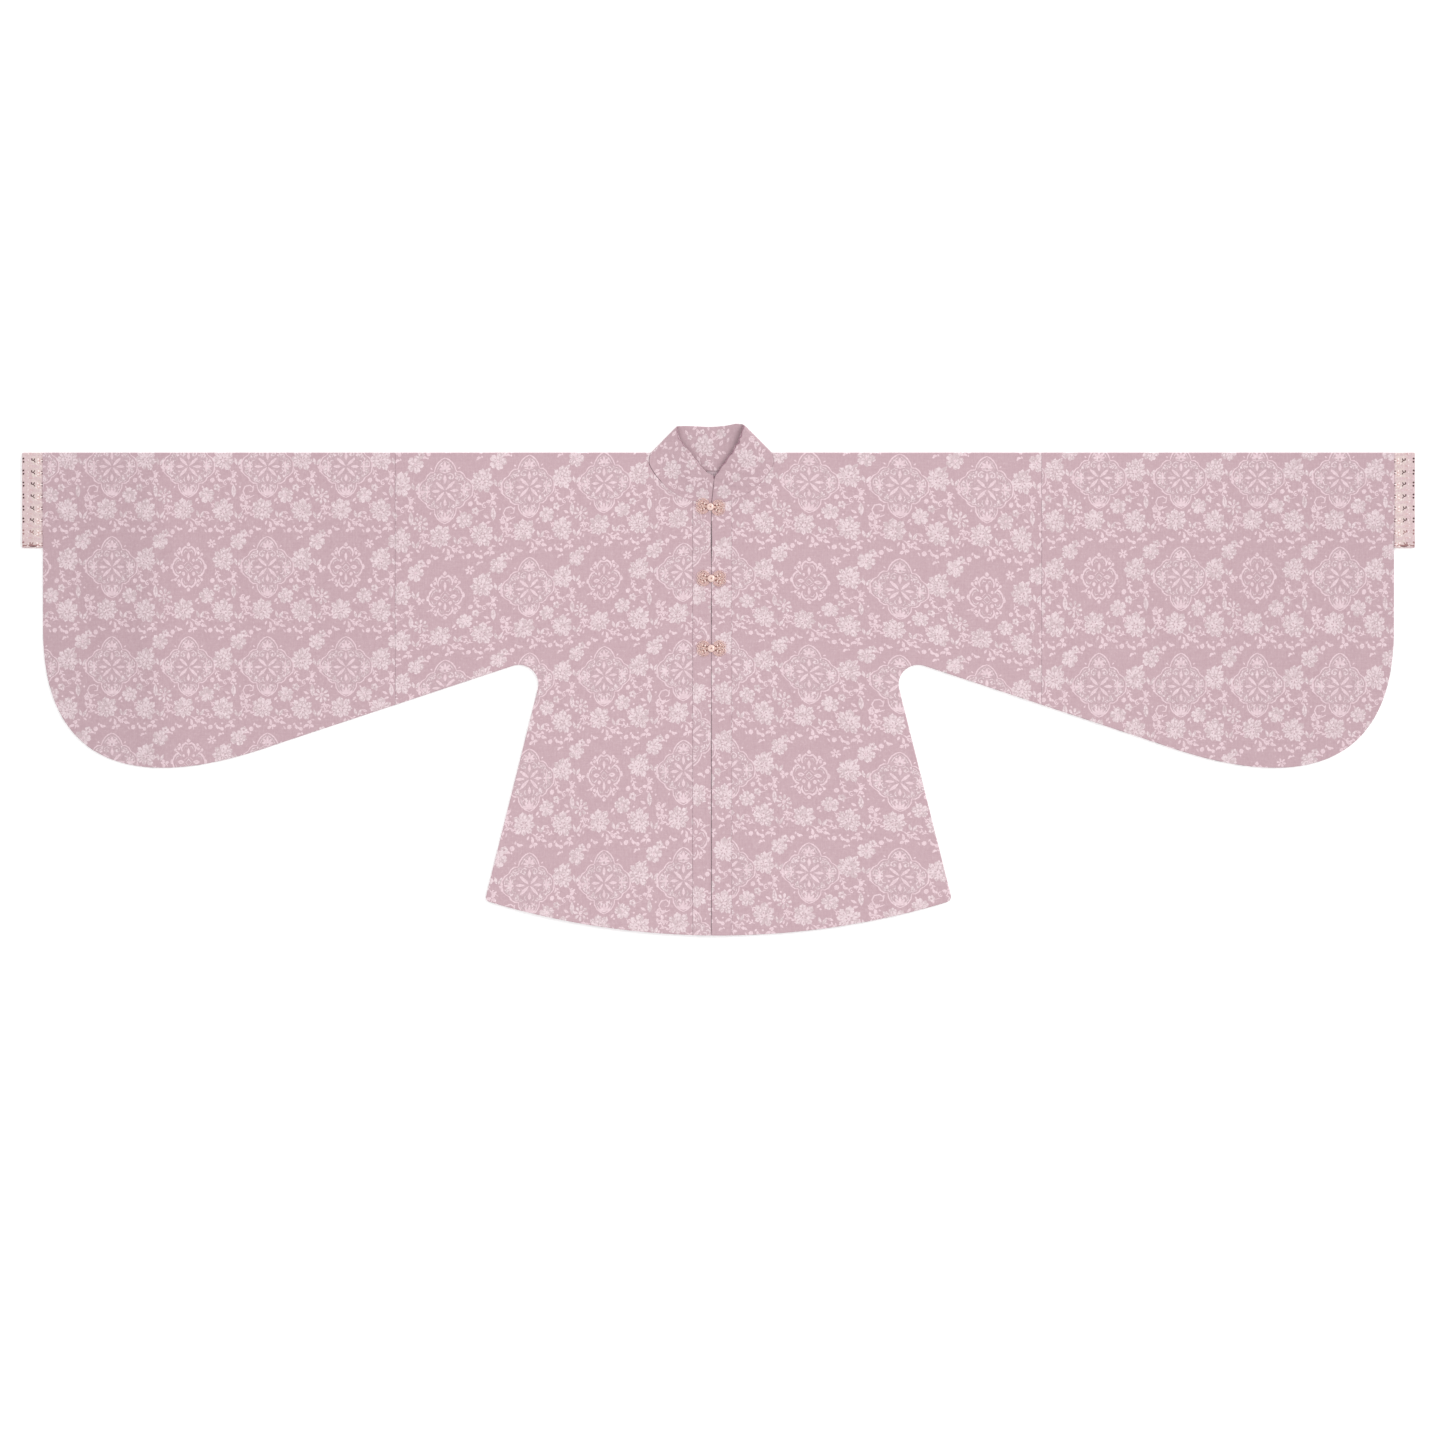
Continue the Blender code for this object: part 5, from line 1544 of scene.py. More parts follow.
def front_neck(side):
    rows = COLLAR_FRONT_RIGHT if side < 0 else COLLAR_FRONT_LEFT
    return neck_line(rows, side, side * SEAM / 2)


def back_neck(side):
    """From the top fold to the back seam, on the body's side of the seam."""
    rows = COLLAR_BACK[:4] if side < 0 else COLLAR_BACK[:2:-1]
    return neck_line(rows, side, side * SEAM / 2)


def cut_at(line, side, want):
    """The part of a neckline beyond this distance from the opening, and the part before."""
    dist = [abs(x - OPENING_X) for x, _ in line]
    for k in range(len(line) - 1):
        if dist[k] <= want < dist[k + 1]:
            t = (want - dist[k]) / (dist[k + 1] - dist[k])
            p = (OPENING_X + side * want, mix(line[k][1], line[k + 1][1], t))
            return [p, *line[k + 1 :]], [*line[: k + 1], p]
    return line, []


# ---------------------------------------------------------------- the panels
SHEETS = {}


def keep(obj, node_name, slot_name, area, flat, rests_on):
    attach(obj, "root")
    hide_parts(node_name)
    SHEETS[obj.name] = (obj, area, flat, rests_on)
    return obj


def box_of(loop):
    loop = np.asarray(loop)
    return tuple((loop.max(0) - loop.min(0)) * MM)


def edge_roll(seams, soft=1.1, crisp=0.3):
    """Crisp along these seams, each a test of the cut points, and soft elsewhere."""

    def roll(points):
        on = np.zeros(len(points), bool)
        for test in seams:
            on |= test(points[:, 0], points[:, 1])
        return np.where(on, crisp, soft)

    return roll


def body(name, side):
    """Front and back of one half, cut in one and folded over the shoulder."""
    band = BAND_WIDTH_RIGHT if side < 0 else BAND_WIDTH_LEFT
    seam_x = OPENING_X + side * (band + SEAM / 2)
    edge = [(side * x, d) for x, d in body_edge()]
    hem_end = edge[-1]
    neck_front = [p for p in cut_at(front_neck(side), side, band + SEAM / 2)[0] if p[1] > FOLD_OUTER + 1.5]
    neck_back = [p for p in back_neck(side) if p[1] > FOLD_OUTER + 1.5]
    back_x = OPENING_X + side * SEAM / 2
    neck_back[-1] = (back_x, neck_back[-1][1])
    point_x = OPENING_X + side * (abs(COLLAR_FRONT_LEFT[-1][0]) + SEAM / 2)
    outer_x = side * (EXTENSION_SEAM - SEAM / 2)

    def hem(to_x):
        return [(x, hem_depth(x)) for x in spaced(hem_end[0], to_x)[1:]]

    down = spaced(FOLD_OUTER, edge[0][1])[1:-1]
    loop = [(outer_x, v) for v in FOLD_ROWS]
    loop += [(outer_x, cut_v(d, 1)) for d in down]
    loop += [(x, cut_v(d, 1)) for x, d in edge + hem(seam_x)]
    loop += [(seam_x, cut_v(d, 1)) for d in spaced(hem_depth(seam_x), neck_front[0][1])[1:-1]]
    loop += [(x, cut_v(d, 1)) for x, d in neck_front]
    loop += [(point_x, v) for v in reversed(FOLD_ROWS)]
    loop += [(x, cut_v(d, -1)) for x, d in neck_back]
    loop += [(back_x, cut_v(d, -1)) for d in spaced(neck_back[-1][1], hem_depth(back_x))[1:-1]]
    loop += [(x, cut_v(d, -1)) for x, d in reversed(edge + hem(back_x))]
    loop += [(outer_x, cut_v(d, -1)) for d in reversed(down)]
    rows = [((outer_x - side * 0.5, v), (point_x + side * 0.5, v)) for v in FOLD_ROWS]
    seams = [
        lambda x, v: np.abs(x - outer_x) < 1.5,
        lambda x, v: (np.abs(x - seam_x) < 1.5) & (v > 0),
        lambda x, v: (np.abs(x - back_x) < 1.5) & (v < 0),
        lambda x, v: (np.abs(x - OPENING_X) < 92.0) & (np.abs(v) < 80.0),
    ]
    obj, area = shell(
        f"panel_{name}", loop, panel_surface(True), panel_surface(False),
        figure=figure_for(name, loop), rows=rows, roll=edge_roll(seams), uv="folded",
    )
    under = ["body_right", "body_left"]
    return keep(obj, name, "brocade", area, box_of(loop), under)


def sleeve(name, side):
    """The sleeve extension: front and back in one, folded along the top."""
    edge = [(side * x, d) for x, d in sleeve_edge()]
    inner_x = side * (EXTENSION_SEAM + SEAM / 2)
    outer_x = side * SLEEVE_END
    up = spaced(edge[-1][1], FOLD_OUTER)[1:-1]
    loop = [(inner_x, v) for v in reversed(FOLD_ROWS)]
    loop += [(inner_x, cut_v(d, -1)) for d in reversed(up)]
    loop += [(x, cut_v(d, -1)) for x, d in reversed(edge)]
    loop += [(outer_x, v) for v in FOLD_ROWS]
    loop += [(x, cut_v(d, 1)) for x, d in edge]
    loop += [(inner_x, cut_v(d, 1)) for d in up]
    rows = [((inner_x + side * 0.5, v), (outer_x - side * 0.5, v)) for v in FOLD_ROWS]
    seams = [
        lambda x, v: np.abs(x - inner_x) < 1.5,
        lambda x, v: (np.abs(x - outer_x) < 1.5) & (np.abs(v) < CUFF_DEPTH),
    ]
    obj, area = shell(
        f"panel_{name}", loop, panel_surface(True), panel_surface(False),
        figure=figure_for(name, loop), rows=rows, roll=edge_roll(seams), uv="folded",
    )
    return keep(obj, name, "brocade", area, box_of(loop), [name])


def front_band(name, side):
    """The strip beside the opening, from the collar seam to the hem."""
    band = BAND_WIDTH_RIGHT if side < 0 else BAND_WIDTH_LEFT
    seam_x = OPENING_X + side * (band - SEAM / 2)
    before = cut_at(front_neck(side), side, band - SEAM / 2)[1]
    top = [(OPENING_X + side * look_up(SLIT, 0.0), before[0][1]), *before[1:]]

    def slit_x(d):
        return OPENING_X + side * look_up(SLIT, d)

    loop = [(x, cut_v(d, 1)) for x, d in top]
    loop += [(seam_x, cut_v(d, 1)) for d in spaced(top[-1][1], hem_depth(seam_x))[1:]]
    mid = spaced(seam_x, slit_x(700.0))[1:-1]
    loop += [(x, cut_v(hem_depth(x), 1)) for x in mid]
    loop += [(slit_x(d), cut_v(d, 1)) for d in spaced(hem_depth(OPENING_X), top[0][1], 6.0)[:-1]]
    obj, area = shell(
        f"band_{name}", loop, panel_surface(True, BAND_CLOTH - CLOTH), panel_surface(False, BAND_CLOTH - CLOTH, 1.9),
        figure=figure_for(name, loop),
        roll=edge_roll([lambda x, v: np.abs(x - OPENING_X) > band - 2.0, lambda x, v: v < 80.0], 0.9), uv="strip",
    )
    body_name = "body_right" if side < 0 else "body_left"
    return keep(obj, name, "brocade", area, box_of(loop), [body_name])


# ---------------------------------------------------------------- cuffs
CUFF_RISE = 2 * CLOTH + CUFF_GAP
CUFF_FLAT = CUFF_DEPTH - CUFF_RISE  # the straight length of one layer
CUFF_ARC = math.pi * CUFF_RISE / 2
CUFF_GIRTH = 2 * CUFF_FLAT + 2 * CUFF_ARC - 0.4


def cuff_surface(side, outer):
    """x from the wrist inwards, w round the ring: under layer, top fold, upper layer."""

    def base(x, w, lift):
        r = CUFF_RISE / 2 - (0.0 if outer else WALL) + lift
        w = w + 0.2
        a, b, c = CUFF_FLAT, CUFF_FLAT + CUFF_ARC, 2 * CUFF_FLAT + CUFF_ARC
        depth = np.empty(len(x))
        z = np.empty(len(x))
        ny, nz = np.zeros(len(x)), np.zeros(len(x))
        mid = CUFF_RISE / 2
        for mask, kind in (
            (w < a, 0),
            ((w >= a) & (w < b), 1),
            ((w >= b) & (w < c), 2),
            (w >= c, 3),
        ):
            m = np.flatnonzero(mask)
            if kind == 0:
                depth[m], z[m] = CUFF_DEPTH - mid - w[m], mid - r[m]
                nz[m] = -1
            elif kind == 1:
                t = -math.pi / 2 + (w[m] - a) / mid
                depth[m], z[m] = mid - r[m] * np.cos(t), mid + r[m] * np.sin(t)
                ny[m], nz[m] = np.cos(t), np.sin(t)
            elif kind == 2:
                depth[m], z[m] = mid + (w[m] - b), mid + r[m]
                nz[m] = 1
            else:
                t = math.pi / 2 - (w[m] - c) / mid
                depth[m] = CUFF_DEPTH - mid + r[m] * np.cos(t)
                z[m] = mid + r[m] * np.sin(t)
                ny[m], nz[m] = -np.cos(t), np.sin(t)
        px = side * (HALF_SPAN - x)
        return np.stack([px, Y_FOLD - depth, z], 1), np.stack([0 * px, ny, nz], 1), depth

    def surface(points):
        x, w = points[:, 0], points[:, 1]

        def lift(x, w):
            upper = ease((w - CUFF_FLAT) / 20.0) * ease((CUFF_GIRTH - w) / 20.0)
            return upper * (
                0.35 * np.sin(w / 19.0 + x / 15.0)
                + 0.25 * np.sin(w / 8.3 + 1.0)
                + 0.5 * np.exp(-(((x - 3.0) / 3.0) ** 2))
            )

        place, n0, _ = base(x, w, lift(x, w))
        e = 0.3
        px, _, _ = base(x + e, w, lift(x + e, w))
        pw, _, _ = base(x, w + e, lift(x, w + e))
        n = np.cross(px - place, pw - place)
        n *= np.sign(np.einsum("ij,ij->i", n, n0))[:, None]
        n /= np.linalg.norm(n, axis=1, keepdims=True)
        return place, n if outer else -n

    return surface


def cuff_shapes():
    """Sprigs and blossoms woven in groups down the trim, and its two borders, with painted shade along the fold at its
    foot.
    """
    out = []
    top = CUFF_FLAT + CUFF_ARC - CUFF_RISE / 2 - 0.2  # where depth 0 of the upper layer is
    # a beige stripe with an uneven edge behind the groups
    w0, w1 = 2.0, CUFF_GIRTH - 2.0
    left = [(14.6 + 1.6 * math.sin(w / 2.7) + 1.1 * math.sin(w / 1.1), w) for w in spaced(w0, w1, 2.2)]
    right = [(27.4 + 0.8 * math.sin(w / 2.1 + 1), w) for w in spaced(w1, w0, 2.2)]
    out.append((FLOWER, left + right))
    # painted shade of the fold at the foot, as an uneven streak
    fold_shade_w = top + CUFF_DEPTH - 3.6
    out.append((LEAF, line([(3.0, fold_shade_w + 0.6), (9.0, fold_shade_w - 0.6), (15.0, fold_shade_w + 0.4), (21.0, fold_shade_w - 0.2), (27.0, fold_shade_w + 0.4)], 2.2)))
    out.append((BROWN, line([(11.0, fold_shade_w + 1.2), (16.0, fold_shade_w + 1.8), (22.0, fold_shade_w + 1.4)], 1.0)))
    for k in range(-8, 9):
        depth = 11.6 + 17.2 * k
        drift = -0.35 * k if k >= 0 else 0.0
        faded = k in (6, 7) or k < 0 and k % 5 == 0
        dark = LEAF if faded else BROWN
        w = top + depth
        if not 4 < w < CUFF_GIRTH - 5:
            continue
        wob = math.sin(k * 2.3)
        # pink patches between the groups break the stripe
        out.append((GROUND, turn(arc(3.6, 2.6, 0, 360, 9), 20, (18.8 + wob, w + 8.8))))
        out.append((GROUND, turn(arc(2.4, 1.8, 0, 360, 8), -30, (24.6 - wob, w - 8.0))))
        # the sprig: a stalk towards the wrist that forks towards the sleeve
        at = (16.6 + drift, w)
        out.append((dark, turn(line([(-3.4, -0.9), (-1.2, -0.4), (0.4, 0.1)], 1.6), 0, at)))
        out.append((dark, turn(line([(0.0, 0.0), (1.3, -1.6), (1.9, -3.3)], 1.6), 0, at)))
        out.append((dark, turn(line([(0.2, 0.2), (1.7, 1.2), (2.2, 3.0)], 1.5), 0, at)))
        out.append((dark, turn(dot(1.1, 7), 0, (at[0] - 2.4, at[1] - 2.3))))
        # the pair of dots at the outer edge
        out.append((dark, turn(dot(1.5, 7), 0, (2.1, w - 2.9))))
        out.append((dark, turn(dot(1.5, 7), 0, (2.3, w + 1.8))))
        # the small pale blossom by the sleeve: three petals round a rosy eye
        at = (25.0 + drift * 0.6, w + 0.4)
        for a in (-120, 0, 115):
            q = math.radians(a + 12 * wob)
            out.append((GOLD, turn(petal(4.9, 4.0, 0.6, 4), a + 12 * wob, (at[0] + 0.2 * math.cos(q), at[1] + 0.2 * math.sin(q)))))
            out.append((PALE, turn(petal(4.1, 3.1, 0.6, 4), a + 12 * wob, (at[0] + 0.7 * math.cos(q), at[1] + 0.7 * math.sin(q)))))
        out.append((GOLD, turn(dot(0.9, 6), 0, at)))
        out.append((GOLD, turn(line([(-3.2, 3.6), (-1.2, 4.2), (1.4, 4.2)], 0.7), 0, at)))
        out.append((PALE, turn(petal(3.4, 1.6, 0.5, 4), -150, (at[0] - 2.8, at[1] + 5.2))))
        out.append((PALE, turn(petal(3.0, 1.4, 0.5, 4), 20, (at[0] + 0.6, at[1] + 6.8))))
        # small marks between the groups
        out.append((GOLD, turn(line([(-4, 0), (-1, -0.8), (2, 0)], 0.7), 0, (13.2, w + 8.4))))
        out.append((PALE, turn(dot(0.9, 6), 0, (9.4 + drift, w + 7.6))))
        out.append((FLOWER, turn(arc(2.3, 1.5, 0, 360, 7), 40 * k, (8.0, w + 2.6))))
        out.append((PALE, turn(petal(3.2, 1.4, 0.5, 3), 65, (8.4, w - 2.2))))
        out.append((dark if k > 0 else LEAF, turn(dot(1.0, 6), 0, (28.6, w - 1.8))))
        out.append((dark, turn(dot(1.0, 6), 0, (28.8, w + 1.8))))
    return out


def cuff(name, side):
    loop = []
    loop += [(x, 0.0) for x in mix_list(0, CUFF_LENGTH, 6)[:-1]]
    loop += [(CUFF_LENGTH, w) for w in spaced(0, CUFF_GIRTH, 2.5)[:-1]]
    loop += [(x, CUFF_GIRTH) for x in mix_list(CUFF_LENGTH, 0, 6)[:-1]]
    loop += [(0.0, w) for w in spaced(CUFF_GIRTH, 0, 2.5)[:-1]]
    figure = outlines_of(cuff_shapes())
    rows = []
    for k in range(9):
        for start in (CUFF_FLAT, 2 * CUFF_FLAT + CUFF_ARC):
            w = start - 0.2 + CUFF_ARC * k / 8
            if w < CUFF_GIRTH:
                rows.append(((-0.5, w), (CUFF_LENGTH + 0.5, w)))
    obj, area = shell(
        f"trim_{name}", loop, cuff_surface(side, True), cuff_surface(side, False),
        figure=clipped(figure, anticlockwise(loop)[0]), looks=TRIM_LOOKS, cell=3.2, rows=rows,
        roll=edge_roll([lambda x, v: x > CUFF_LENGTH - 2.0], 0.9), inner_cell=8.0, uv="strip",
    )
    return keep(obj, name, "cuff_trim", area, box_of(loop), [name])


# ---------------------------------------------------------------- collar
COLLAR_LIFT = {-1: 1.6, 1: 2.8}  # how much more open each front rim stands


def clear_of(rows, tip, reach):
    """Leaves out the rows nearer than this to a fold's foot and rim."""
    return [
        r for r in rows
        if math.dist(r[:2], tip[:2]) > reach[0] and math.dist(r[2:4], tip[2:]) > reach[1]
    ]


def collar_stations():
    """Foot x, y, rim x, y, fold angle and side, from the right front's end to the left's."""
    gap = {-1: -0.06, 1: 0.02, 0: SEAM / 2 + 0.05}
    reach = {}
    for side in (-1, 1):
        reach[side] = [
            (mix(COLLAR_GAP_SEAM, COLLAR_GAP_RIM + COLLAR_LIFT[side], t)) / 2 + COLLAR_CLOTH + 1.2
            for t in (0, 1)
        ]

    def front(table, side, backwards):
        line = through(table, 10)
        foot = np.array(offset([(r[0], r[1]) for r in line], side * gap[side]))
        foot[0] = (side * 0.2, -73.9 + gap[side])
        line[0][2] += side * 0.2
        # at the right shoulder the seam gapes a little
        if side < 0:
            for f, r in zip(foot, line):
                f += 0.42 * ease((abs(r[0]) - 67) / 8) * np.array((r[2] - r[0], r[3] - r[1])) / 42.0
        out = [(*f, r[2], r[3], 90.0, side) for f, r in zip(foot, line)]
        out = clear_of(out, table[-1], reach[side])
        return out[::-1] if backwards else out

    back = through(COLLAR_BACK, 8)
    back_foot = np.array(offset([(r[0], r[1]) for r in back], gap[0]))
    back = [(*f, r[2], r[3], -90.0, 0) for f, r in zip(back_foot, back)]
    back = clear_of(back, COLLAR_FRONT_RIGHT[-1], reach[-1])
    back = clear_of(back, COLLAR_FRONT_LEFT[-1], reach[1])
    rows = front(COLLAR_FRONT_RIGHT, -1, False)
    rows += [(*COLLAR_FRONT_RIGHT[-1], a, -1) for a in range(90, -91, -15)]
    rows += back
    rows += [(*COLLAR_FRONT_LEFT[-1], a, 1) for a in range(-90, 91, 15)]
    rows += front(COLLAR_FRONT_LEFT, 1, True)
    return np.array(rows, float)


STATIONS = collar_stations()
COLLAR_HIGH = 41.0


def fold_runs():
    """For each side fold, its stations' numbers and those of its two neighbours."""
    out = []
    for table in (COLLAR_FRONT_RIGHT, COLLAR_FRONT_LEFT):
        on = np.flatnonzero(np.abs(STATIONS[:, :4] - table[-1]).max(1) < 1e-6)
        out.append((on, on[0] - 1, on[-1] + 1))
    return out


def _collar_points(t, outer):
    """Every station's point at these shares of the height, t (n,) -> (stations, n, 3)."""
    foot, rim = STATIONS[:, None, 0:2], STATIONS[:, None, 2:4]
    angle, side = STATIONS[:, 4], STATIONS[:, 5]
    t = np.asarray(t)[None, :, None]
    p = foot + (rim - foot) * t
    # the sides stand open by more than the solid's, the ends at the opening lie flat
    lift = np.where(side < 0, COLLAR_LIFT[-1], np.where(side > 0, COLLAR_LIFT[1], 0.0))
    lift = lift * ease(np.abs(STATIONS[:, 2]) / 34.0)
    open_by = mix(COLLAR_GAP_SEAM, COLLAR_GAP_RIM, ease(t[..., 0])) + lift[:, None] * ease(t[..., 0]) ** 1.5
    inner_r = open_by / 2
    outer_r = inner_r + COLLAR_CLOTH
    r = outer_r if outer else inner_r
    a = np.radians(angle)[:, None]
    xy = p.copy()
    for on, before, after in fold_runs():
        # a fold's ends run on into the stations beside it
        ways = []
        for k in (before, after):
            way = p[k] - p[on[0]]
            ways.append(way / np.linalg.norm(way, axis=1, keepdims=True))
        front, back = ways if STATIONS[before, 4] > 0 else ways[::-1]
        w = ((np.sin(a[on]) + 1) / 2)[..., None]
        way = back[None] * (1 - w) + front[None] * w
        way /= np.linalg.norm(way, axis=2, keepdims=True)
        xy[on] = p[on] + way * (outer_r - r * np.cos(a))[on][..., None]
    z = outer_r + r * np.sin(a)
    return np.concatenate([xy + (OPENING_X, Y_FOLD), z[..., None]], 2)


def collar_grid():
    """Distance along the seam of each station, at mid height."""
    mid = _collar_points([0.5], True)[:, 0]
    runs = np.linalg.norm(np.diff(mid, axis=0), axis=1)
    return np.concatenate([[0.0], np.cumsum(runs)])


COLLAR_RUN = collar_grid()
COLLAR_LONG = COLLAR_RUN[-1]
COLLAR_ROWS = np.linspace(0, 1, 13)
RIGHT_TO, LEFT_FROM = COLLAR_RUN[STATIONS[:, 4] < 0][[0, -1]]
FRONT_CREASE = np.array(
    [((x - FRAME_X) * STEP, (679.5 - y) * STEP) for x, y in ((716.0, 480.6), (722.0, 483.0), (729.0, 486.6), (736.0, 489.6), (748.0, 488.6), (762.0, 484.6))]
)


def collar_surface(outer):
    grid = _collar_points(COLLAR_ROWS, outer)  # (stations, rows, 3)

    def bulge(s, t):
        """The interfaced band bows a little, and its rims are soft."""
        wave = 0.35 * np.sin(s / 23.0 + 0.5) + 0.25 * np.sin(s / 11.0 + 2 * t)
        return (0.5 * np.sin(math.pi * np.clip(t, 0, 1)) + wave * ease(t) * 0.6) * 1.0

    def at(s, h):
        t = np.clip(h / COLLAR_HIGH, -0.02, 1.02)
        k = np.clip(np.searchsorted(COLLAR_RUN, s, side="right") - 1, 0, len(COLLAR_RUN) - 2)
        f = (s - COLLAR_RUN[k]) / (COLLAR_RUN[k + 1] - COLLAR_RUN[k])
        rows = len(COLLAR_ROWS) - 1
        j = np.clip(np.floor(t * rows).astype(int), 0, rows - 1)
        g = t * rows - j
        f, g = f[:, None], g[:, None]
        return (
            grid[k, j] * (1 - f) * (1 - g)
            + grid[k + 1, j] * f * (1 - g)
            + grid[k, j + 1] * (1 - f) * g
            + grid[k + 1, j + 1] * f * g
        )

    def normals(s, h):
        e = 1.2
        ps = at(np.clip(s + e, 0, COLLAR_LONG), h) - at(np.clip(s - e, 0, COLLAR_LONG), h)
        ph = at(s, np.clip(h + e, 0, COLLAR_HIGH)) - at(s, np.clip(h - e, 0, COLLAR_HIGH))
        n = np.cross(ps, ph)
        n /= np.linalg.norm(n, axis=1, keepdims=True)
        return n

    def surface(points):
        s, h = points[:, 0], points[:, 1]
        n = normals(s, h)
        place = at(s, h)
        # the right front is first: there the outer face looks up
        up = n if OUTER_SIGN > 0 else -n
        lift = bulge(s, h / COLLAR_HIGH) * np.clip(up[:, 2], 0, 1)
        place = place + up * lift[:, None]
        # the rims are a little crumpled
        rise = at(s, np.clip(h + 1.0, 0, COLLAR_HIGH)) - at(s, np.clip(h - 1.0, 0, COLLAR_HIGH))
        rise /= np.maximum(np.linalg.norm(rise, axis=1, keepdims=True), 1e-9)
        wild = np.where(s < COLLAR_LONG * 0.5, 0.3, ease((s - LEFT_FROM - 6.0) / 12.0))
        wild = wild * np.where((s > RIGHT_TO - 8.0) & (s < LEFT_FROM), 0.0, 1.0)
        much = wild * ease((h / COLLAR_HIGH - 0.82) / 0.18)
        much = much * ease(np.minimum(s, COLLAR_LONG - s) / 20.0)
        place = place + rise * (much * (0.7 * np.sin(s / 3.3) + 0.5 * np.sin(s / 1.7 + 1.0)))[:, None]
        ripple = 0.45 * much * np.clip(up[:, 2], 0, 1)
        place[:, 2] += ripple * np.sin(s / 2.3 + 0.4)
        e = 0.6
        slope = (bulge(s + e, h / COLLAR_HIGH) - bulge(s - e, h / COLLAR_HIGH)) / (2 * e) * np.clip(up[:, 2], 0, 1)
        ts = at(np.clip(s + e, 0, COLLAR_LONG), h) - at(np.clip(s - e, 0, COLLAR_LONG), h)
        ts /= np.maximum(np.linalg.norm(ts, axis=1, keepdims=True), 1e-9)
        up = up - ts * (slope + ripple * np.cos(s / 2.3 + 0.4) / 2.3)[:, None]
        # a soft crease across the left front, below its rim
        on = s > LEFT_FROM

        def crease(x, y):
            d = near_line(np.stack([x, y], 1), FRONT_CREASE)[0]
            return np.where(on, -0.6 * np.exp(-((d / 2.4) ** 2)) + 0.35 * np.exp(-(((d - 4.6) / 2.6) ** 2)), 0.0)

        x, y = place[:, 0].copy(), place[:, 1].copy()
        place[:, 2] += crease(x, y)
        up[:, 0] -= (crease(x + 0.5, y) - crease(x - 0.5, y)) * np.sign(up[:, 2])
        up[:, 1] -= (crease(x, y + 0.5) - crease(x, y - 0.5)) * np.sign(up[:, 2])
        up /= np.linalg.norm(up, axis=1, keepdims=True)
        return place, up if outer else -up

    return surface


def _outer_sign():
    p = _collar_points([0.4, 0.6], True)
    n = np.cross(p[3, 0] - p[2, 0], p[2, 1] - p[2, 0])
    return 1 if n[2] > 0 else -1


OUTER_SIGN = _outer_sign()


# What shows on the collar, by its place in the picture's steps from the fold's left end:
# kind, across, down, turn, size
COLLAR_FRONT_FIGURE = [
    ("stem", 664.0, 478.0, -50, 1.0), ("stem", 686.0, 452.0, 40, 1.0), ("stem", 741.0, 470.0, -20, 1.1),
    ("stem", 756.0, 462.0, -60, 1.0), ("big", 672.2, 470.5, 10, 0.92), ("leaf", 660.6, 464.6, -130, 0.9),
    ("leaf", 659.4, 469.6, 160, 0.8), ("bird", 665.0, 457.6, 20, 0.9), ("mid", 691.7, 464.6, -60, 0.72),
    ("leaf", 697.6, 470.6, 60, 0.7), ("leaf", 681.7, 452.0, 70, 0.9), ("leaf", 678.2, 447.0, 130, 0.8),
    ("leaf", 679.2, 438.0, -80, 0.8), ("leaf", 672.4, 447.4, 150, 0.7), ("star", 705.5, 481.0, 0, 0.72),
    ("star", 694.8, 479.8, 20, 0.5), ("mid", 689.4, 488.6, 0, 0.6), ("bud", 676.5, 487.4, 20, 0.8),
    ("leaf", 685.0, 477.0, 200, 0.7), ("leaf", 683.6, 461.0, 20, 0.7),
    ("big", 746.6, 459.6, -20, 0.98), ("mid", 735.6, 477.6, 30, 0.66), ("leaf", 742.4, 479.6, -20, 0.8),
    ("long", 748.0, 477.8, 4, 1.0), ("long", 750.4, 475.0, -50, 0.8), ("leaf", 752.6, 479.8, 30, 0.9),
    ("leaf", 731.6, 463.4, 80, 0.8), ("leaf", 734.6, 453.6, -50, 0.9), ("long", 744.4, 449.0, -50, 0.8),
    ("leaf", 738.4, 447.0, 150, 0.7), ("dots", 761.6, 459.6, 0, 1.1), ("leaf", 758.6, 452.0, -60, 0.8),
    ("leaf", 766.0, 464.0, 40, 0.8), ("bud", 768.4, 470.0, -30, 0.8), ("leaf", 748.6, 437.4, 60, 0.8),
    ("leaf", 753.6, 443.4, -100, 0.7), ("star", 763.0, 478.4, 0, 0.6), ("stem", 726.0, 470.0, 60, 0.8),
    ("stem", 700.0, 478.0, 150, 0.8), ("leaf", 668.0, 483.0, 30, 0.9), ("leaf", 755.0, 486.0, 200, 0.9),
    ("stem", 730.0, 494.0, -10, 1.0), ("mid", 724.0, 491.6, 10, 0.95), ("leaf", 741.0, 493.0, 30, 0.9),
    ("mid", 702.6, 494.6, -30, 0.9), ("leaf", 694.0, 496.0, 170, 0.9),
    ("leaf", 672, 436, -50, 0.9), ("bird", 664, 446, 30, 0.8), ("leaf", 677, 441, 100, 0.8), ("dots", 684, 449, 0, 0.9), ("leaf", 692, 460, 60, 0.8),
    ("leaf", 750, 436, 40, 0.9), ("dots", 757, 444, 0, 0.9), ("leaf", 745, 447, 110, 0.8), ("leaf", 762, 452, -30, 0.8),
]
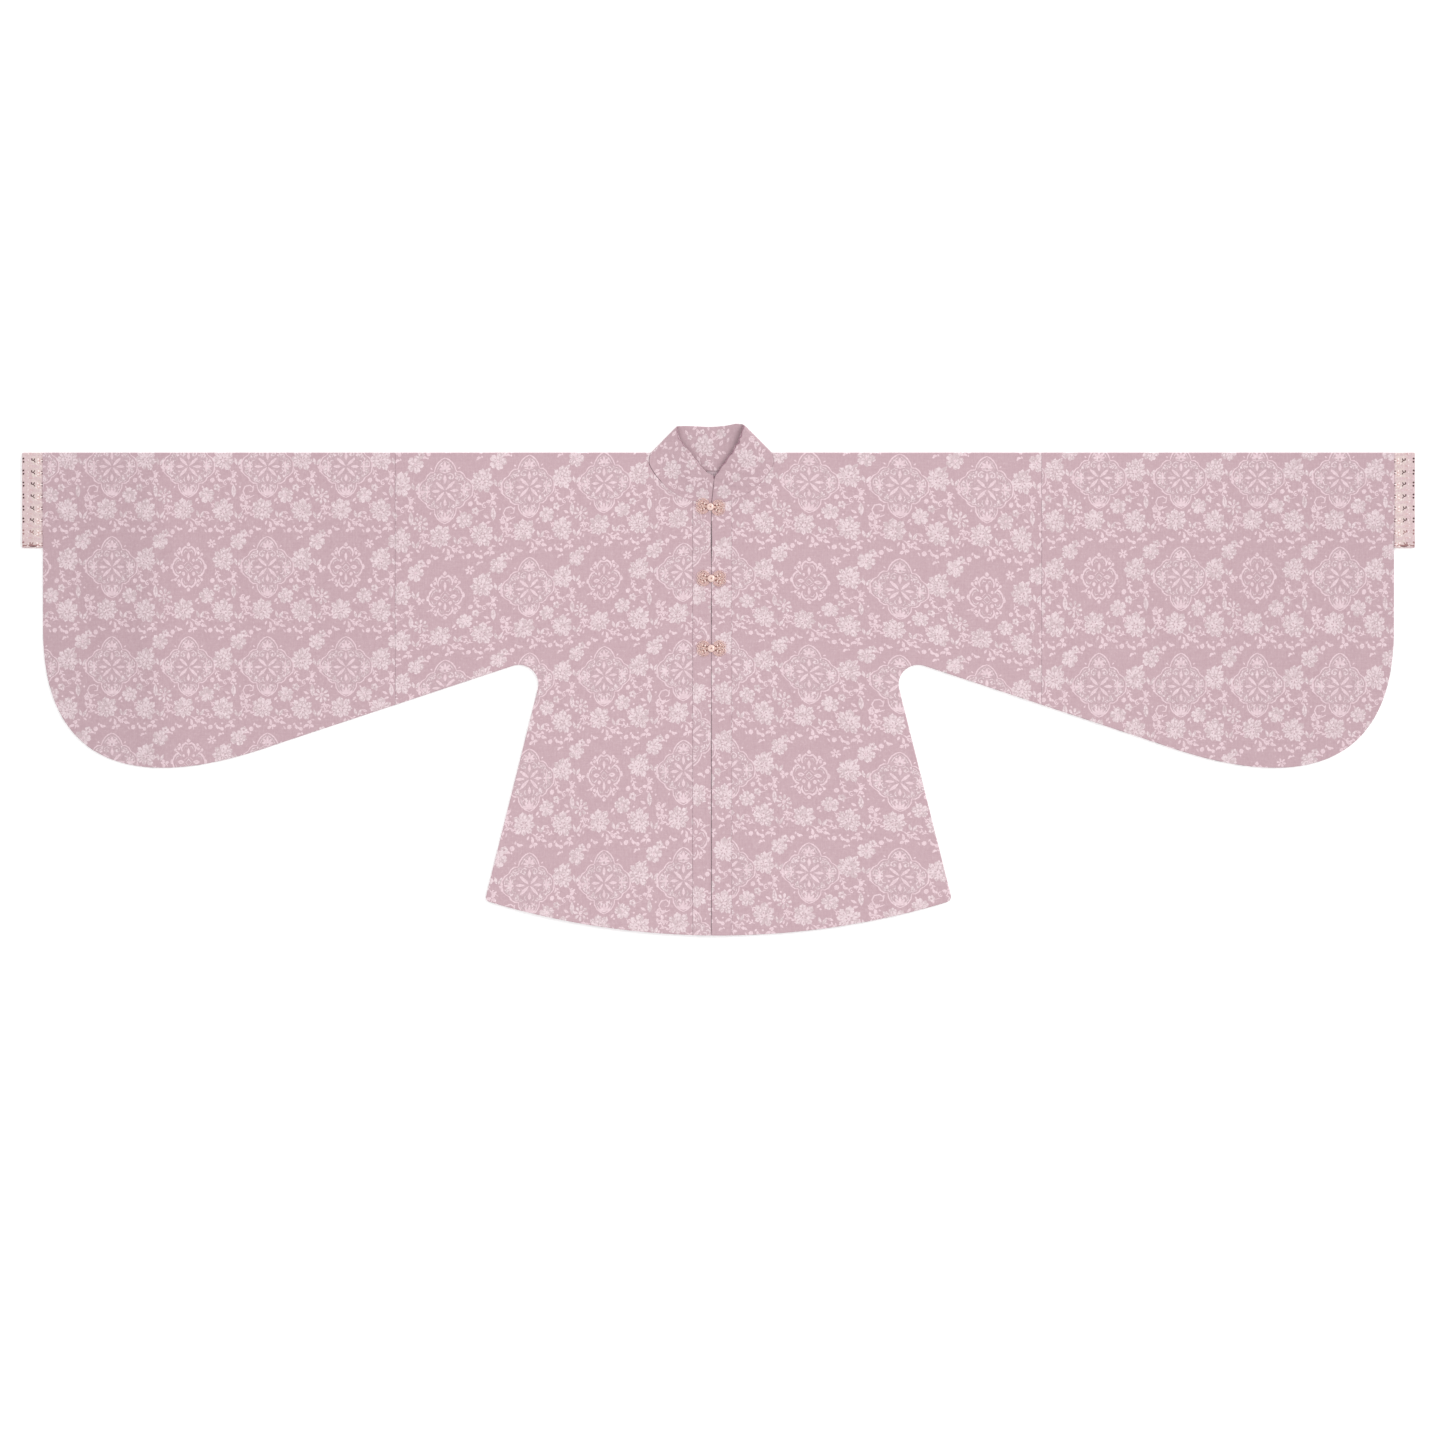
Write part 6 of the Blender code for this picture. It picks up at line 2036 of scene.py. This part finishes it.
COLLAR_INNER_FIGURE = [
    ("stem", 706.0, 458.0, 60, 0.9), ("stem", 716.0, 440.0, -50, 0.8), ("big", 704.5, 446.0, 5, 1.04),
    ("mid", 721.0, 433.4, 20, 0.66), ("leaf", 711.4, 432.6, 80, 0.8), ("leaf", 709.0, 430.4, -100, 0.7),
    ("leaf", 719.6, 446.4, -60, 1.0), ("leaf", 721.4, 451.0, 30, 0.7), ("star", 711.0, 464.4, 10, 0.62),
    ("leaf", 692.4, 430.0, -40, 0.9), ("leaf", 696.4, 428.6, 60, 0.7), ("leaf", 700.0, 461.0, 100, 0.7),
    ("leaf", 714.0, 456.6, 20, 0.7), ("leaf", 728.6, 437.0, 100, 0.7), ("dots", 702.4, 431.6, 0, 0.8),
    ("leaf", 685, 430, 60, 0.8), ("dots", 690, 437, 0, 0.8), ("leaf", 694, 443, 110, 0.8), ("leaf", 700, 452, 80, 0.8), ("dots", 707, 463, 0, 0.8),
]
COLLAR_KINDS = {
    "big": lambda: big_blossom(0, 3, 1.0),
    "mid": lambda: mid_blossom(5, 7.8, 0),
    "leaf": lambda: leaf(7.4, 3.4, LEAF),
    "long": lambda: leaf(10.4, 2.6, LEAF, False),
    "bird": lambda: trefoil(1.1),
    "star": lambda: small_star(5.6, 5),
    "bud": lambda: bud_pair(label=LEAF),
    "dots": dot_flower,
    "stem": lambda: spray(1.2, LEAF),
}


def rim_painted_shadows():
    """Painted shadow along the two front rims, as dark strokes, and painted dark dots at the corners over the opening.
    """
    out = []
    for start, end, width in (
        (LEFT_FROM + 3, LEFT_FROM + 12, 1.9), (LEFT_FROM + 10, LEFT_FROM + 26, 1.2), (LEFT_FROM + 25, LEFT_FROM + 41, 1.7),
        (LEFT_FROM + 40, COLLAR_LONG - 3, 1.3), (RIGHT_TO - 12, RIGHT_TO - 3, 1.3), (RIGHT_TO - 38, RIGHT_TO - 13, 0.8),
    ):
        path = [(s, COLLAR_HIGH - 0.75 + 0.4 * math.sin(s / 1.9) + 0.3 * math.sin(s / 4.1)) for s in mix_list(start, end, 8)]
        out.append((SHADE, line(path, width)))
    for s in (1.3, COLLAR_LONG - 1.3):
        out.append((SHADE, turn(dot(2.2, 8), 0, (s, COLLAR_HIGH - 1.8))))
    return out


def collar_figure(loop, surface, table, hidden, phase, more=()):
    """The woven figure on the collar band: what shows, as it shows, and the like of it
    on the stretch (from, to) that is turned away."""
    flat = np.stack([v.ravel() for v in np.meshgrid(np.arange(0.5, COLLAR_LONG, 0.8), np.arange(0.5, COLLAR_HIGH, 0.8))], 1)
    seen, face = surface(flat)
    shapes = []
    for kind, px, py, spin, size in table:
        x, y = (px - FRAME_X) * STEP, (679.5 - py) * STEP
        far = np.hypot(seen[:, 0] - x, seen[:, 1] - y) + np.where(face[:, 2] > 0.05, 0.0, 900.0)
        at = flat[far.argmin()]
        if far.min() > 3.0:
            continue
        tips = surface(np.clip(at + np.array([(1, 0), (-1, 0), (0, 1), (0, -1)]), (0, 0), (COLLAR_LONG, COLLAR_HIGH)))[0][:, :2]
        turned = np.linalg.inv(np.stack([(tips[0] - tips[1]) / 2, (tips[2] - tips[3]) / 2], 1))
        drawn = shift(COLLAR_KINDS[kind](), (0.0, 0.0), spin, size)
        # small leaves stand round every flower
        count, reach = {"big": (7, 12.6), "mid": (4, 9.4), "star": (2, 7.0)}.get(kind, (0, 0.0))
        for k in range(count):
            a = spin + 360.0 * k / count + 23.0 * math.sin(3.1 * k + px)
            r = size * reach * (1.0 + 0.1 * math.sin(5.3 * k + py))
            c = (r * math.cos(math.radians(a)), r * math.sin(math.radians(a)))
            drawn = shift(leaf(5.4, 2.6, LEAF, False), c, a + 60.0 * math.sin(2.0 * k + px)) + drawn
        for label, p in drawn:
            away = np.array(p) * (STEP, -STEP)
            shapes.append((label, [tuple(q) for q in at + away @ turned.T]))
    order = ("big", "leaf", "mid", "bird", "dots", "leaf", "big", "bud", "star", "leaf")
    for start, end in hidden:
        for k in range(int((end - start) / 8.6)):
            at = (start + 4.0 + 8.6 * k, (9.0, 27.0, 18.0, 33.0)[(k + phase) % 4])
            for label, p in shift(COLLAR_KINDS[order[(k + phase) % len(order)]](), (0.0, 0.0), 47 * k, 0.9):
                shapes.append((label, [(at[0] + u * STEP, at[1] + v * STEP) for u, v in p]))
    return clipped(outlines_of(shapes + list(more)), anticlockwise(loop)[0])


def collar(name):
    # the ends' upper corners are rounded, which leaves the small hole at the opening
    bend = [(3.2 * (1 - math.sin(a)), 3.2 * (1 - math.cos(a))) for a in np.radians((0, 22, 45, 68, 90))]
    loop = [(s, 0.0) for s in spaced(0, COLLAR_LONG, 3.5)[:-1]]
    loop += [(COLLAR_LONG, h) for h in spaced(0, COLLAR_HIGH - 3.2, 3.5)[:-1]]
    loop += [(COLLAR_LONG - v, COLLAR_HIGH - u) for u, v in bend]
    loop += [(s, COLLAR_HIGH) for s in spaced(COLLAR_LONG - 3.2, 3.2, 3.5)[1:-1]]
    loop += [(v, COLLAR_HIGH - u) for u, v in bend[::-1]]
    loop += [(0.0, h) for h in spaced(COLLAR_HIGH - 3.2, 0, 3.5)[1:-1]]
    outer, inner = collar_surface(True), collar_surface(False)
    a, b = RIGHT_TO, LEFT_FROM
    obj, area = shell(
        f"band_{name}", loop, outer, inner,
        figure=collar_figure(loop, outer, COLLAR_FRONT_FIGURE, [(a, b)], 0, rim_painted_shadows()),
        inner_figure=collar_figure(loop, inner, COLLAR_INNER_FIGURE, [(4.0, a - 6), (b + 6, COLLAR_LONG - 4)], 2),
        cell=3.5, roll=edge_roll([lambda x, h: h < 2.0], 0.85), inner_roll=0.85, uv="strip",
    )
    # the band is not equally high all round: its cut is as long as its middle line and
    # as high as it is on average
    tall = np.linalg.norm(np.diff(_collar_points(COLLAR_ROWS, True), axis=1), axis=2).sum(1)
    tall = float((tall[1:] + tall[:-1]) @ np.diff(COLLAR_RUN) / 2 / COLLAR_LONG)
    flat = (COLLAR_LONG * MM, tall * MM)
    return keep(obj, name, "brocade", flat[0] * flat[1], flat, ["body_right", "body_left"])


# ---------------------------------------------------------------- clasps
RING_OUTER, RING_INNER = 5.4, 3.4
KNOB_HEAD, KNOB_LIFT, KNOB_DOME = 4.4, 1.5, 2.0
WING_PLATE = 1.2
CLASP_TURNS = [-5.5, -1.0, 0.5]  # degrees, as each one happens to lie


class Metalwork:
    """Collects wires, beads and plates of one half of a clasp."""

    def __init__(self):
        self.points, self.faces, self.looks, self.smooth = [], [], [], []

    def add(self, points, faces, look, smooth=True):
        n = len(self.points)
        self.points += [tuple(p) for p in points]
        self.faces += [tuple(i + n for i in f) for f in faces]
        self.looks += [look] * len(faces)
        self.smooth += [smooth] * len(faces)

    def wire(self, path, r, look=0, sides=6, closed=False, flat=1.0, taper=0.35):
        """A round wire along a path of (x, y, z)."""
        path = np.array(path, float)
        n = len(path)
        if closed:
            t = np.roll(path, -1, axis=0) - np.roll(path, 1, axis=0)
        else:
            t = np.gradient(path, axis=0)
        t /= np.maximum(np.linalg.norm(t, axis=1, keepdims=True), 1e-9)
        side = np.cross(t, (0.0, 0.0, 1.0))
        side /= np.maximum(np.linalg.norm(side, axis=1, keepdims=True), 1e-9)
        up = np.cross(side, t)
        points, faces = [], []
        for k in range(n):
            rk = r
            if not closed and k in (0, n - 1):
                rk = r * taper
            for j in range(sides):
                a = 2 * math.pi * (j + 0.5) / sides
                points.append(path[k] + rk * (math.cos(a) * side[k] + flat * math.sin(a) * up[k]))
        for k in range(n if closed else n - 1):
            k2 = (k + 1) % n
            for j in range(sides):
                j2 = (j + 1) % sides
                faces.append((k * sides + j, k * sides + j2, k2 * sides + j2, k2 * sides + j))
        if not closed:
            faces.append(tuple(range(sides))[::-1])
            faces.append(tuple((n - 1) * sides + j for j in range(sides)))
        self.add(points, faces, look)

    def bead(self, at, r, look=0, sides=8, rings=4, squash=0.8, smooth=True):
        points = [(at[0], at[1], at[2] + r * squash)]
        for i in range(1, rings):
            a = math.pi * i / rings
            for j in range(sides):
                b = 2 * math.pi * (j + 0.5 * (i % 2)) / sides
                points.append((at[0] + r * math.sin(a) * math.cos(b), at[1] + r * math.sin(a) * math.sin(b), at[2] + r * squash * math.cos(a)))
        points.append((at[0], at[1], at[2] - r * squash))
        faces = [(0, 1 + j, 1 + (j + 1) % sides) for j in range(sides)]
        for i in range(rings - 2):
            for j in range(sides):
                a, b = 1 + i * sides + j, 1 + i * sides + (j + 1) % sides
                faces.append((a, a + sides, b + sides, b))
        last = len(points) - 1
        faces += [(last, 1 + (rings - 2) * sides + (j + 1) % sides, 1 + (rings - 2) * sides + j) for j in range(sides)]
        self.add(points, faces, look, smooth)

    def plate(self, loop, z0, z1, look):
        n = len(loop)
        points = [(x, y, z1) for x, y in loop] + [(x, y, z0) for x, y in loop]
        faces = [tuple(range(n)), tuple(range(2 * n - 1, n - 1, -1))]
        faces += [(k, k + n, (k + 1) % n + n, (k + 1) % n) for k in range(n)]
        self.add(points, faces, look, False)

    def turned(self, profile, look, sides=28):
        """A closed body turned round the z axis from (radius, z) rows, axis to axis."""
        points, faces = [(0, 0, profile[0][1])], []
        for r, z in profile[1:-1]:
            points += [(r * math.cos(2 * math.pi * j / sides), r * math.sin(2 * math.pi * j / sides), z) for j in range(sides)]
        points.append((0, 0, profile[-1][1]))
        last, rows = len(points) - 1, len(profile) - 2
        for j in range(sides):
            j2 = (j + 1) % sides
            faces.append((0, 1 + j2, 1 + j))
            faces.append((last, 1 + (rows - 1) * sides + j, 1 + (rows - 1) * sides + j2))
            for i in range(rows - 1):
                a = 1 + i * sides
                faces.append((a + j, a + j2, a + sides + j2, a + sides + j))
        self.add(points, faces, look)

    def finish(self, name, at, turn_by, looks):
        c, s = math.cos(math.radians(turn_by)), math.sin(math.radians(turn_by))
        mesh = bpy.data.meshes.new(name)
        points = [((at[0] + x * c - y * s) * MM, (at[1] + x * s + y * c) * MM, (at[2] + z) * MM) for x, y, z in self.points]
        mesh.from_pydata(points, [], self.faces)
        for look in looks:
            mesh.materials.append(look)
        for polygon, look, smooth in zip(mesh.polygons, self.looks, self.smooth):
            polygon.material_index = look
            polygon.use_smooth = smooth
        bm = bmesh.new()
        bm.from_mesh(mesh)
        bmesh.ops.recalc_face_normals(bm, faces=bm.faces)
        bmesh.ops.triangulate(bm, faces=[f for f in bm.faces if len(f.verts) > 4])
        bm.to_mesh(mesh)
        bm.free()
        obj = bpy.data.objects.new(name, mesh)
        bpy.context.scene.collection.objects.link(obj)
        return obj


def wing_edge(scallop=0.55, by=0.0, n=60):
    """The wing's scalloped edge, pointing along +x from the clasp's centre."""
    angles = [a for a, _ in WING]
    radii = [r for _, r in WING]
    out = []
    for k in range(n + 1):
        a = mix(-66.0, 66.0, k / n)
        r = float(np.interp(abs(a), angles, radii)) - by
        r += scallop * abs(math.sin(math.radians(a) * 6.8 + math.pi / 2))
        out.append((r * math.cos(math.radians(a)), r * math.sin(math.radians(a))))
    return out


def spiral(at, r, start, turns, n=26, grow=0.0):
    """A flat spiral that winds inwards from radius r."""
    out = []
    for k in range(n + 1):
        t = k / n
        a = math.radians(start + 360 * turns * t)
        q = r * (1 - 0.84 * t)
        out.append((at[0] + q * math.cos(a), at[1] + q * math.sin(a), 0.95 + grow * t))
    return out


def wing(work, sign):
    """One filigree wing: rims, scrolls, a leaf, beads and small set stones."""

    def there(path):
        return [(sign * p[0], p[1], p[2]) for p in path]

    root = RING_OUTER + 0.9
    edge = wing_edge()
    plate = [(x * 0.95, y * 0.95) for x, y in wing_edge(0.0, 0.5, 24)]
    plate = [(root, plate[0][1] * 0.55), *plate, (root, plate[-1][1] * 0.55)]
    work.plate([(sign * x, y) for x, y in plate], 0.0, 0.5, 2)
    rim = [(root, edge[0][1] * 0.45), *edge, (root, edge[-1][1] * 0.45)]
    work.wire(there([(x, y, 0.85) for x, y in rim]), 0.36, 0, 6, True)
    inner = [(x, y, 1.0) for x, y in wing_edge(0.3, 2.1, 40)][3:-3]
    work.wire(there(inner), 0.3, 0, 5)
    for m in (-1, 1):
        # the large scroll, the small one towards the root, and a hook between
        big = [(root + 0.6, m * 1.0, 0.95), (9.6, m * 1.6, 1.1), (12.4, m * 2.2, 1.15)]
        big += [(x, m * y, z) for x, y, z in spiral((13.0, 5.2), 3.1, -86, 1.35, 26, 0.35)]
        work.wire(there(big), 0.42, 0, 6)
        small = [(x, m * y, z) for x, y, z in spiral((8.6, 4.0), 1.7, -120, 1.2, 16, 0.3)]
        work.wire(there(small), 0.36, 0, 5)
        hook = [(x, m * y, z) for x, y, z in spiral((17.0, 2.9), 1.5, 210, 1.0, 14, 0.3)]
        work.wire(there(hook), 0.34, 0, 5)
        work.bead((sign * 13.0, m * 5.2, 1.5), 1.25, 1, 6, 4, 0.8, False)
        work.bead((sign * 8.6, m * 4.3, 1.5), 1.05, 1, 6, 3)
        work.bead((sign * 17.0, m * 2.9, 1.4), 0.6, 1, 6, 3)
        for a in (12, 24, 36, 47, 57):
            r = float(np.interp(a, [q for q, _ in WING], [q for _, q in WING])) - 1.35
            q = math.radians(a) * m
            work.bead((sign * r * math.cos(q), r * math.sin(q), 1.15), 0.62, 0 if a % 2 else 1, 6, 3)
        # dark beads painted as the shadow in the gaps beside the centre and inside the lobes
        work.bead((sign * (root + 0.9), m * 2.5, 0.9), 1.5, 3, 7, 4, 0.5)
        work.bead((sign * 11.2, m * 3.7, 0.9), 1.15, 3, 7, 4, 0.5)
        work.bead((sign * 10.2, m * 6.7, 0.9), 0.75, 3, 7, 4, 0.5)
        # the bright bosses beside the centre, and a dark bead painted as the shadow in a gap beside the leaf
        work.bead((sign * (root + 2.6), m * 3.6, 1.5), 1.35, 1, 7, 4, 0.7)
        work.bead((sign * 15.0, m * 1.9, 0.9), 0.6, 3, 7, 4, 0.5)
    # the leaf down the middle
    leaf_wire = [(root + 0.4, 0.0, 1.0), (9.6, 1.15, 1.25), (12.6, 1.5, 1.35), (15.4, 0.9, 1.3), (17.4, 0.0, 1.1), (15.4, -0.9, 1.3), (12.6, -1.5, 1.35), (9.6, -1.15, 1.25)]
    work.wire(there(leaf_wire), 0.36, 0, 6, True)
    for x, r in ((9.4, 0.62), (11.6, 0.95), (14.0, 0.8), (16.0, 0.5)):
        work.bead((sign * x, 0.0, 1.35), r, 1, 6, 4, 0.8, False)
    work.bead((sign * 19.2, 0.0, 1.2), 0.85, 1, 7, 4)


def clasp_half(name, knob, at, turn_by):
    sign = 1 if knob else -1
    work = Metalwork()
    wing(work, sign)
    if knob:
        # the arm over the ring, the post and the domed head with its spiral wire
        arm = [(7.6, 0, 0.6), (7.2, 0, KNOB_LIFT + 0.35), (5.2, 0, KNOB_LIFT + 0.45), (3.0, 0, KNOB_LIFT + 0.45)]
        for dy in (-1.0, 0.0, 1.0):
            work.wire([(sign * x, dy, z) for x, y, z in arm], 0.55, 0, 6)
        head = [(0.0, 0.1), (2.5, 0.1), (2.6, KNOB_LIFT), (KNOB_HEAD - 0.2, KNOB_LIFT), (KNOB_HEAD, KNOB_LIFT + 0.5)]
        for a in (25, 45, 62, 78):
            q = math.radians(a)
            head.append(((KNOB_HEAD - 0.1) * math.cos(q), KNOB_LIFT + 0.6 + (KNOB_DOME - 0.5) * math.sin(q)))
        head.append((0.0, KNOB_LIFT + 0.6 + KNOB_DOME - 0.5))
        work.turned(head, 1)
        rim = [(3.95 * math.cos(a), 3.95 * math.sin(a), KNOB_LIFT + 0.95) for a in np.linspace(0, 2 * math.pi, 33)[:-1]]
        work.wire(rim, 0.5, 1, 6, True)
        coil = []
        for k in range(41):
            t = k / 40
            a, q = 1.9 * 2 * math.pi * t + 0.6, 3.0 - 2.3 * t
            coil.append((q * math.cos(a), q * math.sin(a), KNOB_LIFT + 0.75 + (KNOB_DOME - 0.5) * math.sqrt(max(0.0, 1 - (q / KNOB_HEAD) ** 2))))
        work.wire(coil, 0.34, 0, 6)
        # a dark bead painted as the shadow in the coil's open middle
        work.bead((0.0, 0.0, KNOB_LIFT + KNOB_DOME + 0.15), 0.95, 3, 8, 4, 0.7)
    else:
        ring = [(4.4 * math.cos(a), 4.4 * math.sin(a), 0.95) for a in np.linspace(0, 2 * math.pi, 37)[:-1]]
        work.wire(ring, 0.95, 0, 8, True, 0.9)
        for k in range(22):
            a = 2 * math.pi * k / 22
            work.bead((5.25 * math.cos(a), 5.25 * math.sin(a), 1.15), 0.42, 0, 5, 3)
        for dy in (-1.1, 0.0, 1.1):
            work.wire([(sign * 4.9, dy, 1.0), (sign * 6.4, dy, 1.15), (sign * 7.8, dy, 0.95)], 0.55, 0, 6)
    obj = work.finish(f"filigree_{name}", at, turn_by, [ROSE_GOLD, PALE_GOLD, DARK_GOLD, GAP_SHADOW_GOLD])
    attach(obj, "root")
    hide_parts(name)


def clasps():
    for number, depth in enumerate(CLASP_DEPTHS, 1):
        dx, dy = np.meshgrid((-23.0, 0.0, 23.0), (-12.0, 0.0, 12.0))
        under = CLOTH + layer_gap(CLASP_X + dx.ravel(), depth + dy.ravel()).max() + BAND_CLOTH
        if number == 1:
            under = max(under, 2 * COLLAR_CLOTH + mix(COLLAR_GAP_SEAM, COLLAR_GAP_RIM, ease(0.2)))
        at = (CLASP_X - (1.3, 0.0, 0.0)[number - 1], Y_FOLD - depth, under + 0.45)
        clasp_half(f"clasp_{number}_ring", False, at, CLASP_TURNS[number - 1])
        clasp_half(f"clasp_{number}_knob", True, at, CLASP_TURNS[number - 1])


# ---------------------------------------------------------------- build
body("body_right", -1)
body("body_left", 1)
sleeve("sleeve_right", -1)
sleeve("sleeve_left", 1)
front_band("front_band_right", -1)
front_band("front_band_left", 1)
cuff("cuff_right", -1)
cuff("cuff_left", 1)
collar("collar")
clasps()

for obj, area, flat, rests_on in SHEETS.values():
    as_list(rests_on)


# ---------------------------------------------------------------- floor, light and camera
def plane(name, size, z, material):
    mesh = bpy.data.meshes.new(name)
    s = size / 2
    mesh.from_pydata([(-s, -s, z), (s, -s, z), (s, s, z), (-s, s, z)], [], [(0, 1, 2, 3)])
    mesh.materials.append(material)
    obj = bpy.data.objects.new(name, mesh)
    bpy.context.scene.collection.objects.link(obj)
    return obj


def paper():
    m, tree, shader = new_material("paper_floor")
    place = node(tree, "ShaderNodeTexCoord").outputs["Object"]
    tree.links.new(tone(tree, noise(tree, place, 3.0), (0.93, 0.93, 0.93), (0.95, 0.95, 0.95)), shader.inputs["Base Color"])
    shader.inputs["Roughness"].default_value = 0.9
    shader.inputs["Specular IOR Level"].default_value = 0.1
    # a light table: it shines a little, so shadows on it stay faint
    shader.inputs["Emission Color"].default_value = (1.0, 1.0, 1.0, 1.0)
    shader.inputs["Emission Strength"].default_value = 0.2
    return m


plane("floor", 14.0, -0.0004, paper())

world = bpy.data.worlds.new("soft_sky")
bpy.context.scene.world = world
world.use_nodes = True
world.node_tree.nodes["Background"].inputs["Color"].default_value = (1.0, 1.0, 1.0, 1.0)
world.node_tree.nodes["Background"].inputs["Strength"].default_value = 0.80


def sun(name, towards, energy, spread):
    """A distant soft light that falls in this direction."""
    light = bpy.data.lights.new(name, "SUN")
    light.energy = energy
    light.angle = math.radians(spread)
    obj = bpy.data.objects.new(name, light)
    obj.rotation_mode = "QUATERNION"
    obj.rotation_quaternion = Vector(towards).to_track_quat("-Z", "Y")
    bpy.context.scene.collection.objects.link(obj)


sun("key", (-0.72, -0.50, -0.62), 1.25, 26.0)
sun("fill", (0.6, 0.1, -0.8), 0.35, 60.0)

camera = bpy.data.cameras.new("camera")
camera.lens, camera.sensor_width = 100.0, 36.0
camera.clip_start, camera.clip_end = 0.05, 60.0
view = bpy.data.objects.new("camera", camera)
view.location = ((720.0 - FRAME_X) * STEP * MM, (679.5 - 720.0) * STEP * MM, 5.743 + 0.004)
bpy.context.scene.collection.objects.link(view)
bpy.context.scene.camera = view
bpy.context.scene.view_settings.view_transform = "Standard"
bpy.context.scene.view_settings.look = "None"

bpy.context.view_layer.update()
